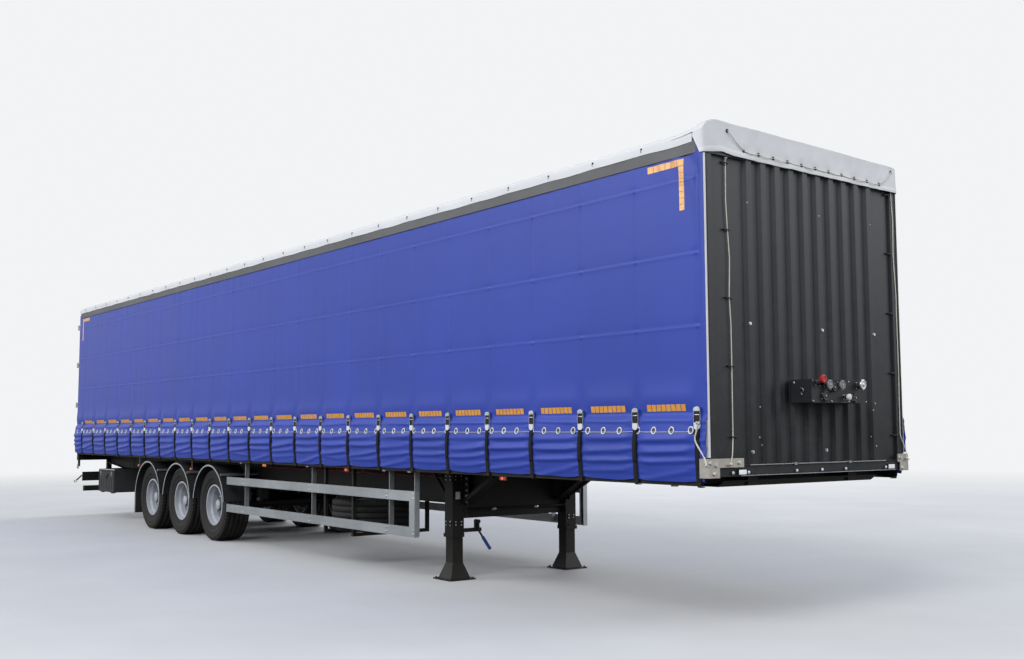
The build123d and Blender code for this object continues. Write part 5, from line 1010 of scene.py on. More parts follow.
# Soft lamps: name, place, watts
LAMP_SIZE = 14.0
LAMPS = (
    ("key_lamp", (16.0, -20.0, 19.0), 4500.0),
    ("fill_lamp", (20.0, 16.0, 13.0), 1900.0),
    ("side_lamp", (-10.0, -22.0, 14.0), 3000.0),
    ("far_lamp", (-14.0, 20.0, 15.0), 2400.0),
)


def build_stage():
    """Camera at the photograph's angle, a pale floor, a pale surround and soft lamps."""
    scene = bpy.context.scene
    yaw, pitch, roll = (radians(angle) for angle in CAMERA_ANGLES)
    ahead = Vector((-cos(yaw) * cos(pitch), sin(yaw) * cos(pitch), sin(pitch)))
    level = ahead.cross(Vector((0, 0, 1))).normalized()
    above = level.cross(ahead)
    right = level * cos(roll) + above * sin(roll)
    up = above * cos(roll) - level * sin(roll)
    camera_data = bpy.data.cameras.new("camera")
    camera_data.sensor_width = 36.0
    camera_data.lens = CAMERA_LENS
    camera_data.clip_end = 400.0
    camera = bpy.data.objects.new("camera", camera_data)
    scene.collection.objects.link(camera)
    turn = Matrix((right, up, -ahead)).transposed().to_4x4()
    camera.matrix_world = Matrix.Translation(CAMERA_PLACE) @ turn
    scene.camera = camera
    scene.view_settings.view_transform = "Standard"

    floor_mesh = bpy.data.meshes.new("floor_plane")
    size = FLOOR_REACH
    floor_mesh.from_pydata(
        [(-size, -size, 0), (size, -size, 0), (size, size, 0), (-size, size, 0)], [], [(0, 1, 2, 3)]
    )
    ground = bpy.data.objects.new("studio_floor", floor_mesh)
    scene.collection.objects.link(ground)
    ground.location.z = -0.001
    floor_mesh.materials.append(studio_floor())

    world = bpy.data.worlds.new("studio")
    scene.world = world
    world.use_nodes = True
    tree = world.node_tree
    tree.nodes.clear()
    light = add_node(tree, "ShaderNodeBackground", {"Color": rgba("#E4EAF4"), "Strength": 0.66})
    seen = add_node(tree, "ShaderNodeBackground", {"Color": rgba(BACKDROP), "Strength": 1.0})
    path = add_node(tree, "ShaderNodeLightPath")
    either = combined(tree, "MAXIMUM", path.outputs["Is Camera Ray"], path.outputs["Is Glossy Ray"])
    all_three = combined(tree, "MAXIMUM", either, path.outputs["Is Transmission Ray"])
    mix = add_node(
        tree, "ShaderNodeMixShader", None,
        {"Fac": all_three, 1: light.outputs["Background"], 2: seen.outputs["Background"]},
    )
    add_node(tree, "ShaderNodeOutputWorld", None, {"Surface": mix.outputs["Shader"]})

    for name, place, energy in LAMPS:
        data = bpy.data.lights.new(name, "AREA")
        data.energy = energy
        data.size = LAMP_SIZE
        lamp = bpy.data.objects.new(name, data)
        scene.collection.objects.link(lamp)
        lamp.matrix_world = aimed(Vector(place), Vector(place) - Vector((0, 0, 1.5)))


def studio_floor():
    """Pale sealed concrete that runs into the backdrop's colour far from the trailer."""
    material, tree, shader, place = start_material("pale_concrete", {"IOR": 1.5, "Specular IOR Level": 0.2})
    mottled(tree, shader, place, ("#C3C4C6", "#CDCED0"), 3.0, (0.75, 0.9))
    path = add_node(tree, "ShaderNodeLightPath")
    # Seen by the camera it is pale; what it bounces to the trailer is as dark as a yard
    pale = shader.inputs["Base Color"].links[0].from_socket
    mix = add_node(
        tree, "ShaderNodeMix", {"data_type": "RGBA"}, {0: path.outputs["Is Camera Ray"], 7: pale}
    )
    mix.inputs[6].default_value = rgba("#77746F")
    tree.links.new(mix.outputs[2], shader.inputs["Base Color"])
    far = add_node(tree, "ShaderNodeVectorMath", {"operation": "LENGTH"}, {0: place})
    fade = add_node(
        tree, "ShaderNodeMapRange", {
            "interpolation_type": "SMOOTHSTEP", "From Min": 10.0, "From Max": 34.0
        },
        {"Value": far.outputs["Value"]}
    )
    seen = combined(tree, "MULTIPLY", fade.outputs["Result"], path.outputs["Is Camera Ray"])
    glow = add_node(tree, "ShaderNodeEmission", {"Color": rgba(BACKDROP), "Strength": 1.0})
    both = add_node(
        tree, "ShaderNodeMixShader", None,
        {"Fac": seen, 1: shader.outputs["BSDF"], 2: glow.outputs["Emission"]}
    )
    tree.links.new(both.outputs["Shader"], tree.nodes["Material Output"].inputs["Surface"])
    return material


TREAD_TEETH = 56


def build_tyre(form, matrix, rubber=0):
    """A wide trailer tyre: five ribs between grooves, shoulder slots, sidewall rings."""
    half, crown, bead = 0.1925, TYRE_RADIUS, 0.2858
    grooves = (-0.108, -0.036, 0.036, 0.108)
    # Sidewall from the bead to the shoulder, as (radius, distance from the middle)
    wall = [(bead, 0.147), (bead + 0.013, 0.153), (0.312, 0.158), (0.328, 0.1655), (0.331, 0.169),
            (0.336, 0.169),
            (0.339, 0.1675), (0.36, 0.1765), (0.385, 0.184), (0.388, 0.1865), (0.412, 0.1885),
            (0.415, 0.1875),
            (0.44, half), (0.462, 0.1915), (0.465, 0.1925), (0.472, 0.1925), (0.475, 0.189), (0.49, 0.184),
            (0.499, 0.1805)]
    tread = [(0.506, 0.178, 1), (0.5145, 0.173, 1), (0.5165, 0.165, 1), (0.5185, 0.15, 0)]
    for groove in reversed([g for g in grooves if g > 0]):
        tread += [(crown - 0.0005, groove + 0.0065, 0), (crown - 0.013, groove + 0.0045, 0),
                  (crown - 0.013, groove - 0.0045, 0), (crown - 0.0002, groove - 0.0065, 0)]
    profile = [(r, y, 0) for r, y in wall] + tread
    profile += [(r, -y, slotted) for r, y, slotted in reversed(profile)]
    angles = []
    for tooth in range(TREAD_TEETH):
        start = 2 * pi * tooth / TREAD_TEETH
        width = 2 * pi / TREAD_TEETH
        angles += [
            (start, 0), (start + width * 0.86, 0), (start + width * 0.885, 1), (start + width * 0.975, 1)
        ]
    points = []
    for radius, y, slotted in profile:
        for angle, cut in angles:
            reach = radius - (0.007 if slotted and cut else 0.0)
            points.append(matrix @ Vector((reach * cos(angle), reach * sin(angle), y)))
    form.add(points, ring_faces(len(profile), len(angles)), rubber, True)


def build_wheel(side_name, side, number):
    """The tyre of one wheel, and the nuts, hub cap and valve on its rim."""
    name = f"{side_name}_{number}"
    centre = Vector((AXLE_XS[number - 1], side * WHEEL_Y, HUB_Z))
    tyre = Form()
    build_tyre(tyre, aimed(centre, (0, side, 0), number * 0.4))
    made = tyre.make(f"tread_{name}", ["tyre"], body=f"wheel_{name}", slot="tyre")
    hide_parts(f"tyre_{name}")
    # Ten wheel nuts with their washers, the hub cap's screws, and the valve
    trim = Form()
    disc_y = side * (TRACK_HALF + 0.014)
    for step in range(10):
        angle = 2 * pi * (step + 0.5) / 10
        spot = Vector((centre.x + 0.1405 * cos(angle), disc_y, HUB_Z + 0.1405 * sin(angle)))
        nut = hex_bolt(0.030, 0.022)
        nut.lathe([(0.0, 0.036), (0.008, 0.035), (0.0105, 0.033), (0.0105, 0.022)], Matrix(), 12)
        trim.put(nut, aimed(spot, (0, side, 0), step * 1.1), 0)
    face_y = side * (TRACK_HALF + 0.105)
    cap = [
        (0.0, 0.012), (0.03, 0.012), (0.04, 0.009), (0.05, 0.009), (0.056, 0.005), (0.07, 0.004),
        (0.072, 0.0)
    ]
    trim.lathe(cap, aimed(Vector((centre.x, face_y, HUB_Z)), (0, side, 0)), 40, 1)
    for step in range(6):
        angle = 2 * pi * step / 6
        spot = Vector((centre.x + 0.0625 * cos(angle), face_y + side * 0.003, HUB_Z + 0.0625 * sin(angle)))
        trim.put(hex_bolt(0.011, 0.006), aimed(spot, (0, side, 0), step), 0)
    root = Vector((centre.x, disc_y + side * 0.012, HUB_Z + 0.226))
    trim.tube(
        [root, root + Vector((0, side * 0.05, 0.004)), root + Vector((0, side * 0.085, 0.012))], 0.0042, 8,
        0
    )
    tip = aimed(root + Vector((0, side * 0.083, 0.0115)), (0, side, 0.25))
    trim.lathe([(0.0, 0.02), (0.005, 0.019), (0.0062, 0.0), (0.0, 0.0)], tip, 10, 2)
    trim.make(
        f"wheel_nuts_{name}", ["zinc", "wheel", "socket"], body=f"wheel_{name}", slot="wheel_silver",
        bevel=0.0008
    )


def cap_crest(y):
    """How far the cap's cloth stands over the roof along its front edge: highest near the right corner."""
    if y < -1.1:
        return 0.088 * (1 - 0.7 * ((-1.1 - y) / 0.18) ** 2)
    return 0.088 - 0.0305 * (y + 1.1)


def cap_top(x, y):
    """Height of the cap's upper side, which falls back to the roof behind the front wall."""
    past = min(1.0, max(0.0, abs(y) - 1.226) / 0.0505)
    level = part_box("roof_tarp")[1][2] - 0.03 * (1 - (1 - past * past) ** 0.5)
    fade = 0.5 + 0.5 * cos(pi * min(1.0, (FRONT_X - x + 0.007) / 0.36))
    wave = 0.006 * noise.noise(Vector((x * 9.0, y * 4.0, 3.0))) * fade
    return level + 0.003 + max(0.004, cap_crest(y)) * fade + wave


def cap_eyelets():
    """(y, z) of the cap's eyelets: a lower row on the front and one high at each end."""
    spots = [(-0.815 + 0.1824 * number, 3.868 - 0.0041 * number) for number in range(11)]
    return spots + [(-1.004, 4.008), (1.191, 3.964)]


def between(value, table):
    """A height read off a table of (place, height) rows."""
    for (a, low), (b, high) in zip(table, table[1:]):
        if value <= b:
            return low + (high - low) * max(0.0, (value - a) / (b - a))
    return table[-1][1]


CAP_HEM = ((-1.283, 3.80), (-1.063, 3.829), (-0.935, 3.81), (1.283, 3.775))


def cap_route(out_x, out_y, corner, rear):
    """(x, y, outward x, outward y) round the cap's foot, from the right side's rear edge to the left's."""
    route = [(x, -out_y, 0.0, -1.0) for x in steps(rear, out_x - corner, 8)]
    for way in (-1, 1):
        if way > 0:
            route += [(out_x, y, 1.0, 0.0) for y in steps(-out_y + corner, out_y - corner, 130)]
        for step in range(1, 8):
            angle = way * pi / 2 * (1 - step / 8 if way < 0 else step / 8)
            place = (out_x - corner + corner * cos(angle), way * (out_y - corner) + corner * sin(angle))
            route.append((*place, cos(angle), sin(angle)))
    return route + [(x, out_y, 0.0, 1.0) for x in reversed(steps(rear, out_x - corner, 8))]


def build_front_cap():
    """The pale sheet over the top of the front wall, with its hem, eyelets and lacing."""
    out_x, out_y, corner = FRONT_X + 0.007, SIDE_Y + 0.0065, 0.035
    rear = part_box("front_cap")[0][0]
    route = cap_route(out_x, out_y, corner, rear)
    eyelets = cap_eyelets()
    edge_drop = 0.010

    def place(index, share):
        x, y, nx, ny = route[index]
        top = cap_top(x, y) - edge_drop
        bottom = between(y, CAP_HEM)
        if x < out_x - corner:
            bottom += (out_x - corner - x) / (out_x - corner - rear) * (top - 0.035 - bottom)
        z = bottom + (top - bottom) * share
        pull = 0.0
        for ey, ez in eyelets:
            gap = ((y - ey) ** 2 + (z - ez) ** 2 * 0.5) ** 0.5
            pull -= 0.005 * bell(gap, 0.03)
            pull += 0.005 * bell(y - ey, 0.02) * bell(z - ez - 0.05, 0.04)
        ripple = 0.008 * noise.noise(Vector((y * 5.5, z * 3.0, x * 2.0)))
        ripple += 0.005 * noise.noise(Vector((y * 15.0, z * 5.0, 4.0)))
        out = 0.003 + (ripple + pull if nx > 0.2 else 0.003 * noise.noise(Vector((x * 20, z * 5, 1.0))))
        out += 0.005 * (1 - share) ** 2 * (1 + noise.noise(Vector((y * 7.0, 6.0, 0.0))))
        return Vector((x + nx * max(0.0005, out), y + ny * max(0.0005, out), z))

    def place_top(share, inset):
        half = out_y if inset > corner else out_y - corner + (corner ** 2 - (corner - inset) ** 2) ** 0.5
        edge = min(inset, (1 - abs(share)) * half)
        y = share * half
        return Vector(
            (out_x - inset, y, cap_top(out_x - inset, y) - edge_drop * max(0.0, 1 - edge / 0.014) ** 2)
        )

    form = Form()
    form.skin(
        place, list(range(len(route))), [
            0.0, 0.03, 0.07, 0.13, 0.2, 0.3, 0.4, 0.5, 0.6, 0.7, 0.8, 0.88, 0.95, 1.0
        ]
    )
    across = [
        -1.0, -0.998, -0.993, -0.986, -0.97
    ] + steps(-0.95, 0.95, 90) + [0.97, 0.986, 0.993, 0.998, 1.0]
    insets = [0.0, 0.003, 0.008, 0.016, 0.035, 0.07, 0.11, 0.15, 0.19, 0.23, 0.27, 0.31, 0.36]
    form.skin(place_top, across, insets)
    cap = form.make("front_cap_sheet", ["roof"], slot="roof_tarp")
    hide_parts("front_cap")
    # Hem band along the lower edge, sewn a little proud
    hem = Form()

    def hem_place(index, share):
        lift = 0.0018 if 0.0 < share < 0.18 else 0.0006
        return place(index, share) + Vector((route[index][2], route[index][3], 0)) * lift

    hem.skin(hem_place, list(range(len(route))), [0.0, 0.02, 0.09, 0.16, 0.18])
    hem_piece = hem.make("front_cap_hem", ["hem"], slot="roof_tarp")
    # Black eyelets with the cord laced through them
    rings, lace = Form(), Form()
    for y, z in eyelets:
        spot = aimed(Vector((FRONT_X + 0.011, y, z)), (1, 0, 0))
        rings.lathe(
            [(0.006, 0.002), (0.0075, 0.005), (0.012, 0.006), (0.0155, 0.003), (0.016, 0.0)], spot, 20, 0
        )
        rings.lathe([(0.0, 0.0025), (0.006, 0.0025)], spot, 20, 0)
    ends = [eyelets[11]] + eyelets[:11] + [eyelets[12]]
    for start, end in zip(ends, ends[1:]):
        line = []
        for share in steps(0.0, 1.0, 8):
            y, z = (a + (b - a) * share for a, b in zip(start, end))
            line.append(Vector((FRONT_X + 0.018 + 0.003 * sin(pi * share), y, z - 0.012 * sin(pi * share))))
        lace.tube(line, 0.0036, 8, 0)
    rings.make("cap_eyelets", ["socket"], slot="lamp_plastic")
    lace.make("cap_lacing", ["cord"], slot="cord_white")


# Ropes

TIE_ROUTE = (
    (0.092, 0.035, 1.660), (0.096, 0.037, 1.600), (0.134, 0.033, 1.530),
    (0.060, 0.034, 1.435), (0.020, 0.0368, 1.392), (-0.002, 0.0368, 1.330),
)


def knot(form, centre, size, radius, slot=0):
    """A round overhand knot."""
    route = []
    for step in range(49):
        turn = 2 * pi * step / 48
        shape = Vector((sin(turn) + 2 * sin(2 * turn), cos(turn) - 2 * cos(2 * turn), -sin(3 * turn)))
        route.append(centre + shape * size)
    form.tube(route, radius, 8, slot, caps=False)


def build_tie_rope():
    """The white rope that ties the right curtain's front edge down to its corner plate."""
    points = [Vector((back(behind), -(SHEET_Y + out), z)) for behind, out, z in TIE_ROUTE]
    data = bpy.data.curves.new("tie_rope_line", "CURVE")
    data.dimensions = "3D"
    line = data.splines.new("NURBS")
    line.points.add(len(points) - 1)
    for number, point in enumerate(points):
        line.points[number].co = (*point, 1.0)
    line.order_u = 3
    line.use_endpoint_u = True
    data.bevel_depth = 0.007
    data.bevel_resolution = 4
    data.materials.append(finish("cord"))
    made = bpy.data.objects.new("tie_rope_line", data)
    bpy.context.scene.collection.objects.link(made)
    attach(made, "trailer")
    knots = Form()
    knot(knots, points[0], 0.0048, 0.006)
    knot(knots, points[-1], 0.0048, 0.006)
    ends = knots.make("tie_rope_knots", ["cord"], slot="cord_white")
    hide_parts("tie_rope")


# Front wall

RIB_FIRST = -0.745
RIB_PITCH = 0.178
RIB_COUNT = 10
WALL_BOLTS = ((-0.771, 2.459), (0.146, 2.449), (0.873, 2.446), (-0.771, 1.426), (0.159, 1.427))
WALL_RIVETS = (
    (-0.635, 1.787), (0.834, 1.772), (-0.648, 1.542), (-0.622, 1.48), (0.813, 1.538), (0.861, 1.453),
    (0.864, 1.83),
    (-0.771, 3.45), (0.146, 3.44), (0.873, 3.44)
)
SILL_STUDS = (-1.019, -0.837, -0.246, 0.083, 0.402, 0.973, 1.196)


def wall_face(y):
    """X of the front wall's sheet, whose ribs stand out between two flat flanks."""
    place = (y - RIB_FIRST) / RIB_PITCH
    if place < -0.5 or place > RIB_COUNT - 0.5:
        return WALL_VALLEY
    gap = abs(place - floor(place + 0.5)) * RIB_PITCH
    return FRONT_X - 0.03 * min(1.0, max(0.0, (gap - 0.031) / 0.024))


def build_corner_trims():
    """The white strips that wrap the front corners, with a black seal strip beside each that also paints
    the shadow gap there.
    """
    low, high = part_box("corner_trims")[0][2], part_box("front_cap")[0][2]
    outer, bend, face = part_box("corner_trims")[1][1], 0.006, FRONT_X + 0.0005
    form = Form()
    # The strip laps 18 mm round the right corner and only 7 mm round the left one
    for side, lap in ((1, 0.007), (-1, 0.018)):
        outline = [(FRONT_X - 0.04, outer - 0.0105), (FRONT_X - 0.04, outer)]
        outline += [
            (face - bend + bend * sin(turn), outer - bend + bend * cos(turn))
            for turn in steps(0.0, pi / 2, 5)
        ]
        outline += [(face, outer - lap), (face - 0.005, outer - lap), (face - 0.005, outer - 0.0105)]
        form.prism([(x, side * y) for x, y in outline], Matrix.Translation((0, 0, low)), high - low, 0)
        # The black strip beside the trim is a seal, and painted shade for the shadow gap there
        ys = sorted((side * (outer - lap - 0.016), side * (outer - lap - 0.0005)))
        form.block((face - 0.0053, ys[0], low), (face - 0.0015, ys[1], high), 1)
    made = form.make("corner_strips", ["trim", "seal"], slot="white_trim")
    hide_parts("corner_trims")


def build_front_fittings():
    """Cord hooks, bolts, rivets, sill studs and corner plate bolts of the front wall."""
    form = Form()
    for z, *places in CORD_HOOKS:
        for y in places:
            line = [
                (0.0, -0.034, 0.004), (0.018, -0.033, 0.002), (0.0255, -0.026, 0.0), (0.0265, 0.0, -0.001)
            ]
            line += [(x, -across, -rise) for x, across, rise in reversed(line[:-1])]
            form.tube(
                [Vector((WALL_VALLEY + x, y + across, z + rise)) for x, across, rise in line], 0.0046, 10, 1
            )
            for across in (-0.034, 0.034):
                form.lathe(
                    [(0.0, 0.004), (0.009, 0.003), (0.011, 0.0)],
                    aimed(Vector((WALL_VALLEY, y + across, z - 0.004 * across / 0.034)), (1, 0, 0)), 12, 1
                )
    for y, z in WALL_BOLTS:
        bolts(form, [Vector((wall_face(y), y, z))], (1, 0, 0), 0.022, 0.010, 0)
    for y, z in WALL_RIVETS:
        form.lathe(
            [(0.0, 0.005), (0.005, 0.004), (0.0085, 0.0)], aimed(Vector((wall_face(y), y, z)), (1, 0, 0)),
            12, 3
        )
    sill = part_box("front_frame")[1][0]
    for y in SILL_STUDS:
        spot = aimed(Vector((sill, y, 1.268)), (1, 0, 0))
        form.lathe([(0.0, 0.009), (0.007, 0.008), (0.012, 0.0045), (0.0135, 0.0)], spot, 16, 2)
    for low, high in ((-0.816, -0.285), (-0.233, 0.44), (0.49, 0.976)):
        form.block((sill - 0.002, low, 1.3225), (sill + 0.0025, high, 1.3295), 3)
    form.block((sill - 0.002, -0.93, 1.2405), (sill + 0.0022, 1.12, 1.2455), 3)
    for y in (-0.259, 0.465):
        form.block((WALL_VALLEY + 0.002, y - 0.017, 1.331), (sill, y + 0.017, 1.335), 3)
        form.block((sill - 0.006, y - 0.017, 1.315), (sill + 0.003, y + 0.017, 1.335), 3)
    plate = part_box("corner_plates")[1][0]
    for side, spots, loop in ((-1, ((1.281, 1.346), (1.218, 1.327), (0.955, 1.346), (1.24, 1.262)), 1.068),
                              (1, ((1.209, 1.252), (1.18, 1.345)), 1.264)):
        bolts(form, [Vector((plate, side * y, z)) for y, z in spots], (1, 0, 0), 0.024, 0.011, 0)
        line = [(0.0, 0.026, 0.0), (0.016, 0.024, 0.0), (0.022, 0.012, 0.0), (0.022, -0.012, 0.0),
                (0.016, -0.024, 0.0),
                (0.0, -0.026, 0.0)]
        form.tube(
            [Vector((plate + x, side * loop + across, 1.33 + rise)) for x, across, rise in line], 0.005, 10,
            3
        )
        form.tube(
            [Vector((plate - 0.012 + x, side * (1.298 + out), 1.338 + rise)) for x, out, rise in
             (
                 (-0.026, 0.0, 0.0), (-0.024, 0.011, 0.0), (-0.012, 0.014, 0.0), (0.0, 0.014, 0.0),
                 (0.006, 0.011, 0.0), (0.008, 0.0, 0.0)
             )],
            0.0045, 10, 3
        )
    form.make(
        "front_wall_fittings", ["zinc", "socket", "white_cap", "galvanised", "wall"], slot="galvanised",
        bevel=0.001
    )
    ropes = Form()
    for (foot_y, foot_z, top_y, top_z), out in zip(CORD_ENDS, (0.0143, 0.0293)):
        knot(ropes, Vector((plate + 0.0043, foot_y, foot_z)), 0.0045, 0.0045)
        knot(ropes, Vector((WALL_VALLEY + out, top_y, top_z)), 0.004, 0.0042)
    ropes.make("front_cord_knots", ["cord"], slot="cord_white")


# Marker lamps: distance behind the front wall, height, lens
SIDE_LAMPS = (
    (2.717, 1.144, 1), (5.835, 1.144, 1), (8.117, 1.144, 2), (10.744, 1.029, 1), (13.110, 1.029, 1),
)


def build_marker_lamps():
    """Side markers under the raves and the white position lamps on the front sill."""
    form = Form()
    rave_z = RAVE_Z
    for _, side in SIDES:
        for distance, height, lens in SIDE_LAMPS:
            x, out = back(distance), 1.26
            ys = sorted((side * (out - 0.026), side * (out - 0.010)))
            form.block((x - 0.055, ys[0], height - 0.021), (x + 0.055, ys[1], height + 0.021), 0)
            ys = sorted((side * (out - 0.026), side * (out - 0.020)))
            form.block((x - 0.021, ys[0], height), (x + 0.021, ys[1], rave_z), 0)
            outline = [(-0.05, -0.017), (0.05, -0.017), (0.05, 0.017), (-0.05, 0.017)]
            lower = [Vector((x + a, side * (out - 0.010), height + b)) for a, b in outline]
            upper = [Vector((x + a * 0.86, side * out, height + b * 0.7)) for a, b in outline]
            form.lens(lower, upper, lens)
            form.lathe(
                [(0.0, 0.001), (0.017, 0.0)], aimed(Vector((x, side * out, height)), (0, side, 0)), 16, 4
            )
    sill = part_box("front_frame")[1][0]
    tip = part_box("marker_lamps")[1][0]
    for y in (-0.913, 1.051):
        form.block((FRONT_X, y - 0.046, 1.249), (sill + 0.005, y + 0.046, 1.293), 0)
        outline = [(-0.043, -0.019), (0.043, -0.019), (0.043, 0.019), (-0.043, 0.019)]
        lower = [Vector((sill + 0.005, y + a, 1.271 + b)) for a, b in outline]
        upper = [Vector((tip, y + a * 0.88, 1.271 + b * 0.78)) for a, b in outline]
        form.lens(lower, upper, 3)
    lamps = form.make(
        "marker_lamp_set", ["socket", "red_lens", "amber_lens", "clear_lens", "amber_lens"],
        slot="lamp_plastic", bevel=0.0015
    )
    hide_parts("marker_lamps")


# Couplings on the console: y, z, radius, reach, rise of the head, kind
COUPLINGS = (
    (-0.200, 1.984, 0.034, 0.070, 0.032, "palm"), (-0.092, 1.972, 0.036, 0.048, 0.0, "grey"),
    (-0.008, 1.950, 0.034, 0.030, 0.0, "dark"), (0.083, 1.972, 0.036, 0.042, 0.0, "grey"),
    (0.337, 1.972, 0.040, 0.058, 0.006, "steel"), (-0.122, 1.878, 0.040, 0.026, 0.0, "dark"),
    (0.151, 1.873, 0.026, 0.060, 0.0, "plug"), (0.277, 1.869, 0.036, 0.024, 0.0, "dark"),
)


def build_couplings():
    """Air palms and electric sockets with their caps, and the console's screws and hook."""
    low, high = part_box("socket_console")
    panel = high[0]
    form = Form()
    for y, z, radius, reach, rise, kind in COUPLINGS:
        root = aimed(Vector((panel, y, z)), (1, 0, 0))
        head = aimed(Vector((panel, y, z + rise)), (1, 0, 0))
        neck, lip = radius * 0.7, reach * 0.6
        form.lathe(
            [(neck, 0.0), (neck, 0.006), (neck * 0.86, 0.009), (neck * 0.86, lip + 0.003)], root, 24, 0
        )
        for turn in range(4):
            angle = pi / 4 + pi / 2 * turn
            across, up = 1.18 * neck * cos(angle), 1.18 * neck * sin(angle)
            if low[2] + 0.008 < z + up < high[2] - 0.008:
                bolts(form, [Vector((panel, y + across, z + up))], (1, 0, 0), 0.009, 0.005, 1)
        shell = {"palm": 2, "grey": 3, "steel": 1, "plug": 4, "dark": 0}[kind]
        body = [(0.0, lip), (radius * 0.92, lip), (radius, lip + 0.003), (radius, reach - 0.006)]
        if kind == "palm":
            body += [
                (radius * 0.96, reach - 0.003), (radius * 0.7, reach), (radius * 0.66, reach - 0.004),
                (0.0, reach - 0.002)
            ]
        elif kind == "plug":
            body += [(radius * 0.8, reach - 0.002), (radius * 0.5, reach), (0.0, reach)]
        else:
            body += [(radius * 0.94, reach - 0.002), (radius * 0.8, reach - 0.0015),
                     (radius * 0.74, reach - 0.005),
                     (radius * 0.3, reach - 0.004), (radius * 0.22, reach - 0.001), (0.0, reach - 0.001)]
        form.lathe(body, head, 32, shell)
        if kind in ("grey", "steel", "dark"):
            # Pin insert, hinge barrel of the flap and its catch
            form.lathe([(0.0, reach - 0.0006), (radius * 0.2, reach - 0.0012)], head, 16, 1)
            hinge = Vector((panel + reach - 0.009, y - radius * 0.55, z + rise + radius * 0.98))
            form.lathe(
                [(0.0, 0.0), (0.005, 0.0), (0.005, radius * 1.1), (0.0, radius * 1.1)],
                aimed(hinge, (0, 1, 0)), 12, shell
            )
            form.block(
                (panel + reach - 0.02, y - 0.007, z + rise - radius - 0.006),
                (panel + reach - 0.004, y + 0.007, z + rise - radius + 0.003),
                shell
            )
        else:
            # Lugs that a palm or plug turns into
            for way in (-1, 1):
                form.block(
                    (panel + reach - 0.022, y + way * radius * 0.9 - 0.006, z + rise - 0.010),
                    (panel + reach - 0.010, y + way * radius * 0.9 + 0.006, z + rise + 0.010), shell
                )
    made = form.make(
        "console_couplings", ["socket", "zinc", "red_cap", "grey_cap", "white_cap"],
        slot="coupling_plastic", bevel=0.001
    )
    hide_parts("couplings")
    case = Form()
    spots = [
        (low[1] + share * (high[1] - low[1]), z) for share in (0.03, 0.35, 0.66, 0.97)
        for z in (low[2] + 0.012, high[2] - 0.012)
    ]
    bolts(case, [Vector((panel, y, z)) for y, z in spots], (1, 0, 0), 0.010, 0.005, 0)
    # Folded lip round the panel, and the strip along the case's foot
    for ys, zs in (((low[1], high[1]), (high[2] - 0.005, high[2] + 0.0015)),
                   ((low[1], high[1]), (low[2] - 0.0015, low[2] + 0.006)),
                   ((low[1] - 0.001, low[1] + 0.005), (low[2], high[2])),
                   ((high[1] - 0.005, high[1] + 0.001), (low[2], high[2]))):
        case.block((panel - 0.001, ys[0], zs[0]), (panel + 0.003, ys[1], zs[1]), 1)
    flange = low[0] + 0.004
    for ys in ((low[1] - 0.022, low[1]), (high[1], high[1] + 0.022)):
        case.block((low[0] - 0.0005, ys[0], low[2] + 0.004), (flange, ys[1], high[2] - 0.004), 1)
    hook = Vector((low[0] + 0.1, low[1], 1.937))
    route = [(0.0, 0.0, 0.0), (0.0, -0.012, 0.002), (0.012, -0.018, 0.008), (0.034, -0.018, 0.006),
             (0.044, -0.016, -0.012),
             (0.034, -0.016, -0.026)]
    case.tube([hook + Vector(step) for step in route], 0.004, 10, 2)
    case.tube(
        [
            hook + Vector((0.008, 0.0, -0.03)), hook + Vector((0.018, -0.016, -0.036)),
            hook + Vector((0.03, -0.016, -0.05))
        ], 0.0035, 8, 2
    )
    # Valve knob on the right end, as on shunting valves
    case.lathe(
        [(0.0, 0.006), (0.010, 0.005), (0.013, 0.0)],
        aimed(Vector((low[0] + 0.03, low[1], 1.99)), (0, -1, 0)), 16, 0
    )
    case.make("console_edges", ["zinc", "console", "galvanised"], slot="console_grey", bevel=0.0008)


# Guards and legs

def build_guard_trim():
    """Pale beads on the mudguards and flap edges, painted highlights along their glossy lips, and bolts,
    caps and clips of the side guards.
    """
    form = Form()
    angles = steps(radians(7), radians(173), 40)
    for _, side in SIDES:
        for x in AXLE_XS:
            middle = x - 0.05

            def bead(angle, across):
                radius = 0.5785 + 0.0115 * cos(across)
                return Vector((
                    middle + radius * cos(angle), side * (1.2618 + 0.0028 * sin(across)),
                    HUB_Z + radius * sin(angle)
                ))

            form.skin(bead, angles, steps(0.0, pi, 6), 0)
        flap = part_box("mudguards")[0]
        ys = sorted((side * 1.2485, side * 1.2635))
        form.block((flap[0] - 0.001, ys[0], flap[2] + 0.004), (flap[0] + 0.009, ys[1], 0.618), 0)
        bolts(
            form, [Vector((flap[0], side * y, 0.59)) for y in (0.86, 0.96, 1.06, 1.16, 1.23)], (-1, 0, 0),
            0.018, 0.008, 1
        )
    form.make("mudguard_highlight_beads", ["pale_edge", "zinc"], slot="guard_plastic", bevel=0.001)
    rails = Form()
    for _, side in SIDES:
        out = 1.225
        for distance in (4.390, 4.925, 6.813, 8.846):
            for low in (0.456, 0.842):
                spots = [
                    Vector((back(distance) - 0.03 * (distance > 4.5), side * out, low + rise))
                    for rise in (0.03, 0.078)
                ]
                bolts(rails, spots, (0, side, 0), 0.018, 0.008, 0)
        for low in (0.456, 0.842):
            ys = sorted((side * (out - 0.027), side * (out + 0.0015)))
            rails.block((back(9.4395), ys[0], low - 0.0015), (back(9.434), ys[1], low + 0.1095), 1)
            for rise in (0.018, 0.09):
                # Extruded lips along both edges of each rail
                ys = sorted((side * (out - 0.001), side * (out + 0.0022)))
                rails.block(
                    (back(9.434), ys[0], low + rise - 0.0025), (back(4.470), ys[1], low + rise + 0.0025), 2
                )
    rails.make("side_guard_trim", ["zinc", "socket", "aluminium"], slot="aluminium", bevel=0.0008)


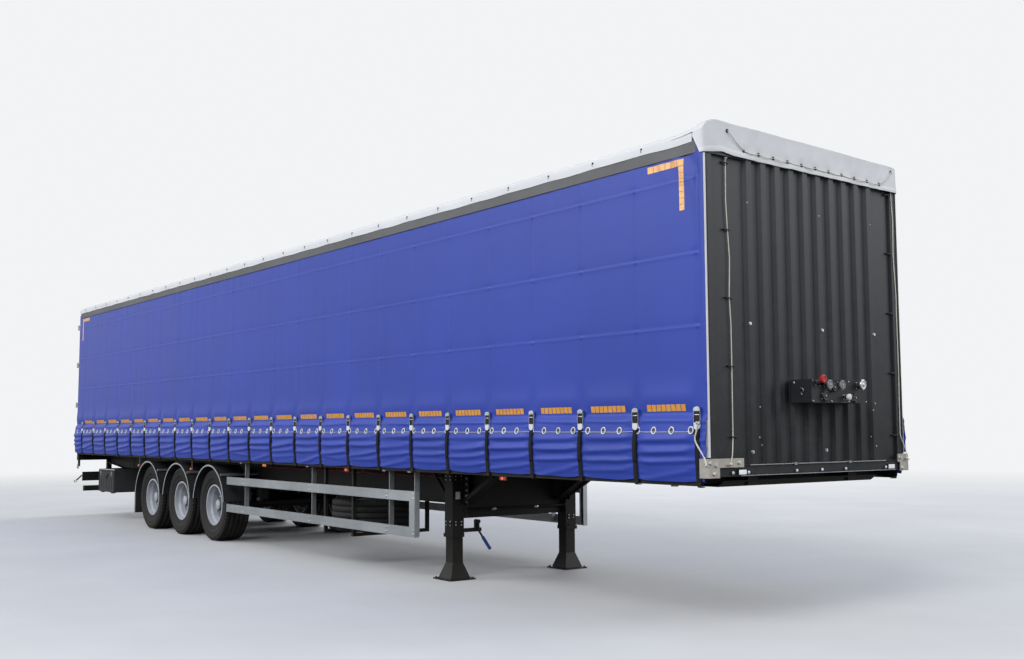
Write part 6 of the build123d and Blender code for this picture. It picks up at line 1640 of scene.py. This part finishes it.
def build_legs():
    """Bolt rows, gearbox, cross shaft, crank grip and plates of the landing legs."""
    form = Form()
    x = back(4.228)
    for _, side in SIDES:
        face = side * 0.7205
        for way in (-1, 1):
            spots = [Vector((x + way * 0.128, face, 0.83 + 0.064 * step)) for step in range(5)]
            bolts(form, spots, (0, side, 0), 0.024, 0.014, 0)
        # Pressed ribs and pad on the outer tube, and the sliding tube's stop bolts
        for z in (1.09, 0.60):
            ys = sorted((side * 0.868, side * 0.876))
            form.block((x - 0.055, ys[0], z - 0.035), (x + 0.055, ys[1], z + 0.035), 1)
            bolts(
                form, [Vector((x + a, side * 0.876, z + b)) for a in (-0.04, 0.04) for b in (-0.02, 0.02)],
                (0, side, 0), 0.012, 0.006, 0
            )
            form.block(
                (x + 0.074, side * 0.795 - 0.05, z - 0.03), (x + 0.081, side * 0.795 + 0.05, z + 0.03), 1
            )
            bolts(
                form, [
                    Vector((x + 0.081, side * 0.795 + a, z + b)) for a in (-0.036, 0.036)
                    for b in (-0.017, 0.017)
                ],
                (1, 0, 0), 0.012, 0.006, 0
            )
        for z in (0.50, 0.515):
            form.lathe(
                [(0.0, 0.010), (0.008, 0.009), (0.011, 0.0)],
                aimed(Vector((x + 0.075, side * 0.76, z)), (1, 0, 0)), 12, 1
            )
        for a in (-0.145, 0.145):
            bolts(
                form, [Vector((x + a, side * 0.795 + b, 0.014)) for b in (-0.14, 0.14)], (0, 0, 1), 0.022,
                0.010, 1
            )
        # Grease nipple and the shaft's boss on the inner side
        form.lathe(
            [(0.0, 0.045), (0.016, 0.045), (0.018, 0.04), (0.018, 0.022), (0.034, 0.018), (0.036, 0.0)],
            aimed(Vector((x + 0.045, side * 0.72, 0.735)), (0, -side, 0)), 20, 1
        )
    form.tube([Vector((x + 0.045, y, 0.735)) for y in (-0.68, -0.3, 0.3, 0.68)], 0.0125, 16, 1)
    for y in (-0.3, 0.3):
        form.tube(
            [Vector((x + 0.045, y - 0.03, 0.735)), Vector((x + 0.045, y + 0.03, 0.735))], 0.0175, 16, 0
        )
    # Gearbox housing on the right leg
    ys = (-0.72, -0.668)
    form.block((x - 0.052, ys[0], 0.66), (x + 0.072, ys[1], 0.795), 1)
    bolts(
        form, [Vector((x + a, ys[1], b)) for a in (-0.04, 0.06) for b in (0.674, 0.782)], (0, 1, 0), 0.014,
        0.007, 0
    )
    # Blank plate: a white one on the right leg's front
    form.block((x + 0.0745, -0.83, 0.86), (x + 0.077, -0.77, 0.94), 2)
    form.make("leg_fittings", ["zinc", "chassis", "plate"], slot="chassis_black", bevel=0.0012)
    grip = Form()
    crank_x = x + 0.09
    bend, end = Vector((crank_x, -0.530, 0.505)), Vector((crank_x, -0.382, 0.305))
    way = (end - bend).normalized()
    start = bend + (end - bend) / 3
    length = (end - start).length
    profile = [(0.0115, -0.004), (0.0175, 0.0)]
    for step in range(9):
        height = length * (step + 0.5) / 9
        profile += [(0.0185, height - 0.006), (0.0172, height), (0.0185, height + 0.006)]
    profile += [(0.0175, length + 0.002), (0.012, length + 0.006), (0.0, length + 0.006)]
    grip.lathe(profile, aimed(start, way), 20, 0)
    grip.make("crank_grip", ["blue_grip"], slot="chassis_black")


def build_running_gear():
    """Air spring bellows, clipped air lines, and the bolts of the axles."""
    springs = Form()
    low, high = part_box("air_springs")[0][2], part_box("air_springs")[1][2]
    lines = Form()
    for _, side in SIDES:
        for x in AXLE_XS:
            foot = aimed(Vector((x - 0.33, side * 0.62, low)), (0, 0, 1))
            tall = high - low
            profile = [(0.0, 0.0), (0.098, 0.0), (0.1, 0.006), (0.1, 0.02), (0.115, 0.026), (0.134, 0.036),
                       (0.1395, 0.055),
                       (0.1395, 0.078), (0.1385, 0.084), (0.1395, 0.09), (0.1395, 0.11),
                       (0.134, tall - 0.03),
                       (0.118, tall - 0.016), (0.103, tall - 0.012), (0.101, tall - 0.004), (0.101, tall),
                       (0.0, tall)]
            springs.lathe(profile, foot, 40, 0)
            springs.lathe([(0.1405, 0.024), (0.1425, 0.027), (0.1405, 0.030)], foot, 40, 0)
            bolts(
                lines, [
                    Vector((x - 0.33 + 0.118 * cos(a), side * 0.62 + 0.118 * sin(a), high + 0.001))
                    for a in (0.8, 2.4, 3.9, 5.5)
                ],
                (0, 0, -1), 0.016, 0.01, 1
            )
            # Pivot bolt of the arm in its hanger
            for out, way in ((0.71, side), (0.59, -side)):
                bolts(lines, [Vector((x + 0.5, side * out, 0.607))], (0, way, 0), 0.042, 0.022, 1)
            # U-bolt nuts over the axle
            for a in (-0.045, 0.045):
                for b in (-0.03, 0.03):
                    bolts(lines, [Vector((x + a, side * (0.65 + b), 0.652))], (0, 0, 1), 0.026, 0.02, 1)
        # Plastic air lines clipped along the beam, from the legs to the axles
        for number, colour in enumerate((2, 0, 0)):
            z = 1.09 + 0.016 * number
            route = [
                Vector((back(d), side * 0.722, z - 0.012 * sin(pi * d * 1.42) ** 2))
                for d in steps(4.6, 9.3, 60)
            ]
            lines.tube(route, 0.0058, 8, colour)
        for step in range(7):
            d = 4.93 + 0.704 * step
            ys = sorted((side * 0.710, side * 0.730))
            lines.block((back(d) - 0.008, ys[0], 1.078), (back(d) + 0.008, ys[1], 1.134), 0)
    made = springs.make("air_spring_bellows", ["bellows"], slot="air_spring_rubber")
    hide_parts("air_springs")
    lines.make("air_lines_and_bolts", ["socket", "zinc", "red_cap"], slot="chassis_black", bevel=0.0008)


def smoothed(route, count=6):
    """A route rounded through the middles of its runs."""
    middles = [route[0]] + [(a + b) / 2 for a, b in zip(route, route[1:])] + [route[-1]]
    line = [route[0]]
    for number in range(1, len(route) - 1):
        start, bend, end = middles[number], route[number], middles[number + 1]
        for share in steps(0.0, 1.0, count):
            line.append(start.lerp(bend, share).lerp(bend.lerp(end, share), share))
    return line + [route[-1]]


# Rear end

def build_doors():
    """Seals, hinge bolts, rod guides' bolts and handle catches of the rear doors."""
    for side_name, side in SIDES:
        form = Form()
        low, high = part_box(f"door_{side_name}")
        x = REAR_X
        ys = (min(abs(low[1]), abs(high[1])), max(abs(low[1]), abs(high[1])))
        zs = (low[2], high[2])
        for a, b, c, d in ((ys[0], ys[1], zs[0], zs[0] + 0.02), (ys[0], ys[1], zs[1] - 0.02, zs[1]),
                           (ys[0], ys[0] + 0.02, zs[0], zs[1]), (ys[1] - 0.02, ys[1], zs[0], zs[1])):
            across = sorted((side * a, side * b))
            form.block((x - 0.0015, across[0], c), (x + 0.001, across[1], d), 0)
        for z in (1.380, 2.120, 2.900, 3.640):
            for distance in (0.075, 0.155, 0.235):
                for rise in (-0.014, 0.014):
                    bolts(
                        form, [Vector((x - 0.0083, side * (1.244 - distance), z + rise))], (-1, 0, 0),
                        0.015, 0.006, 1
                    )
        for number, distance in enumerate((0.330, 0.960)):
            y = side * (1.258 - distance)
            for z in (1.450, 2.500, 3.500):
                bolts(
                    form, [Vector((x - 0.007, y + a, z + 0.025)) for a in (-0.045, 0.045)], (-1, 0, 0),
                    0.016, 0.007, 1
                )
            # Handle's catch plate and its keeper
            toward = side if number else -side
            z = (1.590, 1.690)[number]
            end = y + toward * 0.34
            across = sorted((end - 0.03, end + 0.03))
            form.block((x - 0.0045, across[0], z - 0.03), (x, across[1], z + 0.064), 2)
            across = sorted((end - 0.011, end + 0.011))
            form.block((x - 0.0235, across[0], z + 0.036), (x - 0.003, across[1], z + 0.046), 2)
            bolts(
                form, [Vector((x - 0.0045, end, z - 0.018)), Vector((x - 0.0045, end, z + 0.055))],
                (-1, 0, 0), 0.012, 0.005, 1
            )
        form.make(
            f"door_fittings_{side_name}", ["seal", "zinc", "galvanised"], body=f"door_{side_name}",
            slot="door_grey", bevel=0.0006
        )


def build_rear():
    """Lamp lenses, reflectors, the blank number plate and bolts of the lamp board and underrun."""
    form = Form()
    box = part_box("rear_lamps")
    face = box[0][0]
    board = face + 0.045
    for _, side in SIDES:
        for start, width, slot in (
            (0.728, 0.088, 2), (0.822, 0.088, 2), (0.916, 0.098, 3), (1.020, 0.094, 2)
        ):
            lower, upper = sorted((side * start, side * (start + width)))
            outline = [(lower, 0.678), (upper, 0.678), (upper, 0.794), (lower, 0.794)]
            middle = ((lower + upper) / 2, 0.736)
            base = [Vector((face + 0.001, y, z)) for y, z in outline]
            rim = [
                Vector(
                    (face - 0.010, middle[0] + (y - middle[0]) * 0.9, middle[1] + (z - middle[1]) * 0.92)
                ) for y, z in outline
            ]
            form.lens(base, rim, slot)
        # Triangular reflector inboard of the lamps
        centre = Vector((board - 0.001, side * 0.60, 0.712))
        for radius, depth, slot in ((0.085, 0.007, 1), (0.068, 0.010, 2)):
            outline = [
                (radius * cos(pi / 2 + 2 * pi * i / 3), radius * sin(pi / 2 + 2 * pi * i / 3))
                for i in range(3)
            ]
            matrix = Matrix(((0, 0, -1, centre.x), (1, 0, 0, centre.y), (0, 1, 0, centre.z), (0, 0, 0, 1)))
            form.prism(outline, matrix, depth, slot)
        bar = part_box("underrun")
        bolts(
            form, [
                Vector((bar[0][0], side * 0.65 + a, 0.505 + b)) for a in (-0.03, 0.03)
                for b in (-0.025, 0.025)
            ],
            (-1, 0, 0), 0.022, 0.01, 0
        )
        tip = Vector((board + 0.015, side * 1.29, 0.645))
        for way, slot in ((-1, 2), (1, 5)):
            form.lathe([(0.0, 0.007), (0.013, 0.006), (0.0205, 0.001), (0.021, 0.0)],
                       aimed(tip + Vector((way * 0.022, 0, 0)), (way, 0, 0)), 20, slot)
        ys = sorted((side * 1.1175, side * 1.1265))
        form.block((bar[0][0] - 0.0015, ys[0], 0.4535), (bar[0][0] + 0.0815, ys[1], 0.5565), 1)
    form.block((board - 0.004, -0.26, 0.665), (board, 0.26, 0.785), 1)
    form.block((board - 0.006, -0.255, 0.669), (board - 0.0035, 0.255, 0.781), 4)
    bolts(form, [Vector((board - 0.006, y, 0.725)) for y in (-0.235, 0.235)], (-1, 0, 0), 0.012, 0.004, 0)
    for y in (-0.2, 0.2):
        form.block((board - 0.05, y - 0.04, 0.792), (board + 0.001, y + 0.04, 0.816), 1)
        form.block((board - 0.046, y - 0.03, 0.789), (board - 0.012, y + 0.03, 0.793), 5)
    form.block((bar[0][0] - 0.002, -1.11, 0.4545), (bar[0][0] + 0.001, 1.11, 0.4625), 4)
    form.make(
        "rear_lights_and_plate", ["zinc", "socket", "red_lens", "amber_lens", "plate", "clear_lens"],
        slot="lamp_plastic",
        bevel=0.0012
    )
    frame_bolts = Form()
    post_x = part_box("rear_posts")[0][0]
    for _, side in SIDES:
        for z in (1.380, 2.120, 2.900, 3.640):
            spots = [
                Vector((post_x + a, side * 1.26, z + b)) for a in (0.02, 0.075) for b in (-0.035, 0.035)
            ]
            bolts(frame_bolts, spots, (0, side, 0), 0.016, 0.007, 0)
    for y in (-0.9, -0.45, 0.45, 0.9):
        frame_bolts.block((post_x - 0.022, y - 0.055, 1.065), (post_x + 0.001, y + 0.055, 1.125), 1)
        bolts(
            frame_bolts, [Vector((post_x - 0.022, y + a, 1.095)) for a in (-0.035, 0.035)], (-1, 0, 0),
            0.018, 0.008, 0
        )
    frame_bolts.make("rear_frame_fittings", ["zinc", "seal"], slot="chassis_black", bevel=0.003)


def build_tool_box_trim():
    """Ribs, rim, latches and the U handle on the tool box's lid, and the case's corner ribs."""
    case_low, case_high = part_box("tool_box")
    out = -1.222
    form = Form()
    x0, x1 = case_low[0], case_high[0]
    z0, z1 = 0.510, 0.918
    across, upright = (x0 + 0.02, x1 - 0.02), (z0 + 0.02, z1 - 0.02)
    for xs, zs in (
        (across, (z1 - 0.035, z1 - 0.02)), (across, (z0 + 0.02, z0 + 0.035)),
        ((x0 + 0.02, x0 + 0.035), upright), ((x1 - 0.035, x1 - 0.02), upright),
    ):
        form.block((xs[0], out - 0.007, zs[0]), (xs[1], out + 0.001, zs[1]), 0)
    for step in range(5):
        x = x0 + 0.15 + (x1 - x0 - 0.3) * step / 4
        form.block((x - 0.006, out - 0.0055, z0 + 0.055), (x + 0.006, out + 0.001, z1 - 0.16), 0)
    form.block((x0 + 0.002, out - 0.0015, z1 - 0.008), (x1 - 0.002, out + 0.008, z1 + 0.0015), 2)
    for share in (0.16, 0.84):
        x = x0 + (x1 - x0) * share
        form.block((x - 0.02, out - 0.010, z1 - 0.115), (x + 0.02, out, z1 - 0.04), 1)
        loop = [
            (-0.012, -0.012, -0.1), (-0.012, -0.017, -0.06), (0.012, -0.017, -0.06), (0.012, -0.012, -0.1)
        ]
        form.tube([Vector((x + a, out + b, z1 + c)) for a, b, c in loop], 0.003, 8, 1)
    middle = (x0 + x1) / 2
    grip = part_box("tool_box_lid")[0][1]
    handle = [
        (-0.075, -0.001, -0.095), (-0.078, -0.002, -0.150), (0.0, -0.002, -0.158), (0.078, -0.002, -0.150),
        (0.075, -0.001, -0.095),
    ]
    form.tube(smoothed([Vector((middle + a, grip + b, z1 + c)) for a, b, c in handle]), 0.0055, 10, 0)
    form.make(
        "tool_box_lid_trim", ["box", "zinc", "plate"], body="tool_box_lid", slot="box_plastic", bevel=0.0025
    )
    ribs = Form()
    for x in (x0 - 0.0005, x1 - 0.0045):
        for y in (-1.05, -0.9):
            ribs.block((x, y - 0.012, z0 + 0.03), (x + 0.005, y + 0.012, z1 - 0.03), 0)
    ribs.make("tool_box_ribs", ["box"], slot="box_plastic", bevel=0.002)


CAD_FINISHES = {
    # The side raves take the chassis black, which also paints the shade under the curtain's hem
    "main_beams": "chassis", "cross_members": "chassis", "side_raves": "chassis", "floor": "floor_ply",
    "coupler_plate": "chassis", "king_pin": "bare", "front_wall": "wall", "front_frame": "wall",
    "corner_plates": "warm_galvanised", "socket_console": "console",
    "roof_rails": "rail", "roof_bows": "aluminium", "side_pillars": "galvanised", "rear_frame": "chassis",
    "rear_posts": "chassis",
    "door_left": "door", "door_right": "door", "door_gear_left": "galvanised",
    "door_gear_right": "galvanised",
    "hinge_lugs": "galvanised", "axles": "chassis", "suspension_arms": "chassis",
    "mudguards": "guard", "mudguard_stays": "galvanised", "side_guards": "aluminium",
    "side_guard_posts": "galvanised",
    "landing_legs": "chassis", "leg_bracing": "chassis", "hanging_frames": "chassis", "tool_box": "box",
    "tool_box_lid": "box", "air_tanks": "chassis", "underrun": "chassis", "rear_lamps": "socket",
    "spare_rim": "wheel", "front_cords": "cord",
    **{f"wheel_{side_name}_{number}": "wheel_disc" for side_name, _ in SIDES for number in (1, 2, 3)},
}


def dress_cad_nodes():
    """Gives each CAD node that stays in view its finish."""
    for node, label in CAD_FINISHES.items():
        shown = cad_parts[node]
        shown.data.materials.clear()
        shown.data.materials.append(finish(label))


# Add-on: settings, operators and panel

class TrailerSettings(bpy.types.PropertyGroup):
    """Sizes and colours that a user may change."""

    curtain_colour: FloatVectorProperty(
        name="Curtain colour", description="Colour of the side curtains", subtype="COLOR", size=3, min=0.0,
        max=1.0,
        default=linear("#2F44A2")
    )
    billow: FloatProperty(
        name="Skirt billow", description="How far the skirt stands out between two straps",
        default=0.022, min=0.0, max=0.04, unit="LENGTH", subtype="DISTANCE"
    )


class TRAILER_OT_stage(bpy.types.Operator):
    """Adds the camera, floor, surround and lamps."""

    bl_idname = "trailer.stage"
    bl_label = "Stage"

    def execute(self, context):
        build_stage()
        return {"FINISHED"}


class TRAILER_OT_finishes(bpy.types.Operator):
    """Makes the materials and gives the CAD nodes theirs."""

    bl_idname = "trailer.finishes"
    bl_label = "Finishes"

    def execute(self, context):
        make_finishes(context.scene.trailer)
        dress_cad_nodes()
        return {"FINISHED"}


class TRAILER_OT_curtains(bpy.types.Operator):
    """Hangs both side curtains with their tapes and eyelets."""

    bl_idname = "trailer.curtains"
    bl_label = "Curtains"

    def execute(self, context):
        for side_name, side in SIDES:
            build_curtain(side_name, side)
            build_tapes(side_name, side)
            build_eyelets(side_name, side)
        return {"FINISHED"}


class TRAILER_OT_straps(bpy.types.Operator):
    """Adds the curtain straps with their buckles."""

    bl_idname = "trailer.straps"
    bl_label = "Curtain straps"

    def execute(self, context):
        for side_name, side in SIDES:
            build_straps(side_name, side)
        return {"FINISHED"}


class TRAILER_OT_roof(bpy.types.Operator):
    """Lays the roof sheet and the front cap."""

    bl_idname = "trailer.roof"
    bl_label = "Roof sheet and cap"

    def execute(self, context):
        build_roof()
        build_front_cap()
        return {"FINISHED"}


class TRAILER_OT_wheels(bpy.types.Operator):
    """Adds treads, nuts and valves to the six wheels and the spare."""

    bl_idname = "trailer.wheels"
    bl_label = "Wheels"

    def execute(self, context):
        for side_name, side in SIDES:
            for number in (1, 2, 3):
                build_wheel(side_name, side, number)
        low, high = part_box("spare_tyre")
        centre = Vector(((low[0] + high[0]) / 2, (low[1] + high[1]) / 2, (low[2] + high[2]) / 2))
        form = Form()
        build_tyre(form, aimed(centre, (0, 0, -1)))
        made = form.make("tread_spare", ["tyre"], slot="tyre")
        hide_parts("spare_tyre")
        return {"FINISHED"}


class TRAILER_OT_tie_rope(bpy.types.Operator):
    """Ties the right curtain's front corner down."""

    bl_idname = "trailer.tie_rope"
    bl_label = "Tie rope"

    def execute(self, context):
        build_tie_rope()
        return {"FINISHED"}


class TRAILER_OT_front_wall(bpy.types.Operator):
    """Adds the front wall's cord hooks, bolts and studs."""

    bl_idname = "trailer.front_wall"
    bl_label = "Front wall fittings"

    def execute(self, context):
        build_corner_trims()
        build_front_fittings()
        return {"FINISHED"}


class TRAILER_OT_couplings(bpy.types.Operator):
    """Adds the air and electric couplings on the console."""

    bl_idname = "trailer.couplings"
    bl_label = "Couplings"

    def execute(self, context):
        build_couplings()
        return {"FINISHED"}


class TRAILER_OT_marker_lamps(bpy.types.Operator):
    """Adds the side markers and front position lamps."""

    bl_idname = "trailer.marker_lamps"
    bl_label = "Marker lamps"

    def execute(self, context):
        build_marker_lamps()
        return {"FINISHED"}


class TRAILER_OT_guards(bpy.types.Operator):
    """Adds the mudguards' pale beads, painted highlights on their lips, and the side guards' bolts and
    caps.
    """

    bl_idname = "trailer.guards"
    bl_label = "Guards"

    def execute(self, context):
        build_guard_trim()
        return {"FINISHED"}


class TRAILER_OT_legs(bpy.types.Operator):
    """Adds the landing legs' bolts, gearbox and crank grip."""

    bl_idname = "trailer.legs"
    bl_label = "Landing legs"

    def execute(self, context):
        build_legs()
        return {"FINISHED"}


class TRAILER_OT_running_gear(bpy.types.Operator):
    """Adds the air spring bellows, air lines and axle bolts."""

    bl_idname = "trailer.running_gear"
    bl_label = "Running gear"

    def execute(self, context):
        build_running_gear()
        return {"FINISHED"}


class TRAILER_OT_rear(bpy.types.Operator):
    """Adds the doors' seals and bolts and the lamp board's lenses."""

    bl_idname = "trailer.rear"
    bl_label = "Rear end"

    def execute(self, context):
        build_doors()
        build_rear()
        return {"FINISHED"}


class TRAILER_OT_tool_box(bpy.types.Operator):
    """Adds the tool box's ribs, latches and handle."""

    bl_idname = "trailer.tool_box"
    bl_label = "Tool box"

    def execute(self, context):
        build_tool_box_trim()
        return {"FINISHED"}


OPERATORS = (
    TRAILER_OT_stage,
    TRAILER_OT_finishes,
    TRAILER_OT_tie_rope,
    TRAILER_OT_curtains,
    TRAILER_OT_straps,
    TRAILER_OT_roof,
    TRAILER_OT_front_wall,
    TRAILER_OT_couplings,
    TRAILER_OT_marker_lamps,
    TRAILER_OT_wheels,
    TRAILER_OT_guards,
    TRAILER_OT_legs,
    TRAILER_OT_running_gear,
    TRAILER_OT_rear,
    TRAILER_OT_tool_box,
)


class TRAILER_PT_panel(bpy.types.Panel):
    """Lists the trailer's settings and its operators."""

    bl_label = "Semi-trailer"
    bl_idname = "TRAILER_PT_panel"
    bl_space_type = "VIEW_3D"
    bl_region_type = "UI"
    bl_category = "Trailer"

    def draw(self, context):
        for name in ("curtain_colour", "billow"):
            self.layout.prop(context.scene.trailer, name)
        for operator in OPERATORS:
            self.layout.operator(operator.bl_idname)


CLASSES = (TrailerSettings, *OPERATORS, TRAILER_PT_panel)


def register():
    for item in CLASSES:
        bpy.utils.register_class(item)
    bpy.types.Scene.trailer = PointerProperty(type=TrailerSettings)


def unregister():
    del bpy.types.Scene.trailer
    for item in reversed(CLASSES):
        bpy.utils.unregister_class(item)


def main():
    """Builds the whole dressed trailer."""
    register()
    for operator in OPERATORS:
        group, name = operator.bl_idname.split(".")
        getattr(getattr(bpy.ops, group), name)()


if __name__ == "__main__":
    main()
